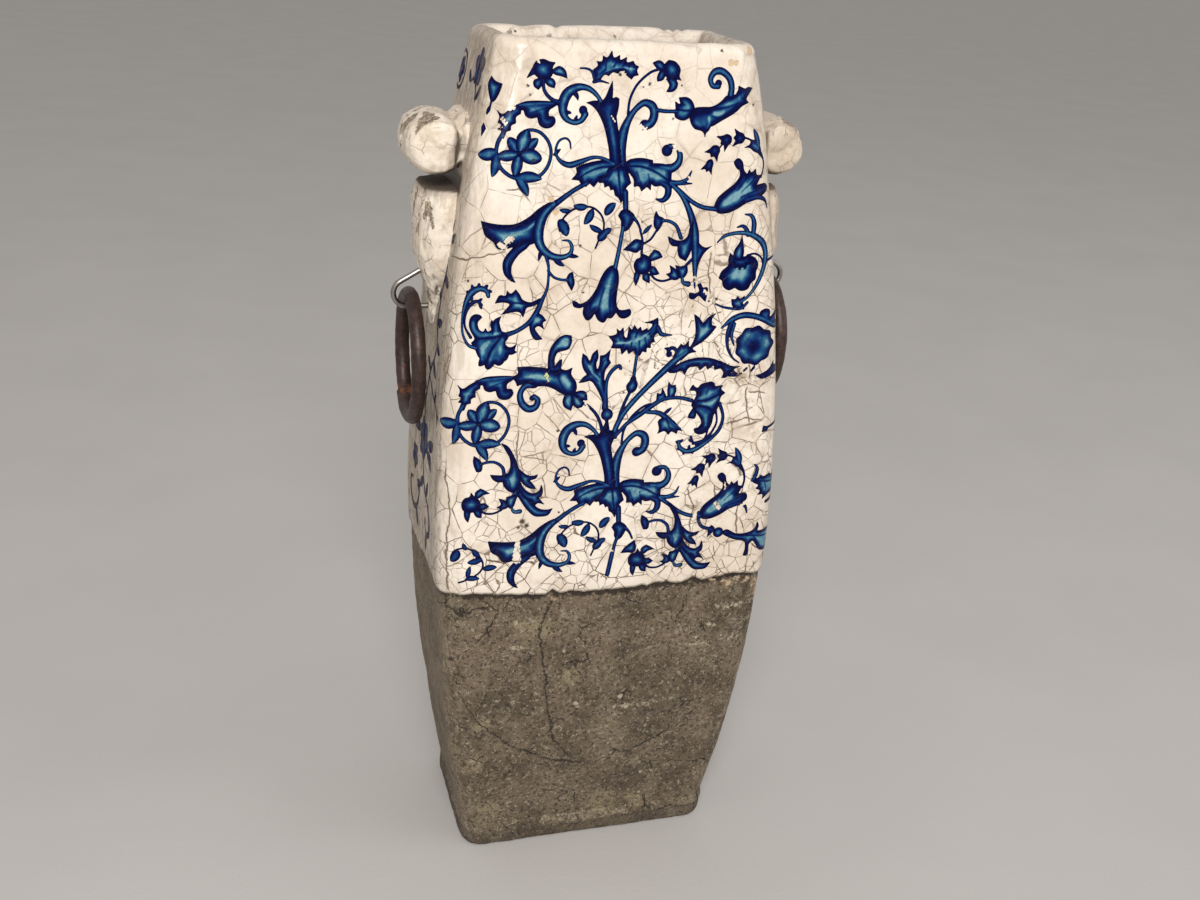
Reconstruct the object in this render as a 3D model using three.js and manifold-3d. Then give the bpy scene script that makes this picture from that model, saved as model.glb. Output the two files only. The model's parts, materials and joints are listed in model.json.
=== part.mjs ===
// Slab-built stoneware vase: a tall rounded-rectangular wall luted to a base slab, a crackled
// glaze coat over its upper part and its lip, and on each narrow side a rolled clay handle above
// a clay tongue, with a steel wire staple set in the tongue and a loose iron ring hung in it.
// Millimetres, +Z up. The origin is at the centre of the underside, -Y is the broad front face
// and the handles stand on the -X and +X sides.

import * as THREE from 'three';
import * as BufferGeometryUtils from 'three/addons/utils/BufferGeometryUtils.js';
import Module from 'manifold-3d';

const wasm = await Module();
wasm.setup();

// Gap that pieces in contact keep to each other
const seam = 0.3;

// Base slab
const slabThickness = 15;
const slabWidth = 150;
const slabDepth = 92;
const slabCorner = 14;
const slabTopRounding = 1.6;
const slabFootRounding = 4;

// Outside of the clay wall at six heights
const footWidth = 148.4;
const footDepth = 89;
const lowerHeight = 95;
const lowerWidth = 172;
const lowerDepth = 107.2;
const bellyHeight = 205;
const bellyWidth = 182.6;
const bellyDepth = 113.6;
const upperHeight = 320;
const upperWidth = 169;
const upperDepth = 97.6;
const shoulderHeight = 410;
const shoulderWidth = 143.6;
const shoulderDepth = 81.2;
const vaseHeight = 450;
const rimWidth = 130;
const rimDepth = 72.6;
const cornerAtFoot = 12;
const cornerAtRim = 19;
const leastCorner = 4;
const wallThickness = 9;

// Glaze coat
const coatThickness = 1.2;
const glazeLineHeight = 170;
const glazeLineWave = 2.4;
const broadWaves = { count: 3, start: 0.8, share: 1 };
const fineWaves = { count: 7, start: 2.1, share: 0.7 };
const neckGlazeDepth = 48;

// Handle roll and the web that joins it to the wall
const rollRadius = 15.2;
const rollLength = 45;
const webLength = 38;
const webThickness = 23;
const webFlare = 5;
const webSquareness = 2.8;

// Tongue below the roll
const undercut = 5.4;
const tongueWidth = 48;
const tongueSquareness = 3.4;
const tailBelowRingAxis = 15;

// Iron ring, hung from the rod's centre at its top
const ringHeight = 72;
const ringWidth = 64;
const rodDiameter = 7.8;

// Steel wire staple
const wireDiameter = 2.8;
const eyeSlack = 1.7;
const upperLegLength = 17;
const upperLegRise = Math.PI / 6;
const lowerLegSetIn = 5;
const drillClearance = 0.3;

// The two handles are hand-made, so a few of their sizes differ
const leftSizes = {
  label: 'left',
  side: -1,
  rollBelowLip: 53.5,
  rollStandOff: 13.8,
  tongueReach: 17,
  ringAxisBelowRoll: 78.5,
  ringWallClearance: 3.4,
};
const rightSizes = {
  label: 'right',
  side: 1,
  rollBelowLip: 53,
  rollStandOff: 12.2,
  tongueReach: 14,
  ringAxisBelowRoll: 73,
  ringWallClearance: 1.4,
};

// Facets
const cornerSteps = 4;
const flatFaces = [1, 1];
const wavedFaces = [6, 3];
const bareSteps = 6;
const glazedSteps = 13;
const neckSteps = 4;
const lipSteps = 5;
const rodSteps = 10;
const ringSteps = 36;
const stapleSteps = 22;
const clayRound = 20;
const footRoundSteps = 2;
const wallCurvePoints = 600;
const mergeDistance = 1e-4;

const wireRadius = wireDiameter / 2;
const rodRadius = rodDiameter / 2;
const coatReach = seam + coatThickness;
const lipRadius = wallThickness / 2;
const lipCentreHeight = vaseHeight - lipRadius - coatReach;
const neckEnd = vaseHeight - neckGlazeDepth;
const wallBottom = slabThickness + seam;

// The handles hang from the lip, and the rings from their rolls
const handles = [leftSizes, rightSizes].map((sizes) => {
  const rollHeight = vaseHeight - sizes.rollBelowLip;
  return { ...sizes, rollHeight, ringAxisHeight: rollHeight - sizes.ringAxisBelowRoll };
});

// Helpers for meshes

function signedVolume(geometry) {
  const position = geometry.attributes.position;
  const index = geometry.index;
  const corners = [new THREE.Vector3(), new THREE.Vector3(), new THREE.Vector3()];
  let volume = 0;
  for (let i = 0; i < index.count; i += 3) {
    corners.forEach((corner, k) => corner.fromBufferAttribute(position, index.getX(i + k)));
    volume += corners[0].dot(corners[1].cross(corners[2])) / 6;
  }
  return volume;
}

function facingOut(geometry) {
  if (signedVolume(geometry) < 0) {
    const turned = Array.from(geometry.index.array);
    for (let i = 0; i < turned.length; i += 3) {
      [turned[i + 1], turned[i + 2]] = [turned[i + 2], turned[i + 1]];
    }
    geometry.setIndex(turned);
  }
  geometry.computeVertexNormals();
  return geometry;
}

// Skin over a row of sections with equal point counts: capped at both ends, or joined in a ring
function loft(sections, joined = false) {
  const count = sections[0].length;
  const points = sections.flat();
  const triangles = [];
  const spans = joined ? sections.length : sections.length - 1;
  for (let s = 0; s < spans; s += 1) {
    const here = s * count;
    const next = ((s + 1) % sections.length) * count;
    for (let i = 0; i < count; i += 1) {
      const j = (i + 1) % count;
      triangles.push(here + i, here + j, next + j);
      triangles.push(here + i, next + j, next + i);
    }
  }
  if (!joined) {
    for (const [section, turn] of [[0, true], [sections.length - 1, false]]) {
      const centre = new THREE.Vector3();
      sections[section].forEach((point) => centre.addScaledVector(point, 1 / count));
      points.push(centre);
      for (let i = 0; i < count; i += 1) {
        const a = section * count + i;
        const b = section * count + (i + 1) % count;
        triangles.push(points.length - 1, turn ? b : a, turn ? a : b);
      }
    }
  }
  const geometry = new THREE.BufferGeometry().setFromPoints(points);
  geometry.setIndex(triangles);
  return facingOut(geometry);
}

function toSolid(geometry) {
  const bare = geometry.clone();
  bare.deleteAttribute('normal');
  bare.deleteAttribute('uv');
  const merged = BufferGeometryUtils.mergeVertices(bare, mergeDistance);
  return new wasm.Manifold(new wasm.Mesh({
    numProp: 3,
    vertProperties: Float32Array.from(merged.attributes.position.array),
    triVerts: Uint32Array.from(merged.index.array),
  }));
}

function toGeometry(solid) {
  const mesh = solid.getMesh();
  const geometry = new THREE.BufferGeometry();
  geometry.setAttribute('position', new THREE.BufferAttribute(mesh.vertProperties, 3));
  geometry.setIndex(Array.from(mesh.triVerts));
  geometry.computeVertexNormals();
  return geometry;
}

function cut(geometry, ...tools) {
  return toGeometry(tools.reduce((solid, tool) => solid.subtract(toSolid(tool)), toSolid(geometry)));
}

// The same shape on the other narrow side of the vase
function onSide(geometry, side) {
  const placed = geometry.clone().scale(side, 1, 1);
  return facingOut(placed);
}

// Vase wall

const wallCurve = new THREE.CatmullRomCurve3([
  new THREE.Vector3(footWidth / 2, footDepth / 2, wallBottom),
  new THREE.Vector3(lowerWidth / 2, lowerDepth / 2, lowerHeight),
  new THREE.Vector3(bellyWidth / 2, bellyDepth / 2, bellyHeight),
  new THREE.Vector3(upperWidth / 2, upperDepth / 2, upperHeight),
  new THREE.Vector3(shoulderWidth / 2, shoulderDepth / 2, shoulderHeight),
  new THREE.Vector3(rimWidth / 2, rimDepth / 2, lipCentreHeight),
], false, 'catmullrom', 0.5).getPoints(wallCurvePoints);

// Half width, half depth and corner radius of the wall's outside at a height
function wallAt(height) {
  const above = wallCurve.findIndex((point) => point.z >= height);
  const high = wallCurve[above < 1 ? wallCurve.length - 1 : above];
  const low = wallCurve[above < 1 ? wallCurve.length - 2 : above - 1];
  const share = THREE.MathUtils.clamp((height - low.z) / (high.z - low.z), 0, 1);
  const point = height <= wallBottom ? wallCurve[0] : low.clone().lerp(high, share);
  const climb = THREE.MathUtils.inverseLerp(wallBottom, lipCentreHeight, height);
  const corner = THREE.MathUtils.lerp(cornerAtFoot, cornerAtRim, THREE.MathUtils.clamp(climb, 0, 1));
  return { halfWidth: point.x, halfDepth: point.y, corner };
}

function glazedReach(height) {
  return wallAt(height).halfWidth + coatReach;
}

// Rounded rectangle, with its broad and its narrow faces cut into a number of steps each
function roundedRectangle(halfWidth, halfDepth, corner, faceSteps, heightOf) {
  const path = [];
  const inX = halfWidth - corner;
  const inY = halfDepth - corner;
  const quarters = [[1, 1], [-1, 1], [-1, -1], [1, -1]];
  quarters.forEach(([signX, signY], quarter) => {
    for (let k = 0; k <= cornerSteps; k += 1) {
      const angle = (quarter + k / cornerSteps) * Math.PI / 2;
      path.push([signX * inX + corner * Math.cos(angle), signY * inY + corner * Math.sin(angle)]);
    }
    const [fromX, fromY] = path[path.length - 1];
    const broad = quarter % 2 === 0;
    const steps = faceSteps[quarter % 2];
    const toX = broad ? -fromX : fromX;
    const toY = broad ? fromY : -fromY;
    for (let k = 1; k < steps; k += 1) {
      path.push([
        THREE.MathUtils.lerp(fromX, toX, k / steps),
        THREE.MathUtils.lerp(fromY, toY, k / steps),
      ]);
    }
  });
  return path.map(([x, y], i) => new THREE.Vector3(x, y, heightOf(i / path.length)));
}

// Section of the wall at a height, moved outwards by a distance; its edge may run up and down
function wallSection(height, outset, faceSteps, edgeHeight = () => height) {
  const { halfWidth, halfDepth, corner } = wallAt(height);
  const radius = Math.max(corner + outset, leastCorner);
  return roundedRectangle(halfWidth + outset, halfDepth + outset, radius, faceSteps, edgeHeight);
}

function straightRun(fromHeight, toHeight, steps, outset, faceSteps = flatFaces) {
  const run = [];
  for (let k = 0; k <= steps; k += 1) {
    const height = THREE.MathUtils.lerp(fromHeight, toHeight, k / steps);
    run.push(wallSection(height, outset, faceSteps));
  }
  return run;
}

// Half-round lip, from the outside of the wall over to its inside
function lipRun(radius, faceSteps = flatFaces) {
  const run = [];
  for (let k = 1; k < lipSteps; k += 1) {
    const angle = k * Math.PI / lipSteps;
    const height = lipCentreHeight + radius * Math.sin(angle);
    const outset = radius * Math.cos(angle) - lipRadius;
    run.push(wallSection(lipCentreHeight, outset, faceSteps, () => height));
  }
  return run;
}

// The wall changes facets at the heights where the coat does, so that the two stay parallel
function wallShell() {
  return loft([
    ...straightRun(wallBottom, glazeLineHeight, bareSteps, 0),
    ...straightRun(glazeLineHeight, lipCentreHeight, glazedSteps, 0).slice(1),
    ...lipRun(lipRadius),
    ...straightRun(lipCentreHeight, neckEnd, neckSteps, -wallThickness),
    ...straightRun(neckEnd, wallBottom, bareSteps + glazedSteps, -wallThickness).slice(1),
  ], true);
}

// Everything inside the wall's outside surface, grown by a distance
function wallEnvelope(grow) {
  const sections = straightRun(wallBottom, lipCentreHeight, 2 * glazedSteps, grow);
  const top = vaseHeight + wallThickness;
  sections.push(wallSection(lipCentreHeight, grow, flatFaces, () => top));
  return loft(sections);
}

// Slab with a rounded foot, an upright edge and a small chamfer on top: height and inset
function baseSlab() {
  const levels = [];
  for (let k = 0; k <= footRoundSteps; k += 1) {
    const angle = k / footRoundSteps * Math.PI / 2;
    levels.push([slabFootRounding * (1 - Math.cos(angle)), slabFootRounding * (1 - Math.sin(angle))]);
  }
  levels.push([slabThickness - slabTopRounding, 0]);
  levels.push([slabThickness, slabTopRounding]);
  return loft(levels.map(([height, inset]) => roundedRectangle(
    slabWidth / 2 - inset,
    slabDepth / 2 - inset,
    slabCorner - inset,
    flatFaces,
    () => height,
  )));
}

// Glaze coat

// The coat stops in an uneven line; share runs once round the vase
function glazeLine(share) {
  const turn = share * 2 * Math.PI;
  const waves = [broadWaves, fineWaves];
  const rise = waves.reduce((sum, wave) => sum + wave.share * Math.sin(wave.count * turn + wave.start), 0);
  const most = waves.reduce((sum, wave) => sum + wave.share, 0);
  return glazeLineHeight + glazeLineWave * rise / most;
}

function coatFace(outset) {
  const run = [];
  for (let k = 0; k <= glazedSteps; k += 1) {
    const rise = k / glazedSteps;
    const height = THREE.MathUtils.lerp(glazeLineHeight, lipCentreHeight, rise);
    const edgeHeight = (share) => THREE.MathUtils.lerp(glazeLine(share), lipCentreHeight, rise);
    run.push(wallSection(height, outset, wavedFaces, edgeHeight));
  }
  return run;
}

function glazeCoat() {
  return loft([
    ...coatFace(coatReach),
    ...lipRun(lipRadius + coatReach, wavedFaces),
    ...straightRun(lipCentreHeight, neckEnd, neckSteps, -wallThickness - coatReach, wavedFaces),
    ...straightRun(neckEnd, lipCentreHeight, neckSteps, -wallThickness - seam, wavedFaces),
    ...lipRun(lipRadius + seam, wavedFaces).reverse(),
    ...coatFace(seam).reverse(),
  ], true);
}

// Handles, all drawn for the +X side

// Closed oval between a circle and a rectangle; power 2 is an ellipse
function softOval(halfA, halfB, power, place) {
  const points = [];
  for (let k = 0; k < clayRound; k += 1) {
    const angle = k / clayRound * 2 * Math.PI;
    const a = Math.sign(Math.cos(angle)) * Math.abs(Math.cos(angle)) ** (2 / power);
    const b = Math.sign(Math.sin(angle)) * Math.abs(Math.sin(angle)) ** (2 / power);
    points.push(place(halfA * a, halfB * b));
  }
  return points;
}

function rollX({ rollHeight, rollStandOff }) {
  return glazedReach(rollHeight) + rollStandOff;
}

// Clay roll along Y with soft ends: share of the half length, share of the radius
function roll(handle, grow) {
  const rounding = [[-1, 0.55], [-0.93, 0.82], [-0.68, 0.95], [0, 1], [0.68, 0.95], [0.93, 0.82], [1, 0.55]];
  return loft(rounding.map(([along, share]) => {
    const y = along * (rollLength / 2 + grow);
    const radius = rollRadius * share + grow;
    const place = (a, b) => new THREE.Vector3(rollX(handle) + a, y, handle.rollHeight + b);
    return softOval(radius, radius, 2, place);
  }));
}

// Web from the wall to the roll, flaring where it meets the wall
function web(handle, grow) {
  const wallX = wallAt(handle.rollHeight).halfWidth;
  const stations = [
    [wallX - wallThickness / 2, webFlare],
    [wallX + coatReach, webFlare],
    [THREE.MathUtils.lerp(wallX, rollX(handle), 0.5), 0],
    [rollX(handle), 0],
  ];
  return loft(stations.map(([x, flare]) => softOval(
    webLength / 2 + flare + grow,
    webThickness / 2 + flare / 2 + grow,
    webSquareness,
    (a, b) => new THREE.Vector3(x, a, handle.rollHeight + flare / 3 + b),
  )));
}

function handleRoll(handle) {
  const joined = toSolid(roll(handle, 0)).add(toSolid(web(handle, 0)));
  return toGeometry(joined.subtract(toSolid(wallEnvelope(seam))));
}

// Flat-sided section with a crowned outside, closed by a straight line within the wall
function tongueSection(inner, outer, halfWidth, height) {
  const power = 2 / tongueSquareness;
  const points = [];
  for (let k = 0; k <= clayRound; k += 1) {
    const angle = (k / clayRound - 0.5) * Math.PI;
    const out = Math.max(Math.cos(angle), 0) ** power;
    const side = Math.sign(Math.sin(angle)) * Math.abs(Math.sin(angle)) ** power;
    points.push(new THREE.Vector3(inner + (outer - inner) * out, halfWidth * side, height));
  }
  return points;
}

// Tongue, from its tail up: share of its height, of its reach from the glaze and of its width
function tongueBlock(handle, grow) {
  const tail = handle.ringAxisHeight - tailBelowRingAxis;
  const top = handle.rollHeight - rollRadius - undercut;
  const stations = [
    [0, 0.02, 0.2],
    [0.17, 0.22, 0.38],
    [0.32, 0.38, 0.64],
    [0.43, 0.64, 0.86],
    [0.54, 0.8, 0.98],
    [0.68, 0.89, 1],
    [0.88, 1, 0.95],
    [1, 0.93, 0.86],
  ];
  return loft(stations.map(([rise, reach, width], k) => {
    const height = THREE.MathUtils.lerp(tail, top, rise);
    const first = k === 0 ? -grow : 0;
    const last = k === stations.length - 1 ? grow : 0;
    const inner = wallAt(height).halfWidth - wallThickness / 2;
    const outer = glazedReach(height) + handle.tongueReach * reach + grow;
    return tongueSection(inner, outer, tongueWidth * width / 2 + grow, height + first + last);
  }));
}

// Staple and ring

function ringAxisX({ ringAxisHeight, ringWallClearance }) {
  const lowPoint = ringAxisHeight + rodRadius - ringHeight;
  return glazedReach(lowPoint) + ringWallClearance + rodRadius;
}

// Centre line of the staple: lower leg out, bend round the ring's rod, upper leg up and in
class StapleLine extends THREE.Curve {
  constructor(handle, longer) {
    super();
    this.bendRadius = rodRadius + wireRadius + eyeSlack;
    this.lowerLegHeight = handle.ringAxisHeight - rodRadius - seam - wireRadius;
    this.bendX = ringAxisX(handle) + eyeSlack;
    this.bendHeight = this.lowerLegHeight + this.bendRadius;
    const depth = lowerLegSetIn + longer;
    this.lowerLeg = this.bendX - wallAt(this.lowerLegHeight).halfWidth + depth;
    this.sweep = Math.PI - upperLegRise;
    this.bend = this.bendRadius * this.sweep;
    this.whole = this.lowerLeg + this.bend + upperLegLength + longer;
  }

  getPoint(t, target = new THREE.Vector3()) {
    const run = t * this.whole;
    if (run <= this.lowerLeg) {
      return target.set(this.bendX - this.lowerLeg + run, 0, this.lowerLegHeight);
    }
    const turned = Math.min((run - this.lowerLeg) / this.bendRadius, this.sweep) - Math.PI / 2;
    const beyond = Math.max(run - this.lowerLeg - this.bend, 0);
    return target.set(
      this.bendX + this.bendRadius * Math.cos(turned) - beyond * Math.cos(upperLegRise),
      0,
      this.bendHeight + this.bendRadius * Math.sin(turned) + beyond * Math.sin(upperLegRise),
    );
  }
}

function staple(handle, grow) {
  const round = new THREE.Shape();
  round.absarc(0, 0, wireRadius + grow, 0, 2 * Math.PI);
  const wire = new THREE.ExtrudeGeometry(round, {
    steps: stapleSteps,
    curveSegments: rodSteps / 2,
    extrudePath: new StapleLine(handle, grow),
  });
  wire.deleteAttribute('normal');
  wire.deleteAttribute('uv');
  return facingOut(BufferGeometryUtils.mergeVertices(wire, mergeDistance));
}

// Oval ring, drawn with the rod's centre at its top on the origin and its plane across X
function ring() {
  const tall = ringHeight / 2 - rodRadius;
  const wide = ringWidth / 2 - rodRadius;
  const sections = [];
  for (let k = 0; k < ringSteps; k += 1) {
    const turn = k / ringSteps * 2 * Math.PI;
    const middle = new THREE.Vector3(0, wide * Math.sin(turn), tall * (Math.cos(turn) - 1));
    const outward = new THREE.Vector3(0, Math.sin(turn) / wide, Math.cos(turn) / tall).normalize();
    const section = [];
    for (let i = 0; i < rodSteps; i += 1) {
      const angle = i / rodSteps * 2 * Math.PI;
      const point = middle.clone().addScaledVector(outward, rodRadius * Math.cos(angle));
      point.x += rodRadius * Math.sin(angle);
      section.push(point);
    }
    sections.push(section);
  }
  return loft(sections, true);
}

// Materials

const bareClay = new THREE.MeshStandardMaterial({ color: 0x6e645a, roughness: 0.92, metalness: 0 });
const slabClay = new THREE.MeshStandardMaterial({ color: 0x665d54, roughness: 0.94, metalness: 0 });
const crackledGlaze = new THREE.MeshStandardMaterial({ color: 0xe7dccb, roughness: 0.32, metalness: 0 });
const handleGlaze = new THREE.MeshStandardMaterial({ color: 0xd8ccb9, roughness: 0.45, metalness: 0 });
const steelWire = new THREE.MeshStandardMaterial({ color: 0xb9b7b2, roughness: 0.25, metalness: 1 });
const forgedIron = new THREE.MeshStandardMaterial({ color: 0x3e2d2a, roughness: 0.6, metalness: 0.6 });

function piece(name, geometry, material) {
  const mesh = new THREE.Mesh(geometry, material);
  mesh.name = name;
  return mesh;
}

// Assembly

const vase = new THREE.Group();
const onBothSides = (shape, grow) => handles.map((handle) => onSide(shape(handle, grow), handle.side));

vase.add(piece('base_slab', baseSlab(), slabClay));
vase.add(piece('wall', cut(wallShell(), ...onBothSides(staple, drillClearance)), bareClay));
vase.add(piece('glaze_coat', cut(
  glazeCoat(),
  ...onBothSides(roll, seam),
  ...onBothSides(web, seam),
  ...onBothSides(tongueBlock, seam),
  ...onBothSides(staple, drillClearance),
), crackledGlaze));

for (const handle of handles) {
  const { label, side } = handle;
  const group = new THREE.Group();
  const tongue = cut(tongueBlock(handle, 0), wallEnvelope(seam), staple(handle, drillClearance));
  group.add(piece(`${label}_handle_roll`, onSide(handleRoll(handle), side), handleGlaze));
  group.add(piece(`${label}_handle_tongue`, onSide(tongue, side), handleGlaze));
  group.add(piece(`${label}_staple`, onSide(staple(handle, 0), side), steelWire));
  const hung = piece(`${label}_ring`, ring(), forgedIron);
  hung.position.set(side * ringAxisX(handle), 0, handle.ringAxisHeight);
  group.add(hung);
  vase.add(group);
}

export default vase;
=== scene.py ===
"""Finish of a slab-built stoneware vase: lumpy clay, a crackled glaze coat with a blue scroll
pattern, rolled handles, wire staples and forged iron rings. Places and lengths are in metres
unless a name or a comment says millimetres. X runs to the right, -Y to the front and Z up."""

import json
import math

import bpy
import bmesh
import numpy as np
from bpy.props import FloatProperty, FloatVectorProperty, IntProperty, PointerProperty
from mathutils import Matrix, Vector, noise
from mathutils.bvhtree import BVHTree


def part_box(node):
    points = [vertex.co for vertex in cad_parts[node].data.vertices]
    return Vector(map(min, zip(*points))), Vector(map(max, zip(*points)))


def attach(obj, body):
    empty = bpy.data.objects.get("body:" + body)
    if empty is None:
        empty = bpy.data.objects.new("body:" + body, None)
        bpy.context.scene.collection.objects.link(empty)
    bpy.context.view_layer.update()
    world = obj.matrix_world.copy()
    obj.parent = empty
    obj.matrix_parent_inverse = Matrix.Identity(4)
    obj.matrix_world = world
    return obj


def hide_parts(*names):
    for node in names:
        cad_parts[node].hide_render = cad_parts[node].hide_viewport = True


bl_info = {
    "name": "Stoneware Vase",
    "version": (1, 0, 0),
    "blender": (4, 5, 0),
    "location": "3D View > Sidebar > Vase",
    "description": "Builds the clay, glaze, pattern, handles and rings of a slab-built vase",
    "category": "Add Mesh",
}

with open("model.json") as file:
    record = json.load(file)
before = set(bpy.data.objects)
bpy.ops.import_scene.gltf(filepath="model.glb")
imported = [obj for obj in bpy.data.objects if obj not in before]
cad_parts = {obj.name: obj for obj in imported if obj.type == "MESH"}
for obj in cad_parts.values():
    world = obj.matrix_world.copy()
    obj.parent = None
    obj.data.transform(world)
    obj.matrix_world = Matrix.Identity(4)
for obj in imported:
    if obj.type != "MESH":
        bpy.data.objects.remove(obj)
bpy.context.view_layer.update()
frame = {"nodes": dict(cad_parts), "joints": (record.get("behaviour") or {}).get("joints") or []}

MM = 0.001
SIDES = {"left": -1, "right": 1}


class ClaySizes(bpy.types.PropertyGroup):
    """Sizes of the clay body and its glaze coat."""

    foot_corner: FloatProperty(
        name="Foot corner", description="Corner radius at the foot", default=0.012, unit="LENGTH")
    rim_corner: FloatProperty(
        name="Rim corner", description="Corner radius at the rim", default=0.015, unit="LENGTH")
    wall_thickness: FloatProperty(
        name="Wall", description="Thickness of the clay wall", default=0.009, unit="LENGTH")
    coat_reach: FloatProperty(
        name="Coat", description="How far the glaze stands out from the clay", default=0.0015,
        unit="LENGTH")
    neck_glaze: FloatProperty(
        name="Neck glaze", description="How deep the glaze runs inside the neck", default=0.048,
        unit="LENGTH")
    glaze_edge: FloatProperty(
        name="Glaze edge", description="Mean height of the broken edge of the glaze", default=0.171,
        unit="LENGTH")
    row_step: FloatProperty(
        name="Row step", description="Height of one row of faces on the outside", default=0.0016,
        unit="LENGTH")
    lump_height: FloatProperty(
        name="Lumps", description="Height of the hand-made unevenness", default=0.0007,
        unit="LENGTH")
    seed: IntProperty(name="Seed", description="Changes the random lumps", default=4)


class GlazeColours(bpy.types.PropertyGroup):
    """Colours of the glaze, the ink and the clay."""

    cream: FloatVectorProperty(
        name="Cream", description="Glaze", subtype="COLOR", default=(0.89, 0.80, 0.69))
    crack: FloatVectorProperty(
        name="Crackle", description="Stain in the crackle", subtype="COLOR",
        default=(0.135, 0.078, 0.045))
    clay: FloatVectorProperty(
        name="Clay", description="Bare clay", subtype="COLOR", default=(0.225, 0.165, 0.108))
    iron: FloatVectorProperty(
        name="Iron", description="Rings", subtype="COLOR", default=(0.062, 0.032, 0.025))
    steel: FloatVectorProperty(
        name="Steel", description="Staples", subtype="COLOR", default=(0.34, 0.32, 0.29))


class PatternSizes(bpy.types.PropertyGroup):
    """Fineness and reach of the blue pattern."""

    square: FloatProperty(
        name="Square", description="Size of the squares that the front is drawn in",
        default=0.0004, unit="LENGTH")
    hidden_square: FloatProperty(
        name="Hidden square", description="Size of the squares on the other faces",
        default=0.0005, unit="LENGTH")
    lift: FloatProperty(
        name="Lift", description="How far the ink stands on the glaze", default=0.00009,
        unit="LENGTH")
    lower_edge: FloatProperty(
        name="Lower edge", description="Height below which nothing is drawn", default=0.176,
        unit="LENGTH")
    upper_edge: FloatProperty(
        name="Upper edge", description="Height above which nothing is drawn", default=0.4465,
        unit="LENGTH")


class HandleSizes(bpy.types.PropertyGroup):
    """Sizes of the handles, staples and rings."""

    voxel: FloatProperty(
        name="Clay grain", description="Size of the faces on the handles", default=0.0009,
        unit="LENGTH")
    wire: FloatProperty(
        name="Wire", description="Diameter of the staple wire", default=0.0028, unit="LENGTH")
    rod: FloatProperty(
        name="Rod", description="Diameter of the ring's rod", default=0.0078, unit="LENGTH")
    eye_slack: FloatProperty(
        name="Eye slack", description="Room for the ring in the staple", default=0.0017,
        unit="LENGTH")
    upper_leg: FloatProperty(
        name="Upper leg", description="Length of the staple's upper leg", default=0.017,
        unit="LENGTH")
    upper_leg_rise: FloatProperty(
        name="Upper leg rise", description="Slope of the upper leg", default=math.pi / 6,
        subtype="ANGLE")
    lower_leg_seat: FloatProperty(
        name="Lower leg seat", description="How deep the lower leg sits in the wall",
        default=0.005, unit="LENGTH")


class StudioSettings(bpy.types.PropertyGroup):
    """The camera and the lights."""

    camera_place: FloatVectorProperty(
        name="Camera", description="Place of the camera", subtype="TRANSLATION", unit="LENGTH",
        default=(-0.19759, -0.63948, 0.50617))
    camera_yaw: FloatProperty(
        name="Yaw", description="Turn to the right", subtype="ANGLE", default=0.31067)
    camera_pitch: FloatProperty(
        name="Pitch", description="Tilt down", subtype="ANGLE", default=0.39509)
    camera_roll: FloatProperty(
        name="Roll", description="Lean of the camera", subtype="ANGLE", default=0.06437)
    camera_lens: FloatProperty(
        name="Lens", description="Focal length on a 36 mm wide sensor", default=39.07)
    key_power: FloatProperty(
        name="Key light", description="Strength of the main light", default=46.0, unit="POWER")
    fill_power: FloatProperty(
        name="Fill light", description="Strength of the filling light", default=12.0, unit="POWER")
    spark_power: FloatProperty(
        name="Small light", description="Strength of the small light beside the camera", default=0.8,
        unit="POWER")
    sky_strength: FloatProperty(
        name="Sky", description="Strength of the even light from all round", default=0.46)
    floor_colour: FloatVectorProperty(
        name="Floor", description="Colour of the floor", subtype="COLOR",
        default=(0.55, 0.525, 0.50))


# Mesh helpers

def new_object(name, mesh):
    found = bpy.data.objects.new(name, mesh)
    bpy.context.scene.collection.objects.link(found)
    return found


def mesh_from(name, points, faces):
    mesh = bpy.data.meshes.new(name)
    mesh.from_pydata(np.asarray(points).tolist(), [], np.asarray(faces).tolist())
    mesh.validate()
    mesh.shade_smooth()
    return mesh


def face_outwards(mesh):
    """Turns a closed mesh with even faces right side out."""
    shape = bmesh.new()
    shape.from_mesh(mesh)
    if shape.calc_volume(signed=True) < 0:
        bmesh.ops.reverse_faces(shape, faces=shape.faces)
    shape.to_mesh(mesh)
    shape.free()


def add_attribute(mesh, name, values):
    attribute = mesh.attributes.new(name, "FLOAT", "POINT")
    attribute.data.foreach_set("value", np.asarray(values, np.float32).ravel())


def mesh_points(mesh):
    flat = np.zeros(len(mesh.vertices) * 3, np.float32)
    mesh.vertices.foreach_get("co", flat)
    return flat.reshape(-1, 3).astype(float)


def mesh_normals(mesh):
    flat = np.zeros(len(mesh.vertices) * 3, np.float32)
    mesh.vertex_normals.foreach_get("vector", flat)
    return flat.reshape(-1, 3).astype(float)


def set_points(mesh, points):
    mesh.vertices.foreach_set("co", np.asarray(points, np.float32).ravel())
    mesh.update()


def lumps(points, size, seed, octaves=1):
    """Smooth noise between about -1 and 1 at each point, with features of a given size."""
    shift = Vector((7.3 * seed, 3.1 * seed, 5.7 * seed))
    return np.array([
        noise.fractal(Vector(point) / size + shift, 1.0, 2.0, octaves) for point in points])


def smooth_step(low, high, values):
    share = np.clip((np.asarray(values, float) - low) / (high - low), 0, 1)
    return share * share * (3 - 2 * share)


def closed_grid(name, rows):
    """Closed skin over rows of points that follow each other in a ring, each row closed too."""
    rows = np.asarray(rows)
    count, width = rows.shape[:2]
    row = np.arange(count)[:, None] * width
    after = (np.arange(count)[:, None] + 1) % count * width
    column = np.arange(width)[None, :]
    following = (column + 1) % width
    faces = np.stack([row + column, row + following, after + following, after + column], axis=-1)
    mesh = mesh_from(name, rows.reshape(-1, 3), faces.reshape(-1, 4))
    face_outwards(mesh)
    return mesh


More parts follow.
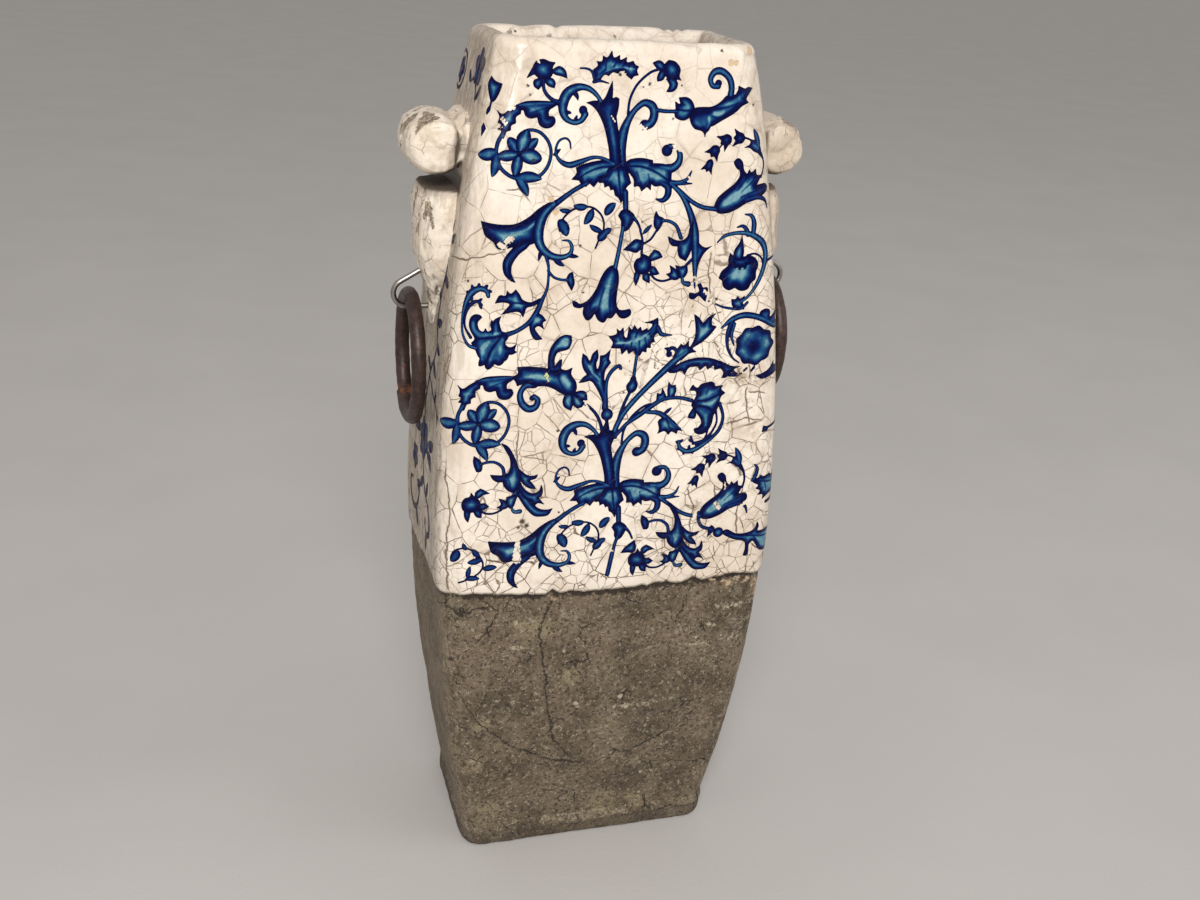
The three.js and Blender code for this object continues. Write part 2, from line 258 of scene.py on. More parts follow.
def stacked_grid(name, rows):
    """Closed skin over rows of points that follow each other upwards, with a flat cap at each end."""
    rows = np.asarray(rows)
    count, width = rows.shape[:2]
    row = np.arange(count - 1)[:, None] * width
    column = np.arange(width)[None, :]
    following = (column + 1) % width
    sides = np.stack(
        [row + column, row + following, row + following + width, row + column + width], axis=-1)
    caps = [list(range(width)), [(count - 1) * width + k for k in reversed(range(width))]]
    mesh = bpy.data.meshes.new(name)
    mesh.from_pydata(rows.reshape(-1, 3).tolist(), [], sides.reshape(-1, 4).tolist() + caps)
    mesh.validate()
    mesh.shade_smooth()
    face_outwards(mesh)
    return mesh


def plain_copy(source, name):
    """The object's mesh with its modifiers applied."""
    graph = bpy.context.evaluated_depsgraph_get()
    mesh = bpy.data.meshes.new_from_object(source.evaluated_get(graph))
    mesh.name = name
    return mesh


def remeshed(source, name, voxel):
    """One skin over all the overlapping bodies in a mesh, in even faces."""
    holder = new_object(name, source)
    modifier = holder.modifiers.new("skin", "REMESH")
    modifier.mode = "VOXEL"
    modifier.voxel_size = voxel
    softening = holder.modifiers.new("soften", "SMOOTH")
    softening.factor = 0.5
    softening.iterations = 3
    mesh = plain_copy(holder, name)
    bpy.data.objects.remove(holder)
    bpy.data.meshes.remove(source)
    mesh.shade_smooth()
    return mesh


# Shape of the clay wall

class WallShape:
    """Half width, half depth and corner radius of the wall's outside, read from the frame."""

    DEGREE = 7
    SAMPLES = 90

    def __init__(self, sizes):
        wall = frame["nodes"]["wall"]
        low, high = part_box("wall")
        tree = BVHTree.FromPolygons(
            [vertex.co for vertex in wall.data.vertices],
            [tuple(face.vertices) for face in wall.data.polygons])
        self.foot = low.z
        self.lip_radius = sizes.wall_thickness / 2
        self.lip = high.z - self.lip_radius
        self.sizes = sizes
        heights = np.linspace(self.foot + 0.0004, self.lip - 0.0004, self.SAMPLES)
        aside = 0.012
        across = []
        along = []
        for height in heights:
            across.append(-tree.ray_cast(Vector((-1, aside, height)), Vector((1, 0, 0)))[0].x)
            along.append(-tree.ray_cast(Vector((aside, -1, height)), Vector((0, 1, 0)))[0].y)
        self.middle = (self.foot + self.lip) / 2
        self.span = (self.lip - self.foot) / 2
        self.width_curve = np.polyfit((heights - self.middle) / self.span, across, self.DEGREE)
        self.depth_curve = np.polyfit((heights - self.middle) / self.span, along, self.DEGREE)

    def at(self, heights):
        share = np.clip((heights - self.middle) / self.span, -1, 1)
        climb = (share + 1) / 2
        corner = self.sizes.foot_corner + (self.sizes.rim_corner - self.sizes.foot_corner) * climb
        return np.polyval(self.width_curve, share), np.polyval(self.depth_curve, share), corner

    def ring(self, heights, outset, columns):
        """Points round the wall at heights (one, or one for each column), moved outwards."""
        half_width, half_depth, corner = self.at(heights)
        reach = np.maximum(corner + outset, 0.003)
        face_x, face_y, out_x, out_y = columns
        inner_x = half_width + outset - reach
        inner_y = half_depth + outset - reach
        return np.stack([
            face_x * inner_x + out_x * reach,
            face_y * inner_y + out_y * reach,
            heights + np.zeros_like(out_x)], axis=-1)

    def unrolled(self, face, across, heights, outset):
        """Points at places on an unrolled face, which goes on round its corners, and the ways out."""
        half_width, half_depth, corner = self.at(heights)
        reach = corner + outset
        broad, deep = half_width - corner, half_depth - corner
        if face in ("left", "right"):
            broad, deep = deep, broad
        beyond = np.maximum(np.abs(across) - broad, 0)
        angle = np.minimum(beyond / reach, math.pi / 2)
        sign = np.sign(across)
        along = sign * (np.minimum(np.abs(across), broad) + reach * np.sin(angle))
        out = deep + reach * np.cos(angle) - np.maximum(beyond - reach * math.pi / 2, 0)
        ways = {"front": (1, 0), "right": (0, 1), "back": (-1, 0), "left": (0, -1)}
        right_x, right_y = ways[face]
        points = np.stack([
            right_x * along + right_y * out, right_y * along - right_x * out, heights], axis=-1)
        leave_x = right_x * sign * np.sin(angle) + right_y * np.cos(angle)
        leave_y = right_y * sign * np.sin(angle) - right_x * np.cos(angle)
        return points, (leave_x, leave_y)


def round_columns(broad, narrow, corner):
    """Columns round the vase: share along a face or corner, and the way out, as four rows."""
    entries = []
    quarters = [(1, 1), (-1, 1), (-1, -1), (1, -1)]
    for quarter, (sign_x, sign_y) in enumerate(quarters):
        for k in range(corner):
            angle = (quarter + k / corner) * math.pi / 2
            entries.append((sign_x, sign_y, math.cos(angle), math.sin(angle)))
        count = broad if quarter % 2 == 0 else narrow
        for k in range(count):
            along = 1 - 2 * k / count
            if quarter % 2 == 0:
                entries.append((sign_x * along, sign_y, 0, sign_y))
            else:
                entries.append((sign_x, sign_y * along, sign_x, 0))
    return np.array(entries, float).T


BROAD_COLUMNS = 120
NARROW_COLUMNS = 64
CORNER_COLUMNS = 13

# Height of the broken glaze edge along the front, as x and z in millimetres
FRONT_EDGE = [
    (-93, 174.5), (-86, 173.2), (-81, 174.4), (-70, 173.6), (-61, 172.4), (-50, 171.8),
    (-41, 170.9), (-34, 169.8), (-26, 171.3), (-12, 170.2), (6, 169.8), (18, 170.2),
    (25, 171.5), (33, 170.7), (44, 169.9), (52, 170.4), (61, 171.8), (70, 172.9),
    (80, 172.4), (88, 170.2), (93, 170),
]
# Bites out of the glaze edge on the front: x, half width and depth in millimetres
FRONT_BITES = [(-85, 3, 2.2), (-32, 2.6, 3.4), (-15, 2, -1.2), (47, 3.6, 2.8), (66, 3, 1.2), (21, 1.5, -1)]


def glaze_edge_height(around, sizes):
    """Height of the glaze edge at points round the vase."""
    at = np.array(FRONT_EDGE) * MM
    front = np.interp(around[:, 0], at[:, 0], at[:, 1])
    level = around * np.array([1, 1, 0])
    drift = 0.0016 * lumps(level, 0.045, sizes.seed + 1)
    share = smooth_step(0.01, -0.02, around[:, 1])
    height = sizes.glaze_edge + drift + share * (front - sizes.glaze_edge - drift)
    for x, half, depth in FRONT_BITES:
        bite = np.exp(-((around[:, 0] - x * MM) / (half * MM)) ** 2) * share
        height += bite * depth * MM
    height += 0.0010 * lumps(level, 0.0085, sizes.seed + 2)
    return height + 0.0008 * lumps(level, 0.0032, sizes.seed + 3)


def rubbed(points):
    """Share by which the narrow sides are rubbed flat where the rings knock against them."""
    found = np.zeros(len(points))
    for ring, sign in (("left_ring", -1), ("right_ring", 1)):
        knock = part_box(ring)[0].z + 0.004
        found += (
            smooth_step(0.032, 0.014, np.abs(points[:, 2] - knock))
            * smooth_step(0.042, 0.022, np.abs(points[:, 1])) * (points[:, 0] * sign > 0.06))
    return found


def surface_lumps(points, sizes):
    """Outward unevenness of the clay and glaze, in metres."""
    broad = lumps(points, 0.075, sizes.seed)
    middle = lumps(points, 0.024, sizes.seed + 5)
    small = lumps(points, 0.009, sizes.seed + 9)
    found = sizes.lump_height * (broad + 0.38 * middle + 0.16 * small)
    return found - rubbed(points) * np.maximum(found + 0.0009, 0)


def run_of(shape, heights, outset, columns):
    return [shape.ring(np.full(columns.shape[1], height), outset, columns) for height in heights]


def lip_run(shape, radius, steps, columns):
    """Rows over the lip, from the outside of the wall to its inside."""
    rows = []
    for k in range(1, steps):
        angle = k * math.pi / steps
        row = shape.ring(
            np.full(columns.shape[1], shape.lip),
            radius * math.cos(angle) - shape.lip_radius,
            columns)
        row[:, 2] = shape.lip + radius * math.sin(angle)
        rows.append(row)
    return rows


# Notches in the lip at the back: x, half width and depth in millimetres
LIP_NOTCHES = [(38, 1.8, 1.0), (43, 1.6, 1.3), (48, 1.8, 1.1), (-38, 4, 0.8), (-20, 2, 1.2)]


def lip_unevenness(points, sizes):
    """How far the hand-cut lip sinks at each point."""
    level = points * np.array([1, 1, 0])
    sink = 0.0012 * (lumps(level, 0.05, sizes.seed + 12) - 0.6)
    sink += 0.0006 * lumps(level, 0.012, sizes.seed + 13)
    back = smooth_step(0.02, 0.03, points[:, 1])
    for x, half, depth in LIP_NOTCHES:
        sink -= depth * MM * back * np.exp(-((points[:, 0] - x * MM) / (half * MM)) ** 2)
    return sink


def lip_sink(shape, points, sizes):
    """How far points near the lip go down with it."""
    return lip_unevenness(points, sizes) * smooth_step(shape.lip - 0.02, shape.lip, points[:, 2])


def push_out(points, columns_out, amounts):
    moved = points.copy()
    moved[..., 0] += columns_out[0] * amounts
    moved[..., 1] += columns_out[1] * amounts
    return moved


# Clay body and glaze coat

def build_foot(sizes):
    """Base slab with a worn, rounded edge and a darker set-back band where it stands."""
    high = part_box("base_slab")[1]
    columns = round_columns(BROAD_COLUMNS, NARROW_COLUMNS, CORNER_COLUMNS)
    # Heights in millimetres with how far the edge is set back there
    profile = [
        (0, 3.6), (0.25, 2.5), (0.9, 1.5), (1.9, 1.0), (3.2, 0.8), (4.8, 0.75), (6.4, 0.75),
        (7.8, 0.75), (8.8, 0.6), (9.5, 0.25), (10.4, 0.05), (11.6, 0.05), (12.8, 0.2),
        (13.9, 0.5), (14.7, 0.9), (15, 1.6),
    ]
    corner = sizes.foot_corner + 0.002

    def level(height, inset, share=1.0):
        reach = max(corner - inset, 0.003)
        face_x, face_y, out_x, out_y = columns
        inner_x = high.x - inset - reach
        inner_y = high.y - inset - reach
        return np.stack([
            share * (face_x * inner_x + out_x * reach),
            share * (face_y * inner_y + out_y * reach),
            np.full(columns.shape[1], height)], axis=-1)

    centre_shares = (0.985, 0.9, 0.7, 0.45, 0.2)
    bottom = [level(0, profile[0][1] * MM, share) for share in reversed(centre_shares)]
    edge = [level(height * MM, inset * MM) for height, inset in profile]
    top = [level(high.z, profile[-1][1] * MM, share) for share in centre_shares]
    rows = np.array(bottom + edge + top)
    rough = 0.0005 * lumps(rows.reshape(-1, 3), 0.012, sizes.seed + 21, 2).reshape(rows.shape[:2])
    rough += 0.0003 * lumps(rows.reshape(-1, 3), 0.0035, sizes.seed + 22).reshape(rows.shape[:2])
    flush = smooth_step(-0.005, -0.045, rows[..., 0]) + smooth_step(0.03, 0.0, np.abs(rows[..., 1]))
    rough -= 0.0011 * np.clip(flush, 0, 1) * smooth_step(0.007, 0.011, rows[..., 2])
    rough[:len(bottom) + 1] = 0
    rough[len(bottom) + len(edge):] = 0
    rows = push_out(rows, columns[2:], rough)
    return stacked_grid("base_slab_clay", rows)


def build_wall(shape, sizes):
    columns = round_columns(BROAD_COLUMNS, NARROW_COLUMNS, CORNER_COLUMNS)
    tuck = 0.0025
    bare_top = sizes.glaze_edge + 0.008
    bare_count = int((bare_top - shape.foot) / sizes.row_step)
    outside = [shape.ring(np.full(columns.shape[1], shape.foot - tuck), -0.0006, columns)]
    for row in outside:
        row[:, 2] = shape.foot - tuck
    outside += run_of(shape, np.linspace(shape.foot, bare_top, bare_count), 0, columns)
    outside += run_of(shape, np.linspace(bare_top, shape.lip, 24)[1:], 0, columns)
    inside = run_of(
        shape, np.linspace(shape.lip, shape.foot, 60), -sizes.wall_thickness, columns)
    last = inside[-1].copy()
    last[:, 2] -= tuck
    rows = np.array(outside + lip_run(shape, shape.lip_radius, 6, columns) + inside + [last])
    flat = rows.reshape(-1, 3)
    push = surface_lumps(flat, sizes)
    grit = 0.00022 * lumps(flat, 0.0042, sizes.seed + 31, 2)
    dents = 0.0005 * np.minimum(lumps(flat, 0.016, sizes.seed + 32) + 0.1, 0)
    amounts = (push + grit + dents).reshape(rows.shape[:2])
    amounts[len(outside):] *= -1
    amounts[len(outside):len(outside) + 5] = 0
    rows = push_out(rows, columns[2:], amounts)
    rows[..., 2] += lip_sink(shape, flat, sizes).reshape(rows.shape[:2])
    mesh = closed_grid("wall_clay", rows)
    add_attribute(mesh, "edge_gap", (flat[:, 2] - glaze_edge_height(flat, sizes)) / MM)
    add_attribute(mesh, "aside", np.tile(np.abs(columns[2]), len(rows)))
    return mesh


def build_coat(shape, sizes):
    """Closed skin: outside from the broken edge up, over the lip, down the neck and back."""
    columns = round_columns(BROAD_COLUMNS, NARROW_COLUMNS, CORNER_COLUMNS)
    width = columns.shape[1]
    reach = sizes.coat_reach
    hidden = 0.0003
    level = shape.ring(np.full(width, sizes.glaze_edge), reach, columns)
    edge = glaze_edge_height(level, sizes)
    count = int((shape.lip - sizes.glaze_edge) / sizes.row_step)
    outside = []
    for k in range(count + 1):
        heights = edge + (shape.lip - edge) * k / count
        rounding = 0.0006 * math.exp(-1.4 * k)
        outside.append(shape.ring(heights, reach - rounding, columns))
    lip = lip_run(shape, shape.lip_radius + reach, 14, columns)
    neck_end = shape.lip - sizes.neck_glaze
    neck = run_of(
        shape, np.linspace(shape.lip, neck_end, 22), -sizes.wall_thickness - reach, columns)
    drip = lumps(neck[-1], 0.02, sizes.seed + 41) * 0.003
    for k, row in enumerate(neck):
        row[:, 2] += drip * k / len(neck)
    back = run_of(
        shape, np.linspace(neck_end + 0.001, shape.lip, 5), -sizes.wall_thickness - hidden, columns)
    back[0][:, 2] += drip
    back += list(reversed(lip_run(shape, shape.lip_radius + hidden, 6, columns)))
    for share in np.linspace(1, 0, 10):
        heights = edge + 0.0007 + (shape.lip - edge - 0.0007) * share
        back.append(shape.ring(heights, hidden, columns))
    rows = np.array(outside + lip + neck + back)
    shown = len(outside) + len(lip) + len(neck)
    flat = rows.reshape(-1, 3)
    amounts = surface_lumps(flat, sizes).reshape(rows.shape[:2])
    turned = len(outside) + len(lip) // 2
    amounts[turned:shown] *= -1
    amounts[shown:] = 0
    side = smooth_step(0, len(lip), np.abs(np.arange(len(rows)) - turned) * 2.0)
    amounts *= side[:, None]
    rows = push_out(rows, columns[2:], amounts)
    rows[..., 2] += lip_sink(shape, flat, sizes).reshape(rows.shape[:2])
    mesh = closed_grid("glaze_coat_skin", rows)
    inner = np.zeros(len(rows))
    inner[len(outside):shown] = smooth_step(0.1, 0.55, np.arange(shown - len(outside)) / len(lip))
    add_attribute(mesh, "aside", np.tile(np.abs(columns[2]), len(rows)))
    add_attribute(mesh, "inner", np.repeat(inner, width))
    return mesh


# Materials

class Value:
    """Output of a node. Arithmetic with it adds further nodes to the same tree."""

    def __init__(self, maker, socket):
        self.maker = maker
        self.socket = socket

    def __add__(self, other):
        return self.maker.math("ADD", self, other)

    def __sub__(self, other):
        return self.maker.math("SUBTRACT", self, other)

    def __rsub__(self, other):
        return self.maker.math("SUBTRACT", other, self)

    def __mul__(self, other):
        return self.maker.math("MULTIPLY", self, other)

    def __truediv__(self, other):
        return self.maker.math("DIVIDE", self, other)

    def __abs__(self):
        return self.maker.math("ABSOLUTE", self)

    __radd__ = __add__
    __rmul__ = __mul__


class NodeMaker:
    """Short words for adding nodes to a tree."""

    def __init__(self, tree):
        self.tree = tree

    def node(self, kind, inputs=None, output=0, **settings):
        """Adds a node with some settings and inputs, and returns one of its outputs."""
        node = self.tree.nodes.new(kind)
        for name, setting in settings.items():
            setattr(node, name, setting)
        for key, value in (inputs or {}).items():
            self.link(value, node.inputs[key])
        return Value(self, node.outputs[output])

    def link(self, value, socket):
        if isinstance(value, Value):
            self.tree.links.new(value.socket, socket)
        else:
            if socket.type == "RGBA" and len(value) == 3:
                value = (*value, 1)
            socket.default_value = value

    def math(self, operation, *values, clamp=False):
        return self.node("ShaderNodeMath", dict(enumerate(values)), operation=operation, use_clamp=clamp)

    def most(self, value, *others):
        """The largest of some values."""
        for other in others:
            value = self.math("MAXIMUM", value, other)
        return value

    def least(self, value, other):
        return self.math("MINIMUM", value, other)


class Finish(NodeMaker):
    """A material whose nodes read the place on the object in millimetres."""

    def __init__(self, name):
        self.material = bpy.data.materials.new(name)
        self.material.use_nodes = True
        super().__init__(self.material.node_tree)
        self.shader = self.tree.nodes["Principled BSDF"]
        coordinates = self.node("ShaderNodeTexCoord", output="Object")
        self.place = self.stretched(coordinates, 1 / MM)

    def vector(self, operation, first, second, output="Vector"):
        return self.node("ShaderNodeVectorMath", {0: first, 1: second}, output, operation=operation)

    def stretched(self, place, scale):
        """A place with all three numbers, or each by its own, multiplied."""
        if isinstance(scale, tuple):
            return self.vector("MULTIPLY", place, scale)
        return self.node("ShaderNodeVectorMath", {0: place, "Scale": scale}, operation="SCALE")

    def noise(self, size, detail=2.0, roughness=0.5, place=None, shift=0.0):
        return self.node("ShaderNodeTexNoise", {
            "Vector": place or self.place, "W": shift, "Scale": 1 / size, "Detail": detail,
            "Roughness": roughness}, "Fac", noise_dimensions="4D")

    def noise_shift(self, size, amount, place=None, detail=2.0):
        """The place, shaken by noise with features of a size by up to about an amount."""
        place = place or self.place
        colour = self.node(
            "ShaderNodeTexNoise", {"Vector": place, "Scale": 1 / size, "Detail": detail}, "Color")
        middle = self.vector("SUBTRACT", colour, (0.5, 0.5, 0.5))
        return self.vector("ADD", place, self.stretched(middle, 2 * amount))

    def cells(self, size, place=None, feature="DISTANCE_TO_EDGE", output="Distance"):
        return self.node(
            "ShaderNodeTexVoronoi", {"Vector": place or self.place, "Scale": 1 / size}, output,
            feature=feature)

    def step(self, value, low, high, to_low=0.0, to_high=1.0):
        """Smooth step as a value goes from low to high."""
        return self.node("ShaderNodeMapRange", {
            "Value": value, "From Min": low, "From Max": high, "To Min": to_low, "To Max": to_high},
            "Result", interpolation_type="SMOOTHSTEP")

    def mix(self, share, first, second):
        return self.node("ShaderNodeMix", {0: share, 6: first, 7: second}, 2, data_type="RGBA")

    def ramp(self, value, stops):
        shade = self.node("ShaderNodeValToRGB", {"Fac": value}, "Color")
        elements = shade.socket.node.color_ramp.elements
        while len(elements) < len(stops):
            elements.new(0.5)
        for element, (position, colour) in zip(elements, stops):
            element.position = position
            element.color = (*colour, 1)
        return shade

    def axis(self, name, place=None):
        return self.node("ShaderNodeSeparateXYZ", {0: place or self.place}, name)

    def attribute(self, name):
        return self.node("ShaderNodeAttribute", None, "Fac", attribute_name=name)

    def line(self, across, along, points, half_width, reach, shake):
        """Mask of a crack through points: across follows a curve of along."""
        low, high = points[0][0], points[-1][0]
        spread = [value for _, value in points]
        least, most = min(spread) - 1, max(spread) + 1
        share = self.math("DIVIDE", along - low, high - low, clamp=True)
        curve = self.node("ShaderNodeFloatCurve", {"Value": share})
        mapping = curve.socket.node.mapping
        places = [((at - low) / (high - low), (value - least) / (most - least)) for at, value in points]
        handles = mapping.curves[0].points
        handles[0].location = places[0]
        handles[-1].location = places[-1]
        for place in places[1:-1]:
            handles.new(*place)
        for handle in handles:
            handle.handle_type = "VECTOR"
        mapping.update()
        wanted = curve * (most - least) + least + shake
        body = self.step(abs(across - wanted), half_width, half_width + reach, 1.0, 0.0)
        starts = self.step(along, low, low + 3.0)
        ends = self.step(along, high - 3.0, high, 1.0, 0.0)
        return body * (starts * ends)

    def done(self, colour, roughness, height, strength, metallic=0.0):
        """Gives the material its colour and a relief whose height is in millimetres."""
        relief = self.node(
            "ShaderNodeBump", {"Height": height, "Distance": MM, "Strength": strength}, "Normal")
        values = {"Base Color": colour, "Roughness": roughness, "Normal": relief, "Metallic": metallic}
        for name, value in values.items():
            self.link(value, self.shader.inputs[name])
        return self.material


# Inks run from the dark edge of a stroke to its pale middle
INK_STOPS = [
    (0.0, (0.0006, 0.0012, 0.028)), (0.18, (0.0009, 0.0035, 0.052)), (0.36, (0.0022, 0.0150, 0.105)),
    (0.56, (0.0085, 0.0600, 0.175)), (0.76, (0.038, 0.150, 0.240)), (1.0, (0.190, 0.350, 0.400)),
]


# Long cracks in the glaze of the front. Up the wall: heights with their x. Across: x with its height.
UPRIGHT_GLAZE_CRACKS = [
    [(175, -87), (198, -88.5), (222, -87), (245, -89)],
    [(238, -52), (252, -54), (265, -53)],
    [(259, 71.6), (266, 70), (271, 68.6), (275, 67.6), (282, 68.2)],
    [(283, 70), (292, 68.6), (299, 70.4)],
    [(177, 36), (186, 41), (197, 43.5), (206, 41.6), (216, 43), (228, 38)],
    [(196, 70), (210, 68), (226, 71)],
    [(328, 45), (342, 43), (352, 44)],
]
LYING_GLAZE_CRACKS = [
    [(-94, 342), (-78, 348), (-60, 353)],
    [(68, 278), (74, 277.6), (80.5, 276)],
    [(56, 271), (62, 273), (66, 274.6)],
    [(57, 260.6), (62, 262), (70, 263.6), (80, 261)],
    [(46, 246), (56, 243.4), (66, 245)],
    [(-62, 381), (-55, 382), (-48, 374)],
]
# Marks in the glaze of the front: x, height and radius
GLAZE_PITS = [
    (44, 446, 1.1), (8, 430, 1.3), (5, 428.6, 0.7), (-51, 428, 1.1), (-50, 214, 2.3), (-47.6, 211.6, 1.9),
    (-52, 211, 1.3), (-33, 262, 1.3), (-22, 332, 0.9), (-24, 354.6, 1.0), (24, 430, 0.8),
    (20.4, 414.4, 0.8), (48, 327, 1.1), (44, 326, 0.8), (-7, 434, 1.2), (62, 421.4, 0.8)]
GLAZE_CHIPS = [(49, 440.8, 1.7), (51.4, 440.6, 1.5), (-39, 377, 1.6), (-36.6, 370.6, 1.9), (60, 446, 2.4)]


# Speck of green glaze on the front, and dark flecks on the inside of the lip at the back
GREEN_SPECK = [(-39.4, 290, 2.8)]
LIP_MARKS = [(-52, 443, 2.4), (-45, 445, 1.8), (-25, 444, 2.2), (-20, 441, 1.3), (10, 445, 1.2)]
# Places on the front where the glaze is spoilt, dirty, or split by dashed cracks
SPOILT = [(-50, 210, 5), (64, 286, 7), (72, 283, 8), (70, 270, 6), (60, 262, 5), (44, 216, 6), (48, 206, 5)]
DIRTY = [
    (64, 284, 19), (72, 258, 16), (52, 208, 14), (36, 322, 12), (74, 205, 12), (-50, 210, 9), (-32, 268, 8)]
DASHED = [(14, 300, 24), (42, 312, 26), (62, 296, 22)]
# Rust on the left handle's roll
RUST_SPOTS = [(-104, 396.5, 2.0), (-103, 399, 1.4)]
# Height in millimetres of the hollow between a handle's roll and its tongue
HOLLOW_HEIGHT = 378.5


class Crackle:
    """Crackled glaze that the coat and the pattern on it share: its cracks, pits and unevenness."""

    def __init__(self, finish):
        shaken = finish.noise_shift(9, 0.8)
        finely = finish.noise_shift(1.6, 0.13, shaken)
        along = finish.axis("Z")
        low = finish.step(along, 236, 178)
        broken = finish.step(finish.noise(6, 2, shift=3.0), 0.38, 0.52)
        strength = finish.step(along, 435, 320, 0.32, 0.95) + low * 0.22
        strength *= broken * 0.65 + 0.35
        large = finish.cells(14, finely) * 14
        self.large = finish.step(large, 0.08, 0.3, 1.0, 0.0) * strength
        # Some of the large cells, most of them low down, are split into small ones
        chance = finish.axis("X", finish.cells(14, finely, "F1", "Color"))
        chance += low * 0.45
        split = finish.step(chance, 0.66, 0.67)
        small = finish.cells(6.6, finely) * 6.6
        small = finish.step(small, 0.05, 0.22, 1.0, 0.0) * split
        self.fine = small * (strength * 0.85)
        dashes = finish.cells(8, shaken) * 8
        dashes = finish.step(dashes, 0.12, 0.38, 1.0, 0.0) * spots(finish, DASHED, 0.6, shaken)
        dashes *= finish.step(finish.noise(3.2, 1, shift=18.0), 0.52, 0.58)
        shake = (finish.noise(5, 3, shift=5.0) - 0.5) * 3.5
        across = finish.axis("X")
        runs = [finish.line(across, along, points, 0.18, 0.46, shake) for points in UPRIGHT_GLAZE_CRACKS]
        runs += [finish.line(along, across, points, 0.18, 0.46, shake) for points in LYING_GLAZE_CRACKS]
        self.run = finish.most(finish.most(*runs) * front_only(finish), dashes)
        few = finish.step(finish.noise(40, 1, shift=14.0), 0.48, 0.54)
        pit = finish.step(finish.cells(13, finely, "F1"), 0.03, 0.075, 1.0, 0.0) * few
        self.pit = finish.most(pit, spots(finish, GLAZE_PITS, 0.7, finish.noise_shift(1.5, 0.8)))
        self.chip = spots(finish, GLAZE_CHIPS, 0.3, finish.noise_shift(2, 1.2))
        spoilt = spots(finish, SPOILT, 0.9, shaken)
        self.spoilt = spoilt * finish.step(finish.noise(2.6, 5, 0.75, shift=19.0), 0.5, 0.6)
        self.crack = finish.most(self.large, self.fine, self.run)
        broad = finish.step(large, 0.0, 2.4, 1.0, 0.0)
        self.stain = broad * finish.step(finish.noise(26, 3, shift=1.0), 0.46, 0.66)

    def height(self, finish):
        """Depth in millimetres of all that dents the surface."""
        dents = finish.noise(7, 2, shift=4.0) * 0.4
        dents += finish.noise(1.7, 2, shift=6.0) * 0.06
        dents -= self.crack * 0.18
        dents -= self.spoilt * 0.3
        dents -= self.pit * 0.35
        return self.chip * -0.35 + dents


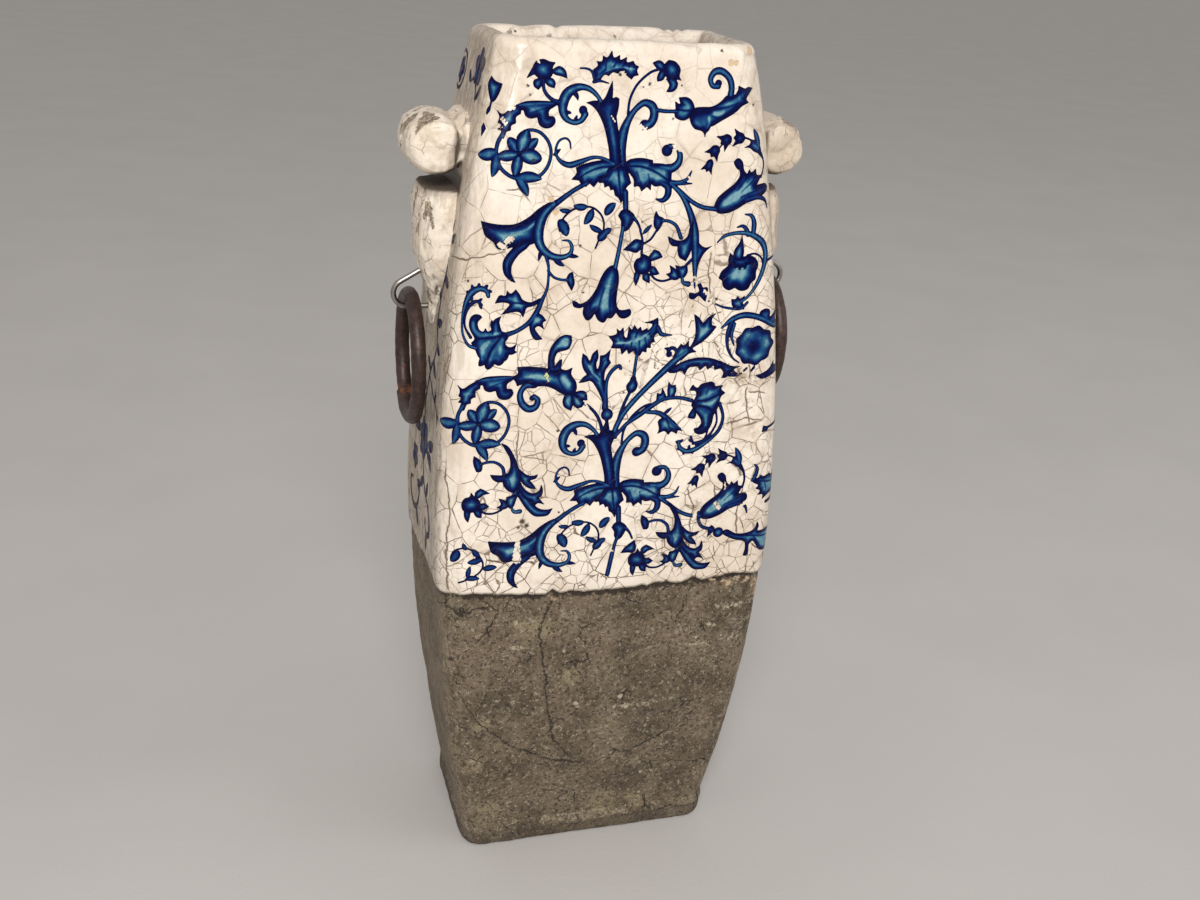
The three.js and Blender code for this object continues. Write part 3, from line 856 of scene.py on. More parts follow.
def glaze_finish(colours):
    finish = Finish("Crackled glaze")
    crackle = Crackle(finish)
    across, along = finish.axis("X"), finish.axis("Z")
    tone = finish.noise(70, 3, shift=7.0)
    colour = finish.mix(finish.step(tone, 0.36, 0.60), (0.775, 0.66, 0.545), colours.cream)
    pale = finish.step(finish.noise(24, 3, shift=9.0), 0.50, 0.72)
    colour = finish.mix(pale * 0.5, colour, (0.88, 0.81, 0.7))
    grime = finish.step(finish.noise(11, 5, 0.68, shift=15.0), 0.47, 0.72)
    colour = finish.mix(grime * 0.5, colour, (0.5, 0.385, 0.275))
    mottle = finish.step(finish.noise(2.6, 4, 0.7, shift=26.0), 0.46, 0.66)
    colour = finish.mix(mottle * 0.22, colour, (0.6, 0.49, 0.39))
    right = finish.step(across, 20, 75) * finish.step(finish.noise(8, 4, 0.66, shift=22.0), 0.46, 0.64)
    colour = finish.mix(right * 0.4, colour, (0.55, 0.435, 0.32))
    dirty = spots(finish, DIRTY, 1.0, finish.noise_shift(9, 6.0)) * finish.step(
        finish.noise(5, 5, 0.72, shift=23.0), 0.42, 0.6)
    colour = finish.mix(dirty * 0.62, colour, (0.47, 0.355, 0.235))
    specks = finish.step(finish.noise(1.1, 2, shift=11.0), 0.62, 0.80)
    colour = finish.mix(specks * 0.15, colour, (0.42, 0.29, 0.19))
    # The turning corners and the narrow sides are painted darker, with upright streaks: partly grime,
    # partly painted shade where the wall turns away from the light
    aside = finish.attribute("aside")
    upright = finish.stretched(finish.place, (1, 1, 0.22))
    streaks = finish.step(finish.noise(4.5, 4, 0.62, shift=20.0, place=upright), 0.44, 0.62)
    band = finish.step(aside, 0.12, 0.5) * streaks
    colour = finish.mix(band * 0.45, colour, (0.5, 0.41, 0.315))
    narrow = finish.step(aside, 0.80, 0.99)
    side = narrow * (streaks * 0.32 + 0.46)
    colour = finish.mix(side, colour, (0.27, 0.21, 0.152))
    lines = finish.step(finish.noise(1.7, 3, 0.7, shift=24.0, place=upright), 0.53, 0.63)
    colour = finish.mix(lines * narrow * 0.55, colour, (0.085, 0.068, 0.06))
    # Painted shadow in the hollow between the roll and the tongue
    hollow = finish.step(abs(along - HOLLOW_HEIGHT), 3.0, 7.0, 1.0, 0.0)
    hollow *= finish.step(abs(finish.axis("Y")), 22, 27, 1.0, 0.0)
    hollow *= narrow
    colour = finish.mix(hollow * 0.92, colour, (0.052, 0.034, 0.024))
    inner = finish.attribute("inner")
    dull = inner * (grime * 0.45 + 0.12)
    colour = finish.mix(dull, colour, (0.43, 0.335, 0.245))
    marks = spots(finish, LIP_MARKS, 0.6, finish.noise_shift(2, 1.6), back=True) * inner
    colour = finish.mix(marks, colour, (0.050, 0.030, 0.020))
    green = spots(finish, GREEN_SPECK, 0.3, finish.noise_shift(1.5, 1.0))
    colour = finish.mix(green, colour, (0.58, 0.62, 0.27))
    colour = finish.mix(crackle.stain * 0.3, colour, (0.42, 0.29, 0.19))
    colour = finish.mix(crackle.spoilt * 0.7, colour, (0.33, 0.235, 0.155))
    colour = finish.mix(crackle.crack * 0.88, colour, colours.crack)
    colour = finish.mix(crackle.pit, colour, (0.06, 0.035, 0.025))
    colour = finish.mix(crackle.chip, colour, (0.64, 0.46, 0.28))
    worn = finish.most(crackle.chip, crackle.crack * 0.6)
    worn = finish.most(worn, crackle.spoilt, narrow * 0.4)
    rough = finish.noise(18, 2, shift=12.0) * 0.2 + 0.14
    rough = finish.math("MULTIPLY_ADD", worn, 0.4, rough, clamp=True)
    height = band * narrow * -0.25 + crackle.height(finish)
    return finish.done(colour, rough, height, 0.8)


def ink_finish(name, roughness, worn_and_shaded):
    finish = Finish(name)
    finish.shader.inputs["Specular IOR Level"].default_value = 0.10
    crackle = Crackle(finish)
    ink = finish.attribute("ink")
    wash = finish.noise(3.2, 3, 0.6, shift=16.0) * 1.1 - 0.55
    grain = finish.noise(0.8, 2, shift=13.0) * 0.24 - 0.12
    grain = (wash + grain) * (ink * 0.6 + 0.12)
    # On the narrow sides the ink is darkened and streaked brown: partly wear and grime, partly painted
    # shade
    colour = finish.ramp(finish.math("ADD", ink, grain, clamp=True) * (1 - 0.6 * worn_and_shaded), INK_STOPS)
    upright = finish.stretched(finish.place, (1, 1, 0.22))
    streaks = finish.step(finish.noise(2.2, 4, 0.7, shift=25.0, place=upright), 0.44, 0.60)
    colour = finish.mix(streaks * worn_and_shaded, colour, (0.2, 0.165, 0.135))
    colour = finish.mix(crackle.crack * 0.3, colour, (0.02, 0.02, 0.035))
    colour = finish.mix(crackle.pit, colour, (0.05, 0.035, 0.03))
    colour = finish.mix(crackle.spoilt * 0.75, colour, (0.26, 0.2, 0.15))
    colour = finish.mix(crackle.chip, colour, (0.56, 0.45, 0.33))
    worn = finish.step(finish.noise(3.0, 4, 0.7, shift=17.0), 0.69, 0.76)
    colour = finish.mix(worn * 0.4, colour, (0.28, 0.3, 0.34))
    rough = finish.noise(18, 2, shift=12.0) * 0.16 + roughness
    rough = finish.math("MULTIPLY_ADD", finish.most(crackle.chip, crackle.spoilt), 0.4, rough, clamp=True)
    return finish.done(colour, rough, crackle.height(finish), 0.8)


def front_only(finish):
    return finish.step(finish.axis("Y"), -20, -30)


def spots(finish, places, soft, shake, back=False):
    """Mask of marks on the front, or on the back, each with its x, height and radius."""
    flat = finish.stretched(shake, (1, 0, 1))
    found = 0.0
    for x, z, radius in places:
        distance = finish.vector("DISTANCE", flat, (x, 0, z), "Value")
        found = finish.most(found, finish.step(distance, radius * (1 - soft), radius, 1.0, 0.0))
    return found * (finish.step(finish.axis("Y"), 20, 30) if back else front_only(finish))


def handle_finish(colours):
    finish = Finish("Worn handle glaze")
    place = finish.noise_shift(5, 1.0)
    long_way = finish.stretched(finish.place, (1, 1, 0.3))
    worn = finish.attribute("worn")
    edge = finish.noise(2.4, 5, 0.7, shift=2.0) - 0.5
    bare = finish.step(edge * 2.2 + worn, 0.5, 0.58)
    tone = finish.noise(16, 3, shift=3.0)
    colour = finish.mix(finish.step(tone, 0.35, 0.65), (0.72, 0.60, 0.475), (0.86, 0.765, 0.645))
    grime = finish.step(finish.noise(6.5, 5, 0.68, shift=5.0), 0.52, 0.72)
    colour = finish.mix(grime * 0.42, colour, (0.42, 0.33, 0.24))
    streaks = finish.step(finish.noise(2.2, 3, 0.6, shift=8.0, place=long_way), 0.55, 0.70)
    colour = finish.mix(streaks * 0.35, colour, (0.4, 0.3, 0.21))
    # Dirt and painted shade in the creases and furrows, under the roll and on the tongue's top below it
    dirt_and_shade = finish.attribute("dirt_and_shade")
    colour = finish.mix(dirt_and_shade * 0.93, colour, (0.05, 0.032, 0.021))
    crack = finish.cells(10, place) * 10
    crack = finish.step(crack, 0.03, 0.20, 1.0, 0.0)
    crack *= finish.step(finish.noise(12, 1, shift=4.0), 0.44, 0.58)
    colour = finish.mix(crack * 0.8, colour, colours.crack)
    clay = finish.step(finish.noise(1.5, 4, 0.7, shift=6.0), 0.42, 0.60)
    clay = finish.mix(clay, (0.125, 0.092, 0.058), (0.43, 0.345, 0.245))
    colour = finish.mix(bare * 0.92, colour, clay)
    shaded = grime * 0.3 + 0.3
    shaded *= finish.step(finish.axis("X"), 70, 74)
    colour = finish.mix(shaded, colour, (0.36, 0.26, 0.18))
    rust = spots(finish, RUST_SPOTS, 0.6, finish.noise_shift(2, 1.4))
    colour = finish.mix(rust * 0.8, colour, (0.46, 0.2, 0.075))
    rough = tone * 0.25 + 0.24
    rough = finish.math("MULTIPLY_ADD", finish.most(bare, dirt_and_shade), 0.45, rough, clamp=True)
    height = finish.noise(3.2, 4, 0.6, shift=7.0) * 0.8
    height -= streaks * 0.18
    height -= bare * 0.35
    height -= crack * 0.18
    height += bare * finish.noise(1.1, 3) * 0.9
    return finish.done(colour, rough, height, 1.0)


# Cracks in the bare clay of the front. Up the wall: heights with their x. Across: x with its height.
UPRIGHT_CRACKS = [
    [(57, -12), (72, -25), (95, -30), (118, -33), (148, -38), (168, -31)],
    [(140, 38), (170, 48)],
    [(15, -19), (25, -20)],
]
LYING_CRACKS = [
    [(-82, 115), (-70, 92), (-50, 72), (-25, 58), (-5, 53)],
    [(9, 60), (20, 57), (43, 70), (48, 92)],
    [(12, 120), (18, 113)],
    [(-25, 123), (-18, 126), (-11, 112)],
]
# Pale and dark spots on the bare clay of the front: x, height and radius
PALE_SPOTS = [
    (12, 98, 1.9), (16, 90, 1.7), (9, 91, 1.4), (-14, 97, 1.6), (-13, 94, 1.0), (-23, 133, 1.3),
    (30, 40, 1.3), (-51, 154, 1.4), (60, 141, 1.6), (63, 140, 1.3), (75, 152, 1.6), (31, 24, 1.2),
    (53, 133, 1.2), (70, 151, 1.2)]
STAINS = [
    (-40, 147, 13), (-60, 25, 12), (-72, 62, 11), (-20, 116, 12), (-48, 152, 9), (8, 20, 18), (30, 20, 12),
    (-66, 90, 9)]
# Pale streaks across the clay: x with its height
STREAKS = [
    [(56, 151), (66, 152), (76, 153), (90, 152)], [(46, 129), (56, 128), (70, 131), (84, 130)],
    [(72, 141), (80, 140), (88, 142)], [(10, 92), (26, 91), (46, 93)], [(-60, 136), (-50, 138), (-42, 137)],
    [(-12, 10.5), (6, 10), (26, 11)],
]
# Remains of slip under the glaze edge
SLIP_SPOTS = [
    (67, 167.6, 3.2), (73, 168, 3.4), (79, 167, 3.0), (86, 164, 3.6), (87, 158, 2.6), (60, 169, 2.0),
    (-31, 166, 2.2)]


def clay_finish(colours, name, dark_below=None):
    """Gritty unglazed clay. Below a height in millimetres it can be painted darker with shade, as on the
    set-back foot band.
    """
    finish = Finish(name)
    shaken = finish.noise_shift(3.5, 1.6)
    across, along = finish.axis("X"), finish.axis("Z")
    blotch = finish.noise(30, 5, 0.65, shift=1.0)
    colour = finish.mix(finish.step(blotch, 0.38, 0.60), (0.115, 0.083, 0.052), colours.clay)
    olive = finish.step(finish.noise(17, 4, 0.62, shift=10.0), 0.50, 0.68)
    colour = finish.mix(olive * 0.45, colour, (0.27, 0.225, 0.13))
    pale = finish.step(finish.noise(8, 5, 0.72, shift=2.0), 0.50, 0.66)
    colour = finish.mix(pale * 0.5, colour, (0.33, 0.265, 0.185))
    stains = spots(finish, STAINS, 1.0, shaken) * finish.step(
        finish.noise(5, 4, 0.7, shift=17.0), 0.36, 0.6)
    colour = finish.mix(stains * 0.9, colour, (0.4, 0.325, 0.19))
    grit = finish.noise(1.9, 3, 0.8, shift=3.0)
    colour = finish.mix(finish.step(grit, 0.54, 0.64) * 0.9, colour, (0.44, 0.37, 0.275))
    dark = finish.step(finish.noise(1.6, 3, 0.8, shift=4.0), 0.53, 0.62)
    colour = finish.mix(dark * 0.85, colour, (0.043, 0.03, 0.02))
    crumbs = finish.step(finish.noise(2.8, 3, 0.75, shift=11.0), 0.66, 0.71)
    colour = finish.mix(crumbs, colour, (0.58, 0.50, 0.385))
    jagged = (finish.noise(4, 5, 0.75, shift=5.0) - 0.5) * 10.0
    broken = finish.step(finish.noise(5, 3, shift=12.0), 0.34, 0.46)
    cracks = 0.0
    for places in UPRIGHT_CRACKS:
        cracks = finish.most(cracks, finish.line(across, along, places, 0.16, 0.55, jagged))
    for places in LYING_CRACKS:
        cracks = finish.most(cracks, finish.line(along, across, places, 0.16, 0.55, jagged))
    cracks = cracks * front_only(finish) * broken
    web = finish.cells(30, finish.noise_shift(7, 4.5, detail=4.0)) * 30
    web = finish.step(web, 0.10, 0.60, 1.0, 0.0)
    web *= finish.step(finish.noise(22, 3, shift=6.0), 0.5, 0.62)
    cracks = finish.most(cracks, web * broken)
    colour = finish.mix(cracks * 0.9, colour, (0.028, 0.019, 0.013))
    flaky = finish.step(finish.noise(2.2, 4, 0.75, shift=16.0), 0.50, 0.58)
    streaks = 0.0
    for places in STREAKS:
        streaks = finish.most(streaks, finish.line(along, across, places, 0.6, 1.4, jagged))
    streaks = streaks * front_only(finish) * flaky
    colour = finish.mix(streaks * 0.85, colour, (0.56, 0.47, 0.34))
    marks = spots(finish, PALE_SPOTS, 0.5, finish.noise_shift(1.5, 1.3))
    colour = finish.mix(marks * 0.85, colour, (0.6, 0.53, 0.38))
    if dark_below:
        # Painted shade on the set-back band below the height, with flaky paler patches above it
        ragged = (finish.noise(4, 3, shift=13.0) - 0.5) * 4.0
        lower = finish.step(along + ragged, dark_below - 1.5, dark_below + 1.5, 1.0, 0.0)
        colour = finish.mix(lower * 0.45, colour, (0.065, 0.048, 0.033))
        rim = (1.0 - lower) * flaky
        rim *= finish.step(finish.noise(45, 1, shift=14.0), 0.44, 0.56)
        colour = finish.mix(rim * 0.6, colour, (0.44, 0.37, 0.27))
    else:
        # Dark ragged band just below the glaze edge: partly dark clay, partly painted shadow under the step
        # of the glaze
        gap = finish.attribute("edge_gap")
        ragged = (finish.noise(3.0, 5, 0.75, shift=13.0) - 0.5) * 12.0
        near = finish.step(gap + ragged, -3.6, -2.2)
        colour = finish.mix(near * 0.9, colour, (0.028, 0.018, 0.012))
        aside = finish.attribute("aside")
        upright = finish.stretched(finish.place, (1, 1, 0.15))
        scuffs = finish.step(finish.noise(3.4, 4, 0.7, shift=18.0, place=upright), 0.50, 0.62)
        flank = finish.step(aside, 0.75, 0.98) * finish.step(pale, 0.0, 0.6, 0.3, 0.6)
        colour = finish.mix(flank, colour, (0.33, 0.265, 0.195))
        corner = finish.step(aside, 0.1, 0.4) * finish.step(aside, 0.99, 0.8)
        colour = finish.mix(corner * scuffs * 0.5, colour, (0.42, 0.355, 0.25))
        left_over = spots(
            finish, SLIP_SPOTS, 0.5,
            finish.noise_shift(4, 4.0)) * finish.step(finish.noise(4, 4, 0.7, shift=21.0), 0.38, 0.48)
        slip = finish.mix(
            finish.step(finish.noise(3, 3, shift=15.0), 0.42, 0.58), (0.38, 0.20, 0.10), (0.70, 0.56, 0.39))
        colour = finish.mix(left_over, colour, slip)
    height = finish.noise(4.2, 6, 0.75, shift=9.0) * 2.8
    height += grit * 1.5
    height -= dark * 0.45
    height -= cracks * 1.2
    rough = pale * -0.08 + 0.95
    return finish.done(colour, rough, height, 1.0)


def steel_finish(colours):
    finish = Finish("Steel wire")
    drawn = finish.noise(0.5, 2, place=finish.stretched(finish.place, (0.15, 1, 0.6)))
    dull = finish.step(finish.noise(3, 3), 0.50, 0.72)
    colour = finish.mix(dull * 0.55, colours.steel, (0.17, 0.13, 0.1))
    rough = drawn * 0.16 + 0.22
    rough += dull * 0.25
    return finish.done(colour, rough, drawn, 0.05, metallic=1.0)


def iron_finish(colours, rust_heights):
    """Forged iron with rust between two heights in millimetres, on the rod's far strand."""
    low, high = rust_heights
    name = f"Forged iron {low:.0f}"
    finish = Finish(name)
    mottle = finish.noise(4.5, 4, 0.6)
    colour = finish.mix(finish.step(mottle, 0.38, 0.66), (0.030, 0.016, 0.013), colours.iron)
    scale = finish.step(finish.noise(1.3, 3, 0.65, shift=1.0), 0.56, 0.70)
    colour = finish.mix(scale * 0.55, colour, (0.13, 0.075, 0.055))
    up = finish.axis("Z")
    band = finish.step(up, low, low + 1.5) * finish.step(up, high - 2, high, 1.0, 0.0)
    far = finish.step(finish.axis("Y"), 8, 12)
    ragged = finish.step(finish.noise(2.4, 3, 0.6, shift=2.0), 0.42, 0.54)
    rust = band * far * ragged
    spread = finish.step(finish.noise(9, 3, shift=3.0), 0.62, 0.76) * 0.25
    rust = finish.most(rust, spread)
    colour = finish.mix(rust * 0.85, colour, (0.26, 0.068, 0.02))
    height = mottle * 0.3 + scale * 0.12
    rough = finish.most(scale, rust) * 0.25 + 0.42
    return finish.done(colour, rough, height, 0.8, metallic=0.25)


# Geometry Nodes

class Rule(NodeMaker):
    """A Geometry Nodes tree that makes pieces by a rule, with named sizes."""

    def __init__(self, name):
        super().__init__(bpy.data.node_groups.new(name, "GeometryNodeTree"))
        self.tree.interface.new_socket("Geometry", in_out="OUTPUT", socket_type="NodeSocketGeometry")
        self.sizes = self.tree.nodes.new("NodeGroupInput")

    def size(self, name, value, kind="Float"):
        """Adds a named input and returns its value."""
        socket = self.tree.interface.new_socket(name, in_out="INPUT", socket_type=f"NodeSocket{kind}")
        socket.default_value = value
        return Value(self, self.sizes.outputs[name])

    def vector(self, x, y, z):
        return self.node("ShaderNodeCombineXYZ", {"X": x, "Y": y, "Z": z})

    def moved(self, geometry, offset):
        return self.node("GeometryNodeSetPosition", {"Geometry": geometry, "Offset": offset})

    def bent(self, curve, place):
        return self.node("GeometryNodeSetPosition", {"Geometry": curve, "Position": place})

    def rod(self, curve, radius, sides, **settings):
        """Round rod along a curve."""
        profile = self.node("GeometryNodeCurvePrimitiveCircle", {"Resolution": sides, "Radius": radius})
        return self.node(
            "GeometryNodeCurveToMesh", {"Curve": curve, "Profile Curve": profile, **settings})

    def end(self, geometry, material):
        whole = self.node("GeometryNodeRealizeInstances", {"Geometry": geometry})
        coated = self.node("GeometryNodeSetMaterial", {"Geometry": whole, "Material": material})
        self.link(coated, self.tree.nodes.new("NodeGroupOutput").inputs[0])

    def made(self, name, values):
        """Plain mesh object of the rule's result for the given sizes, by their names."""
        holder = new_object(name, bpy.data.meshes.new(name))
        modifier = holder.modifiers.new("rule", "NODES")
        modifier.node_group = self.tree
        for item in self.tree.interface.items_tree:
            if item.in_out == "INPUT" and item.name in values:
                modifier[item.identifier] = values[item.name]
        bpy.context.view_layer.update()
        mesh = plain_copy(holder, name)
        holder.modifiers.remove(modifier)
        holder.data = mesh
        mesh.name = name
        mesh.shade_smooth()
        return holder


def axis_of(joint_name):
    """Place of a joint's axis."""
    found = next(joint for joint in frame["joints"] if joint["name"] == joint_name)
    return Vector(found["pos_m"])


def ring_rule(material, name):
    """Oval ring hung from its top, of a hand-forged rod with a welded step in one strand."""
    rule = Rule(name)
    place = rule.size("Axis", (0, 0, 0), "Vector")
    tall = rule.size("Half height", 0.032)
    wide = rule.size("Half width", 0.028)
    rod = rule.size("Rod radius", 0.0039)
    weld = rule.size("Weld turn", 2.5)
    circle = rule.node("GeometryNodeCurvePrimitiveCircle", {"Resolution": 180, "Radius": 1.0})
    turn = rule.node("GeometryNodeSplineParameter", output="Factor") * (2 * math.pi)
    across = rule.math("SINE", turn) * wide
    up = (rule.math("COSINE", turn) - 1.0) * tall
    place_on_oval = rule.vector(0.0, across, up)
    oval = rule.bent(circle, place_on_oval)
    past_weld = rule.least(rule.most((turn - weld) * 30.0, 0.0), 1.0)
    before_end = rule.least(rule.most(3.9 - turn, 0.0), 1.0)
    uneven = rule.node("ShaderNodeTexNoise", {"Vector": place_on_oval, "Scale": 60.0, "Detail": 1.0}, "Fac")
    thickness = past_weld * before_end * 0.24 + (uneven * 0.10 + 0.93)
    strand = rule.rod(oval, rod, 24, Scale=thickness)
    here = rule.node("GeometryNodeInputPosition")
    hammered = rule.node("ShaderNodeTexNoise", {"Vector": here, "Scale": 210.0, "Detail": 2.0}, "Fac")
    outwards = rule.node("GeometryNodeInputNormal")
    dents = rule.node(
        "ShaderNodeVectorMath", {0: outwards, "Scale": (hammered - 0.56) * 0.0006}, operation="SCALE")
    rule.end(rule.moved(rule.moved(strand, dents), place), material)
    return rule


def staple_rule(material):
    """Wire bent round the ring: out along the lower leg, round the bend, and up along the other."""
    rule = Rule("Wire staple")
    place = rule.size("Start", (0, 0, 0), "Vector")
    side = rule.size("Side", 1.0)
    leg = rule.size("Lower leg", 0.02)
    radius = rule.size("Bend radius", 0.007)
    sweep = rule.size("Bend", math.radians(150))
    upper = rule.size("Upper leg", 0.017)
    wire = rule.size("Wire radius", 0.0014)
    bend = radius * sweep
    whole = leg + bend + upper
    line = rule.node("GeometryNodeMeshLine", {"Count": 140})
    curve = rule.node("GeometryNodeMeshToCurve", {"Mesh": line})
    run = rule.node("GeometryNodeSplineParameter", output="Factor") * whole
    bent = rule.most(run - leg, 0.0)
    turned = rule.least(bent / radius, sweep)
    beyond = rule.most(bent - bend, 0.0)
    out = rule.least(run, leg) + rule.math("SINE", turned) * radius + beyond * rule.math("COSINE", sweep)
    up = (1.0 - rule.math("COSINE", turned)) * radius + beyond * rule.math("SINE", sweep)
    path = rule.bent(curve, rule.vector(out * side, 0.0, up))
    strand = rule.rod(path, wire, 20, **{"Fill Caps": True})
    rule.end(rule.moved(strand, place), material)
    return rule


# Blue pattern, drawn in millimetres on the unrolled faces

# Length of the pieces that a smooth curve is cut into
LINE_STEP = 0.7


def smooth_line(points, closed=False):
    """Points along a smooth curve. A point with a third value is a sharp corner."""
    count = len(points)
    flat = np.array([point[:2] for point in points], float)
    sharp = [len(point) > 2 for point in points]
    spans = count if closed else count - 1
    found = []
    for k in range(spans):
        here, after = flat[k], flat[(k + 1) % count]
        chord = after - here
        leave = arrive = chord
        if (closed or k > 0) and not sharp[k]:
            leave = (after - flat[k - 1]) / 2
        if (closed or k < spans - 1) and not sharp[(k + 1) % count]:
            arrive = (flat[(k + 2) % count] - here) / 2
        pieces = max(2, int(math.hypot(*chord) / LINE_STEP))
        t = (np.arange(pieces) / pieces)[:, None]
        found.append(
            (2 * t ** 3 - 3 * t ** 2 + 1) * here + (t ** 3 - 2 * t ** 2 + t) * leave
            + (3 * t ** 2 - 2 * t ** 3) * after + (t ** 3 - t ** 2) * arrive)
    if not closed:
        found.append(flat[-1:])
    return np.concatenate(found)


class InkSheet:
    """Ink on an unrolled face, in small squares. Depth is how far a square's corner lies inside
    the ink, below zero outside it. Shade runs from 0, the dark edge, to 1, the pale middle."""

    BOLD = 0.1
    SOFTER = 1.4

    def __init__(self, low, high, square, unroll=None, mirror=1):
        self.low = np.array(low, float)
        self.square = square
        self.size = tuple(int((b - a) / square) + 1 for a, b in zip(low, high))
        self.depth = np.full(self.size, -9.0)
        self.shades = np.zeros(self.size)
        self.unroll = unroll
        self.mirror = mirror
        self.move()

    def move(self, across=0.0, along=0.0, scale=1.0):
        """Moves and scales what is drawn next."""
        self.scale = scale
        self.shift = np.array([across, along])

    def line(self, points, closed=False):
        if len(points) > 1:
            points = smooth_line(points, closed)
        line = np.array(points, float) * self.scale + self.shift
        if self.unroll:
            line[:, 0] = self.unroll(line)
        return line * np.array([self.mirror, 1])

    def window(self, line, reach):
        """Part of the sheet near a line, with its places across and along."""
        low = np.floor((line.min(axis=0) - reach - self.low) / self.square).astype(int)
        high = np.ceil((line.max(axis=0) + reach - self.low) / self.square).astype(int) + 1
        low = np.clip(low, 0, self.size)
        high = np.clip(high, 0, self.size)
        sides = [self.low[k] + np.arange(low[k], high[k]) * self.square for k in (0, 1)]
        return (slice(low[0], high[0]), slice(low[1], high[1])), np.meshgrid(*sides, indexing="ij")

    def put(self, place, depth, shade, over):
        depth = depth + self.BOLD
        inside = depth > 0
        old = self.shades[place]
        if not over:
            shade = np.where(self.depth[place] > 0, np.maximum(old, shade), shade)
        self.shades[place] = np.where(inside, shade, old)
        self.depth[place] = np.maximum(self.depth[place], depth)

    def near(self, line, half, across, along):
        """For each stretch of a line: how far each place is from it, and its half width there."""
        for k in range(len(line) - 1):
            way = line[k + 1] - line[k]
            off_x, off_z = across - line[k][0], along - line[k][1]
            at = np.clip((off_x * way[0] + off_z * way[1]) / max(way @ way, 1e-9), 0, 1)
            width = half[k] + (half[k + 1] - half[k]) * at
            yield np.hypot(off_x - at * way[0], off_z - at * way[1]), width

    def spread(self, line, widths):
        share = np.concatenate([[0], np.cumsum(np.hypot(*np.diff(line, axis=0).T))])
        widths = np.atleast_1d(np.asarray(widths, float))
        return np.interp(share / max(share[-1], 1e-9), np.linspace(0, 1, len(widths)), widths)

    def stroke(self, points, widths, tone=0.55, over=False):
        """Brush stroke. Its half width runs evenly through the widths."""
        line = self.line(points)
        half = self.spread(line, widths)
        place, (across, along) = self.window(line, half.max() + 1)
        depth = np.full(across.shape, -9.0)
        local = np.ones(across.shape)
        for off, width in self.near(line, half, across, along):
            local = np.where(width - off > depth, width, local)
            depth = np.maximum(depth, width - off)
        shade = tone * np.clip(depth / np.clip(local, 0.5, 2.6), 0, 1) ** 1.15
        self.put(place, depth, shade, over)

    def shape(self, points, tone=0.8, soft=2.6, over=False, glow=None):
        """Filled outline with a dark edge. Glow is where it is palest: x, height and reach."""
        line = self.line(points, closed=True)
        place, (across, along) = self.window(line, 1)
        inside = np.zeros(across.shape, bool)
        nearest = np.full(across.shape, 9.0)
        around = np.concatenate([line, line[:1]])
        for off, _ in self.near(around, np.zeros(len(around)), across, along):
            nearest = np.minimum(nearest, off)
        for a, b in zip(around, around[1:]):
            if a[1] != b[1]:
                crosses = (a[1] > along) != (b[1] > along)
                inside ^= crosses & (across < (b[0] - a[0]) * (along - a[1]) / (b[1] - a[1]) + a[0])
        depth = np.where(inside, nearest, -nearest)
        shade = np.clip(depth / (soft * self.SOFTER), 0, 1)
        shade = tone * shade * shade * (3 - 2 * shade) ** 0.6
        if glow:
            x, z = np.array(glow[:2]) * self.scale + self.shift
            off = np.hypot(across - self.mirror * x, along - z)
            shade = shade * (0.45 + 0.75 * np.exp(-(off / glow[2]) ** 2))
        self.put(place, depth, shade, over)

    def tint(self, points, widths, strength):
        """Pale line on what is already drawn, or a dark one where the strength is below zero."""
        line = self.line(points)
        half = np.maximum(self.spread(line, widths), 0.15)
        place, (across, along) = self.window(line, 3 * half.max() + 1)
        mark = np.zeros(across.shape)
        for off, width in self.near(line, half, across, along):
            mark = np.maximum(mark, np.exp(-(off / width) ** 2))
        if strength < 0:
            self.shades[place] *= 1 + strength * mark
        else:
            self.shades[place] += strength * mark * (self.depth[place] > 0.5)

    def shade(self, points, widths, strength=0.8):
        """Vein or fold on what is already drawn."""
        self.tint(points, widths, -strength)

    def chip(self, points, widths, rough=0.35):
        """Takes the ink off along a line, with a ragged edge."""
        line = self.line(points)
        half = self.spread(line, widths)
        place, (across, along) = self.window(line, half.max() + 1)
        gap = np.full(across.shape, -9.0)
        for point, width in zip(line, half):
            gap = np.maximum(gap, width - np.hypot(across - point[0], along - point[1]))
        gap += rough * np.sin(across * 3.1 + 1) * np.sin(along * 2.7 + 2)
        self.depth[place] = np.minimum(self.depth[place], -gap)

    def leaf(self, base, tip, half, bend=0.0, tone=0.7, vein=0.0, over=False, full=0.45):
        """Pointed leaf from its base to its tip. Bend throws it to the left of the way it grows."""
        base, tip = np.array(base, float), np.array(tip, float)
        way = tip - base
        t = np.linspace(0, 1, 15)[:, None]
        spine = base + way * t + np.array([-way[1], way[0]]) * bend * 4 * t * (1 - t)
        swell = np.sin(math.pi * t[:, 0] ** (math.log(0.5) / math.log(full))) ** 0.85
        self.stroke(spine.tolist(), half * swell, tone, over)
        if vein:
            self.shade(spine[1:-2].tolist(), (0.5, 0.2), vein)

    def ball(self, x, z, radius, tone=0.6, over=False):
        self.stroke([(x, z), (x + 0.01, z)], radius, tone, over)

    def flower(self, x, z, reach, petals, turn=0.0):
        """Petals round a heart, the first one at a turn in degrees."""
        for k in range(petals):
            angle = math.radians(turn + 360 * k / petals)
            tip = (x + reach * math.cos(angle), z + reach * math.sin(angle))
            self.leaf((x, z), tip, reach * 0.43, tone=0.85, over=True, full=0.54)
        self.ball(x, z, reach * 0.2, 0.25, over=True)

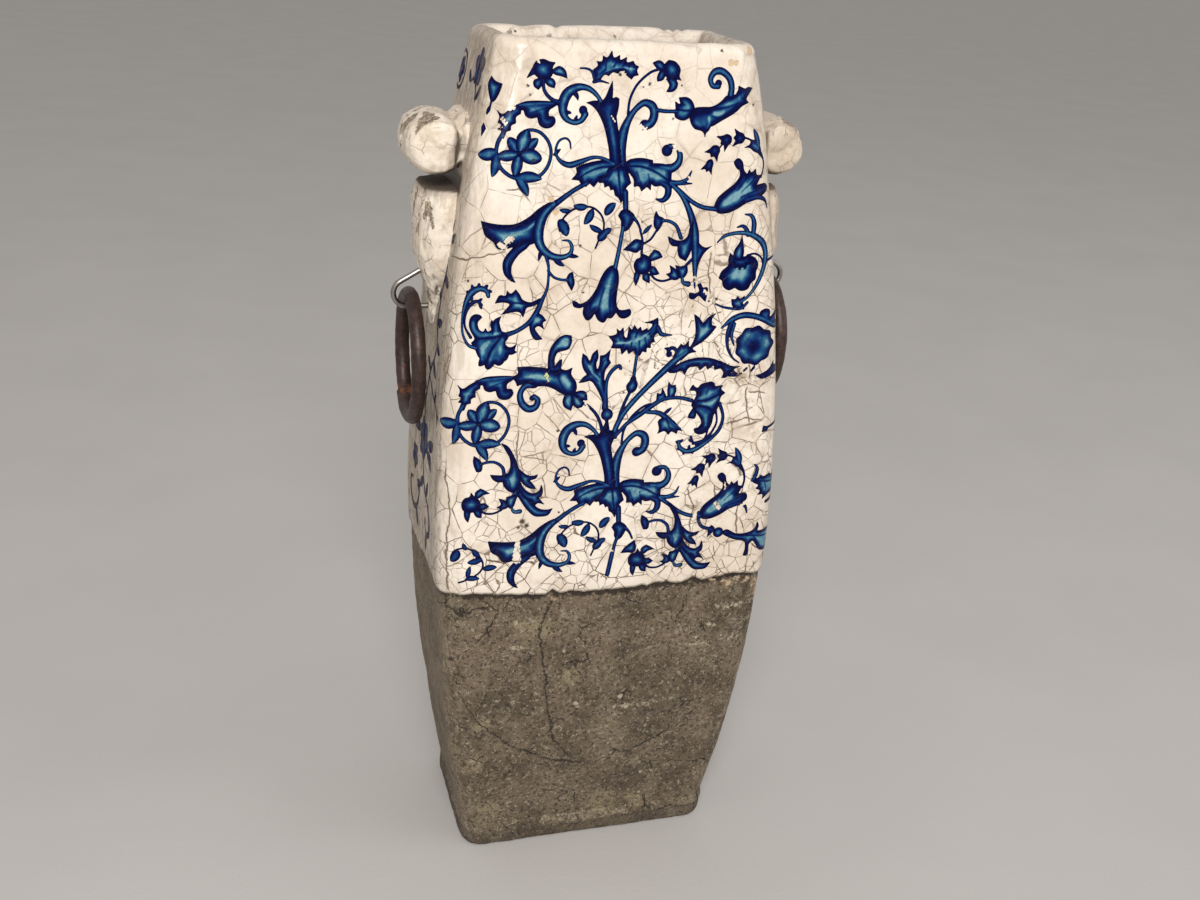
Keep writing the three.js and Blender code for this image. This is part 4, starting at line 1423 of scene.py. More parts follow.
    def bell(self, base, tip, half):
        """Small bell flower: a calyx at its base and a flared mouth with three points."""
        base, tip = np.array(base, float), np.array(tip, float)
        way = tip - base
        left = np.array([-way[1], way[0]]) * half / max(np.hypot(*way), 1e-6)
        rim = [(0.2, 0.6), (0.55, 0.75), (1, 1.15, 1), (0.8, 0.35, 1)]
        rim = [(0, 0), *rim, (1, 0, 1), *[(at, -off, *sharp) for at, off, *sharp in reversed(rim)]]
        points = [(*(base + way * at + left * off), *sharp) for at, off, *sharp in rim]
        self.shape(points, 0.75, half * 0.7, over=True)


def centre_scroll(ink):
    """Trunk with two curled scrolls, a leafy calyx, a trumpet flower and a vine on its left,
    and a bell flower with a chain of small bells on its right."""
    # Scroll left of the trunk
    ink.stroke(
        [(-15, 419.5), (-17.5, 424), (-22, 427.6), (-27, 428.2), (-31.5, 426), (-34, 422), (-34.4, 417.4),
         (-32.6, 413.8), (-28.8, 412.2), (-25.4, 413.2), (-23.6, 416)],
        (1.4, 0.9, 1.2, 1.5, 2.1, 2.5, 2.4, 1.8, 1.2, 1.2, 1.6), 0.8)
    ink.ball(-24.6, 417.8, 2.0, 0.35)
    ink.leaf((-31.5, 426.4), (-27.2, 422), 1.1, 0.2, 0.3)
    ink.leaf((-33.4, 417), (-30.2, 416.4), 0.8, 0, 0.3)
    ink.leaf((-29, 411.8), (-27.4, 415.6), 0.8, 0, 0.3)
    # Right arm and its scroll
    ink.stroke(
        [(-5.2, 393), (-5.6, 400), (-4.6, 407.5), (-2.4, 413.4), (1, 418.4), (5.4, 421.6), (9.4, 420.2),
         (10.6, 416.6), (9.4, 412.8), (7, 411.2)], (2.7, 2.7, 2.6, 2.3, 1.7, 1.3, 1.5, 2.1, 2.1, 2.0), 0.75)
    ink.ball(6, 411.4, 2.5, 0.5)
    # Trunk
    ink.shape(
        [(-10, 392.4), (-11.6, 401), (-14, 410), (-17, 416.2), (-20, 419.6), (-23.2, 421.2, 1),
         (-19, 422.2), (-16, 421.4, 1), (-13.8, 424), (-12.3, 427.5), (-10.5, 431.6, 1), (-10.2, 427),
         (-10.4, 423.2, 1), (-8.6, 424), (-7, 423.2, 1), (-7.2, 419.5), (-8.2, 415, 1), (-7.5, 411),
         (-6.4, 405), (-5.4, 398), (-5, 392.4)], 0.85, 3.0, over=True, glow=(-9.5, 404, 10))
    ink.shade([(-8.2, 416), (-7.4, 408), (-6.2, 396)], (0.5, 0.5), 0.8)
    ink.stroke([(-2.6, 416.4), (-1.8, 423), (1, 429), (4.5, 433), (8.5, 436), (12, 437.2)], 0.55, 0.4)
    # Thin scroll on the left
    ink.stroke(
        [(-8.5, 393.2), (-14, 395.8), (-19, 396.3), (-25, 394.4), (-30, 392.8), (-34, 393.8),
         (-36.8, 396.6), (-37.4, 400.2), (-35.8, 403.8), (-32.8, 405), (-30.7, 403.4), (-30.2, 400.4)],
        (0.9, 0.8, 0.7, 0.9, 1.2, 1.5, 1.2, 0.7, 0.55, 0.5, 0.45, 0.3), 0.7)
    ink.leaf((-38.6, 397), (-35, 400.2), 0.8, 0, 0.3)
    # Calyx: left, right and middle leaf
    ink.shape(
        [(-5, 393.6), (-12, 395), (-18, 394.6), (-24, 393), (-27.4, 391.4, 1), (-27, 389), (-29.4, 386, 1),
         (-25.6, 385.6, 1), (-24.6, 384), (-22, 382.6, 1), (-20.6, 384.4, 1), (-18.2, 382.4, 1), (-16, 385),
         (-12, 387), (-6, 389.6)], 0.85, 2.6)
    ink.shade([(-8, 392), (-15, 391.6), (-21, 389.6), (-26, 386.6)], (0.55, 0.5, 0.3), 0.85)
    ink.tint([(-9, 393.4), (-15, 393), (-21, 391.4)], (0.5, 0.4), 0.25)
    ink.shape(
        [(-3, 392.6), (-1, 395.4), (5, 396.2), (11, 395.2, 1), (11, 393.8, 1), (17, 393.4), (20.4, 391),
         (20.8, 386), (20.4, 383.4), (16.4, 383.2), (12.6, 382.8), (10.6, 384, 1), (10.6, 380.8, 1),
         (8.6, 382.6, 1), (5.8, 380.4, 1), (4.4, 382.8), (1.8, 382.6, 1), (1.6, 386), (-0.6, 389)],
        0.9, 2.6)
    ink.shade([(-1, 392.4), (6, 392), (13, 389.4), (19.6, 385.4)], (0.5, 0.6, 0.4), 0.9)
    ink.shade([(3, 390), (5.4, 384)], (0.4, 0.3), 0.5)
    ink.shade([(9, 388.6), (10.4, 383)], (0.4, 0.3), 0.5)
    ink.shape(
        [(-10.4, 391.8), (-12.8, 388.4), (-16.4, 387.2, 1), (-15.6, 384.4, 1), (-13.4, 384.4),
         (-13, 382.2, 1), (-10.8, 383), (-9.8, 380.8, 1), (-8.4, 381.4), (-7.6, 378.6, 1), (-5.8, 377.4),
         (-4.2, 374.6, 1), (-3.6, 377.6), (-1.6, 378.8, 1), (-2, 382), (0.4, 384.4, 1), (-1, 388.4),
         (-2.8, 392)], 0.85, 2.6, over=True)
    ink.shade([(-6.6, 392), (-5.6, 385), (-4.4, 377)], (0.45, 0.5, 0.3), 0.85)
    ink.shade([(-8.8, 391), (-11.6, 385.4)], (0.4, 0.3), 0.6)
    ink.shade([(-4, 391), (-2.4, 384.6)], (0.4, 0.3), 0.5)
    # Curl, hook and tendrils at the end of the right leaf
    ink.stroke([(15, 392), (20.4, 391.4), (24, 394), (24.6, 398), (22.6, 401.4), (19.2, 401.8)],
               (1.2, 2.2, 1.9, 1.5, 1.1, 1.2), 0.75)
    ink.ball(17.9, 399.8, 2.7, 0.35)
    ink.stroke([(20.6, 384.6), (25, 384.8), (29, 386.4), (31, 390)], (1.3, 0.9, 0.8, 0.35), 0.7)
    ink.stroke([(22, 384.2), (27, 384.2), (31.6, 384.2)], (1.0, 0.8, 0.25), 0.6)
    ink.stroke(
        [(16, 384.6), (19.2, 382.6), (19.4, 378.8), (17, 376.2), (13.4, 376.8)], (1.4, 1.7, 1.7, 1.2, 0.3),
        0.55)
    # Left trumpet flower
    ink.stroke([(-21.5, 384.4), (-27, 381.6), (-32.4, 378), (-37, 374.6)], (1.0, 1.1, 1.4), 0.6)
    ink.shape(
        [(-35.4, 377, 1), (-40.4, 375.2), (-45.4, 372.2), (-50, 368.4), (-56, 365.4), (-62, 365),
         (-68, 365.6), (-72.8, 366.4, 1), (-71.8, 362.5), (-70.6, 359.6), (-67, 357), (-65, 354),
         (-61.8, 353.2), (-57.6, 354.4), (-53, 355.2), (-47.4, 356), (-45.4, 360), (-43, 366),
         (-39, 371.6)], 1.0, 4.2, glow=(-60, 361, 9))
    ink.stroke([(-46.5, 366), (-52, 362), (-60, 361)], (1.6, 2.6, 1.2), 0.9)
    ink.shape(
        [(-47.4, 358, 1), (-53, 356.6), (-58, 353.4), (-62, 347.8), (-61.6, 342), (-58.6, 338.6),
         (-55.8, 337.4, 1), (-57.8, 341.6), (-57.6, 346), (-54.4, 350.8), (-50.4, 354)],
        1.0, 2.3, over=True)
    ink.shade([(-55, 353.6), (-59, 348), (-59.4, 342)], (0.4, 0.3), 0.5)
    ink.stroke(
        [(-37.6, 374.6), (-42.6, 369.4), (-45, 362), (-44, 355.2), (-39.6, 350.6), (-34, 349.2),
         (-29.4, 350.6), (-28.2, 354), (-29.8, 357), (-33, 357.4)],
        (1.6, 2.1, 2.5, 2.6, 2.2, 1.9, 1.5, 1.1, 0.8, 0.3), 0.85, over=True)
    ink.leaf((-31, 350.2), (-24.6, 349.4), 1.0, 0, 0.3)
    ink.leaf((-37.6, 350.6), (-31.6, 345), 1.3, -0.1, 0.4)
    ink.leaf((-43, 354), (-44.8, 347.6), 1.0, 0, 0.3)
    ink.shade([(-38.6, 373.4), (-42.8, 366), (-42.6, 358), (-39, 352.6), (-34, 350.4)], (0.3, 0.3), 0.6)
    # Vine with leaves
    ink.stroke(
        [(-34.6, 362), (-33.4, 367), (-29.6, 371), (-25, 373), (-19, 373), (-14.6, 370), (-12.7, 366),
         (-12.6, 362)], 0.42, 0.15)
    for base, tip, half in (
            ((-35, 366.8), (-31, 359.4), 2.6), ((-29.6, 371.6), (-35, 372), 1.1),
            ((-21.2, 373.4), (-28, 373.8), 1.7), ((-18.6, 372), (-22.6, 365), 2.0),
            ((-11.8, 369.4), (-7, 374.8), 2.1), ((-13.4, 361.6), (-19.8, 364.8), 1.4),
            ((-12.8, 359.6), (-8.6, 362.6), 1.6)):
        ink.leaf(base, tip, half, 0.08, 0.75, 0.3)
    ink.stroke([(-13, 361.6), (-14.6, 358), (-16.4, 353.4)], 0.4, 0.15)
    ink.leaf((-14.8, 357.6), (-11.2, 361.4), 2.2, 0, 0.6)
    # Middle stem with its bud
    ink.stroke([(-2.4, 380), (-1.8, 372)], (1.5, 1.3), 0.6)
    ink.shape(
        [(-5.6, 369, 1), (-4, 371.4), (-1.6, 372, 1), (0.4, 371.4, 1), (2.8, 369), (2.2, 366),
         (0.4, 362.6, 1), (-1.8, 361.4), (-3.8, 363.6), (-4, 366.4)], 0.7, 2.4, over=True)
    ink.stroke([(2, 368.4), (4.6, 365.4), (6.4, 361.6)], (0.9, 0.6, 0.5), 0.5)
    # Right stem and bell flower
    ink.stroke([(20.6, 384.2), (26, 380.2), (32, 375.6), (38, 372.8), (45, 371.8)], (1.1, 1.0, 1.1), 0.7)
    ink.shape(
        [(43.8, 373, 1), (45.4, 377), (49, 380.4), (53.6, 383.8), (56.4, 387.4), (56.4, 390.4, 1),
         (54.4, 391.8), (53, 394.6), (55.2, 396.4), (57.6, 394.6), (58.6, 390.8), (60.4, 388.8, 1),
         (61.4, 391.2, 1), (62.8, 389.6), (65, 391.4, 1), (65.6, 388.4), (68, 388, 1), (67, 385.4),
         (65.8, 383.4, 1), (70, 383.8), (71.4, 382, 1), (70.8, 379.4), (66, 376.6), (62, 375.4),
         (56.6, 372), (51, 369.8), (46, 370)], 0.9, 3.4)
    ink.stroke([(61, 376.4), (66.6, 377.6), (70.6, 375.8), (72.2, 371.6)], (1.6, 1.3, 0.9, 0.3), 0.5)
    ink.shade([(56, 381), (60, 386.6), (61, 390)], (0.5, 0.4), 0.6)
    ink.shade([(58, 380), (63, 384.8), (65.6, 389)], (0.5, 0.4), 0.6)
    ink.shade([(58, 377.6), (64, 380), (69.4, 381.6)], (0.5, 0.4), 0.6)
    ink.tint([(50, 375), (56, 379), (62, 382)], (1.8, 2.0, 1.2), 0.3)
    ink.shade([(45.4, 372.6), (48, 376.8), (54, 382)], (0.9, 0.6), 0.5)
    # Chain of small bells
    ink.bell((41.2, 395.8), (38.6, 389.6), 2.8)
    ink.bell((44.2, 402.2), (40.6, 396.8), 3.7)
    ink.bell((50.8, 406.6), (45.2, 403), 3.8)
    ink.bell((58, 405.8), (51.8, 406.2), 3.8)
    ink.stroke([(44.6, 400.8), (46.4, 403)], 0.3, 0.1)
    ink.stroke([(56.6, 406.6), (60.4, 405.4), (63, 404)], 0.4, 0.1)
    ink.leaf((65.4, 400), (62, 410.4), 1.7, -0.06, 0.7)
    ink.shape(
        [(66.4, 398.4, 1), (63.4, 399.4), (60.6, 401.4), (57.6, 401.4, 1), (60.6, 403), (61, 405.4, 1),
         (63.6, 404.6), (66, 402), (67, 398)], 0.7, 1.6)
    ink.stroke([(65.8, 399.4), (68, 396), (68.8, 391.6), (68, 387)], (1.2, 0.6, 0.5, 0.5), 0.2)


def ringed_flower(ink):
    """Scroll leaf that falls into a round tendril with a six-petalled flower in it."""
    ink.shape(
        [(-35.6, 420.6, 1), (-40, 421.4), (-46, 421.6), (-52, 421.2), (-57, 419.4, 1), (-54.5, 417.5),
         (-53, 417.2, 1), (-52.2, 414.8), (-49.8, 413.6), (-46.6, 414.2, 1), (-45.6, 411), (-43, 409.4),
         (-39.8, 409.8), (-37.8, 412.2), (-38.6, 414.6), (-41, 414.8, 1), (-41, 417.2), (-38.6, 419)],
        0.75, 2.6)
    ink.shade([(-38, 419.6), (-44, 418), (-50, 416)], (0.35, 0.3), 0.5)
    ink.tint([(-39, 420.6), (-46, 420.4), (-55, 419.6)], (0.45, 0.6), 0.5)
    ink.shape(
        [(-54, 419.4, 1), (-57, 419), (-60, 417.2), (-63, 415.2), (-65.8, 416.8, 1), (-64.4, 414),
         (-65.2, 411.2, 1), (-63.8, 410.6), (-65.2, 408.2, 1), (-63.4, 407.8), (-64.2, 405.8, 1),
         (-62.4, 404.2, 1), (-61, 407.6, 1), (-59, 408.2, 1), (-58.8, 410.4), (-56.6, 411.4, 1),
         (-56.6, 414.2), (-54.4, 415.6, 1)], 0.85, 2.0)
    ink.stroke(
        [(-62.6, 407), (-65.2, 402), (-65.7, 396.4), (-63.6, 391.2), (-59.6, 387.8), (-55, 386.2),
         (-50, 385.9), (-45.2, 387.6), (-41.4, 391.8), (-39.7, 397.8), (-41, 403.2), (-45, 407.4),
         (-50, 408.5), (-54, 406.9), (-55.6, 405)], (0.9, 0.7), 0.6)
    for tip, half in (((-60, 404.8), 2.7), ((-65.4, 396.2), 2.6), ((-57, 387.6), 2.7), ((-46, 404.6), 2.6),
                      ((-51.2, 408.6), 3.4), ((-44.4, 395.4), 3.5)):
        ink.leaf((-54.9, 397.6), tip, half, 0, 0.85, over=True, full=0.52)
    ink.ball(-54.9, 397.6, 1.2, 0.1, over=True)
    for base, tip, half in (
            ((-65.4, 398.6), (-74.2, 396), 2.8), ((-65.8, 397.6), (-67.8, 386.8), 2.2),
            ((-56, 386.6), (-43.8, 386.2), 2.6), ((-56.4, 387.6), (-50.5, 378.2), 2.3)):
        ink.leaf(base, tip, half, 0.06, 0.9, 0.3)


def drooping_arm(ink):
    """Thick arm that ends in a hooked lobe, pale fronds, a sprig, two bells and a bud flower."""
    ink.stroke([(-51.6, 234.4), (-54, 230.4), (-56.6, 227.4)], (0.8, 0.5), 0.8)
    ink.shape(
        [(-53.4, 230.4), (-51.4, 226), (-48, 220.8), (-44, 216.8), (-40, 216), (-36.4, 216.6),
         (-34, 220.2, 1), (-37, 219.6), (-40.6, 220.2), (-43.6, 222.4), (-46.6, 226.4), (-49, 231)],
        0.95, 1.9)
    ink.shape(
        [(-52.2, 237, 1), (-49.6, 232.4), (-46.6, 229.8), (-43.6, 229.2), (-41.4, 230.8), (-40.6, 233.8, 1),
         (-39.6, 230.8), (-40, 227.8), (-41.6, 226.4, 1), (-38.6, 222.6, 1), (-42, 223.6), (-43.8, 222, 1),
         (-45.2, 224.6), (-48.2, 226), (-50.8, 228.8), (-52.6, 232.4)], 1.0, 2.0, over=True)
    ink.shape(
        [(-52, 242.8, 1), (-49, 240), (-45.6, 238.7), (-42.4, 239.4, 1), (-43.6, 237.2), (-46.8, 236.4, 1),
         (-44.8, 234.2), (-43.2, 231.4, 1), (-47, 232.2), (-50, 234.6), (-51.8, 238)], 1.0, 1.8, over=True)
    ink.shape(
        [(-61.8, 257.2, 1), (-58, 255), (-54.6, 249), (-52.4, 243), (-51, 238), (-51.6, 235), (-53, 231.8),
         (-55.2, 230, 1), (-58, 231.6), (-60.2, 234.4), (-60.6, 236.4, 1), (-63.5, 236.6), (-66, 238.4),
         (-67.2, 240.8, 1), (-63.5, 240.3), (-60, 240.2), (-57.6, 241.8), (-56.9, 245), (-57.3, 249),
         (-59.4, 253)], 0.95, 2.7, over=True)
    ink.shade([(-58.6, 239.6), (-57, 236), (-57, 232)], (0.5, 0.3), 0.5)
    ink.stroke(
        [(-60, 240.4), (-61, 244.4), (-64.6, 247.2), (-68.6, 247.6), (-72, 246.8)], (0.9, 0.7, 0.65), 0.6)
    ink.shape(
        [(-71.2, 246), (-72.4, 249), (-75.6, 251.4, 1), (-76, 248.6), (-75.4, 245.6), (-74.2, 242.8, 1),
         (-71.8, 243)], 0.7, 1.8)
    ink.shape(
        [(-58, 222.4), (-60.4, 221.6), (-63.6, 222.8, 1), (-61.4, 224.4), (-62.6, 227.6, 1), (-60, 226.8),
         (-58.2, 225.2)], 0.85, 1.6)
    ink.shape(
        [(-58.6, 228.2, 1), (-55, 229), (-52.4, 229.2, 1), (-53.4, 226.6), (-54.4, 223.4, 1),
         (-55.8, 221.6), (-57.6, 222.6), (-58.8, 225)], 0.85, 1.7, over=True)
    ink.stroke([(-55.8, 222), (-54.4, 219.8), (-51.4, 219.8)], (0.6, 0.9, 1.2), 0.9)
    ink.stroke([(-61, 221.4), (-65, 219.8), (-69.4, 220.2), (-72, 222.4)], 0.5, 0.3)
    ink.shape(
        [(-76.8, 232, 1), (-77.6, 229.7), (-80, 229), (-81.6, 226), (-80.6, 222.4), (-77, 221.2),
         (-73.6, 222), (-72, 224.6), (-72.6, 227.6), (-75, 229.6)], 0.85, 3.2)
    for petal in (
            [(-74.6, 229), (-74.6, 232), (-72, 233.8, 1), (-69.8, 232.6), (-67.2, 230.8, 1), (-70.4, 230.2),
             (-72.8, 228.6)],
            [(-72.6, 224.8), (-70.2, 225.9), (-67.4, 223.8, 1), (-69.8, 222.3), (-72.6, 222.6)],
            [(-80, 222.6), (-80, 218.6), (-78.2, 215.8, 1), (-77.4, 218.6), (-77.2, 221.6)],
            [(-75.4, 221.8), (-74, 218.6), (-71.2, 217.8, 1), (-71.4, 221), (-73, 222.6)]):
        ink.shape(petal, 0.8, 1.5, over=True)


def crest(ink):
    """Bud flowers, the serrated crest leaf and the scaled leaf at the top of the vase."""
    ink.stroke([(-43.8, 431), (-43.6, 427), (-41.8, 424), (-39, 422), (-36, 421.2)], (0.7, 0.9), 0.5)
    ink.shape(
        [(-44, 440.8), (-47.5, 439.4), (-49, 436), (-47.6, 433), (-44.5, 431.4), (-41, 432), (-39.4, 434.5),
         (-39.4, 437.5), (-38, 439.8, 1), (-41, 440)], 0.9, 3.4)
    for petal in (
            [(-39.8, 435.8), (-36.4, 438.2), (-33.4, 436.3), (-32.4, 432.2, 1), (-35, 433.2),
             (-38.5, 434.0)],
            [(-48.4, 437), (-50, 435), (-51.8, 431.6, 1), (-49.2, 433), (-47.8, 434)],
            [(-45.4, 432), (-48.3, 430.8), (-48.4, 428.2), (-46.2, 426.4, 1), (-44.6, 428.6),
             (-44.2, 431.4)],
            [(-43.2, 431.6), (-42.3, 429), (-40.8, 428), (-38.5, 427.4, 1), (-38.1, 430.2),
             (-39.8, 432.2)]):
        ink.shape(petal, 0.9, 1.5, over=True)
    ink.shape(
        [(17, 441.8, 1), (20.5, 441), (23, 438), (22.6, 434.5), (23.6, 432.4, 1), (20, 433), (16.6, 433.2),
         (14.9, 436), (15, 439.6)], 0.9, 3.2)
    for petal in (
            [(15.4, 437.5), (14.4, 440.4), (12, 441.4), (9, 440.2, 1), (10.8, 438), (12.8, 436.8)],
            [(15, 437), (12.6, 436.4), (11.3, 433.4), (11.6, 431.6, 1), (14.2, 432.2), (15.5, 434.6)],
            [(18.6, 433.6), (15.8, 433, 1), (17.6, 430), (16.2, 426.8, 1), (19.2, 426.9), (21.4, 428.6),
             (22, 431, 1), (20.6, 433)]):
        ink.shape(petal, 0.85, 1.6, over=True)
    ink.shape(
        [(-19.8, 430, 1), (-19.4, 433.6), (-20, 436.6, 1), (-17.8, 438.4), (-18.4, 440.4, 1),
         (-15.8, 440.4), (-15.4, 443, 1), (-13.2, 442.2), (-11, 445.4, 1), (-10, 442.2), (-7, 443.4, 1),
         (-6.8, 441.2), (-3.6, 442.6, 1), (-3.6, 440.2), (-0.4, 441, 1), (0.6, 439.2), (2.4, 438.6, 1),
         (1.4, 436.6), (2.2, 434.4, 1), (0, 433.8), (-1.2, 432.2, 1), (-3.8, 434.2), (-6, 436.2),
         (-8, 434.8, 1), (-10.4, 435.4), (-12.4, 433.6, 1), (-14.4, 434.2), (-16.4, 431.8, 1),
         (-18, 431.6)], 0.8, 2.2)
    ink.tint([(-18.6, 432), (-13, 436), (-7, 437.8), (0.4, 437)], (0.35, 0.5), 0.4)
    for root, end in (
            ((-14, 436.6), (-13.4, 442.6)), ((-10, 438), (-7, 442.6)), ((-5.6, 438.4), (-3.4, 442)),
            ((-12, 435.6), (-11, 433)), ((-2.6, 438), (-0.4, 440.6))):
        ink.shade([root, end], (0.45, 0.3), 0.7)
    ink.stroke([(-19.4, 432.4), (-20.6, 435.6), (-23, 437), (-26.2, 437.2)], (0.7, 0.35), 0.6)
    ink.stroke([(-19.6, 430.8), (-16.4, 431.2), (-12.4, 430.2)], (0.8, 0.25), 0.5)
    # Scaled leaf with a spiral tail
    ink.stroke([(11, 418.6), (16, 418), (22, 418)], (0.9, 0.8), 0.6)
    ink.shape(
        [(21, 415.6), (21.2, 419), (20.8, 422.6, 1), (23.4, 421.4), (22.6, 424.4, 1), (26.6, 424.6),
         (29.4, 423), (31, 419.4), (29.6, 416.6), (27, 414.2), (24, 414)], 0.8, 2.0)
    ink.shade([(22, 419), (26, 418.4), (30, 418.6)], (0.5, 0.5), 0.8)
    ink.shade([(22.6, 422), (26, 421)], (0.4, 0.3), 0.6)
    ink.stroke(
        [(49, 424.6), (49.4, 430), (47.8, 434.6), (44, 437.4), (40.4, 437), (38.4, 433.6), (39.6, 430.4),
         (42.4, 430.2)], (1.7, 1.5, 1.6, 1.7, 1.8, 1.5, 1.2, 1.5), 0.75)
    ink.ball(42.6, 431.6, 1.7, 0.3)
    ink.shape(
        [(29.6, 417), (31, 419.6), (34.6, 420.2), (38.6, 420.3), (41.4, 421.1), (44.4, 423), (47, 425.6),
         (49.6, 425.2, 1), (51.4, 426.2), (52.8, 428.4), (53, 430.6, 1), (54.8, 429.7), (56.6, 429.1, 1),
         (58, 429.9), (60.2, 429.4, 1), (58.6, 426.6), (57.4, 424.3), (58.8, 422.6, 1), (57, 421.8),
         (55.2, 420.8), (53.2, 418.9), (50.8, 417.1), (47.4, 415.2), (43.8, 413.2), (40.8, 411.4),
         (39.8, 411.4, 1), (38.8, 409.3), (37.6, 408.3), (37, 405.8, 1), (36.3, 408), (34.8, 409.2),
         (32, 409.8), (30.1, 411.4), (29, 413.6), (28.6, 415.6)], 0.6, 2.4, over=True)
    ink.shade([(31, 417), (35, 417.6), (39, 418)], (2.2, 2.2, 1.2), 0.75)
    ink.tint([(41.6, 417.2), (44.4, 417), (46, 418.2)], (1.1, 1.3, 0.8), 0.5)
    ink.tint([(42.4, 420.6), (46, 421.4), (50, 422.8), (54.6, 425.6)], (0.4, 0.8, 0.9, 0.8), 0.35)
    ink.tint([(38.6, 415.4), (38.8, 412.8), (38, 410.6)], (0.6, 0.8, 0.5), 0.5)
    ink.tint([(31.6, 413), (34.4, 411.4)], (1.0, 0.8), 0.3)
    ink.shade([(40, 416), (43.6, 415.4), (48.4, 417.6), (52.4, 421)], (0.4, 0.5, 0.4), 0.6)
    ink.shade([(40.4, 419), (44.6, 419.6), (49.4, 420.8), (53.6, 422.4)], (0.4, 0.5, 0.3), 0.6)
    ink.shade([(54.2, 428.6), (54.8, 424.6)], (0.5, 0.4), 0.5)
    # Small tulip, bud and fragment at the left corner
    ink.shape(
        [(-68.3, 431.4, 1), (-66.4, 429.4), (-63, 428.4, 1), (-64.4, 424.5), (-66.4, 420.9),
         (-68.4, 419.6, 1), (-69.3, 423), (-69.8, 427.5)], 0.85, 2.2)
    ink.stroke([(-68.2, 420.4), (-68.9, 417.5), (-70.2, 414.6)], (0.5, 0.35), 0.3)
    ink.leaf((-68.6, 418.2), (-70.6, 414.2), 0.9, 0, 0.3)
    ink.shape([(-71.6, 410.4, 1), (-70.6, 408, 1), (-72.8, 404.2, 1), (-72.7, 408.6, 1)], 0.5, 1.2)


def hanging_tulip(ink):
    """Tulip that hangs from the middle stem, with the leaf bud and the bud flower beside it."""
    ink.stroke([(-2.8, 363.4), (-4.2, 354), (-6, 344)], (0.9, 1.0, 1.1), 0.8)
    ink.shape(
        [(-7.4, 345), (-10.5, 343.2), (-13, 339.4), (-15.5, 333.5), (-19, 328.6), (-23, 326.4),
         (-25.4, 327.6), (-27.4, 328.2, 1), (-26.6, 325.2), (-23.5, 324.3), (-21.4, 325.2, 1),
         (-21.8, 321.4), (-19.8, 318.2), (-17.4, 319), (-15.8, 321.6, 1), (-14, 318.2), (-11, 316.8),
         (-9, 319.2, 1), (-7, 318.9), (-4.8, 321.6, 1), (-2.6, 319), (0.4, 318.7), (3, 320.6), (2.4, 323.2),
         (-0.6, 322.8), (-3.4, 323.2), (-4.8, 326.4), (-4.6, 332), (-4, 338), (-4.8, 343)], 0.95, 3.6)
    for streak in ([(-14.4, 334), (-17.6, 327), (-18.6, 321)], [(-11.4, 334), (-13.4, 326), (-13.8, 319.4)],
                   [(-8, 333), (-8.2, 326), (-7.8, 320)]):
        ink.shade(streak, (0.4, 0.7, 0.4), 0.6)
    ink.shape(
        [(-2.4, 352.4, 1), (1.5, 356), (4, 357.6), (7, 356.6), (7, 353.4), (4.6, 351), (1, 351.8)], 0.95,
        2.2)
    ink.stroke([(6, 361.8), (7.4, 357), (7.2, 350.4)], (0.5, 0.6), 0.5)
    ink.stroke([(7.4, 355), (11.6, 357.4), (14.8, 362)], 0.5, 0.3)
    ink.leaf((7.4, 360), (12, 364.6), 1.0, 0, 0.6)
    ink.shape(
        [(9, 350, 1), (11.6, 348.4), (12.6, 345), (11.6, 341.6), (8.4, 340.3), (4.8, 341.4), (3.4, 345),
         (4.8, 348), (6.4, 348.4), (7, 350.6, 1)], 0.95, 3.2)
    for petal in (
            [(11, 348.6), (13.6, 352.4, 1), (16.4, 351.4), (18.4, 348.6, 1), (15.8, 347.6), (12.4, 346.8)],
            [(12.2, 344), (14.6, 343.8), (17, 340.4, 1), (14.6, 339.8), (12, 341)],
            [(4.3, 341.6), (3.6, 338), (4.8, 334.6, 1), (6.2, 337.6), (6.8, 341)],
            [(8.6, 340.6), (8.4, 337.8), (12, 335.8, 1), (12, 338.8), (11.2, 341)]):
        ink.shape(petal, 0.85, 1.5, over=True)
    ink.stroke([(12.4, 340.4), (15, 337.8), (19, 336.8), (24, 338)], 0.5, 0.3)


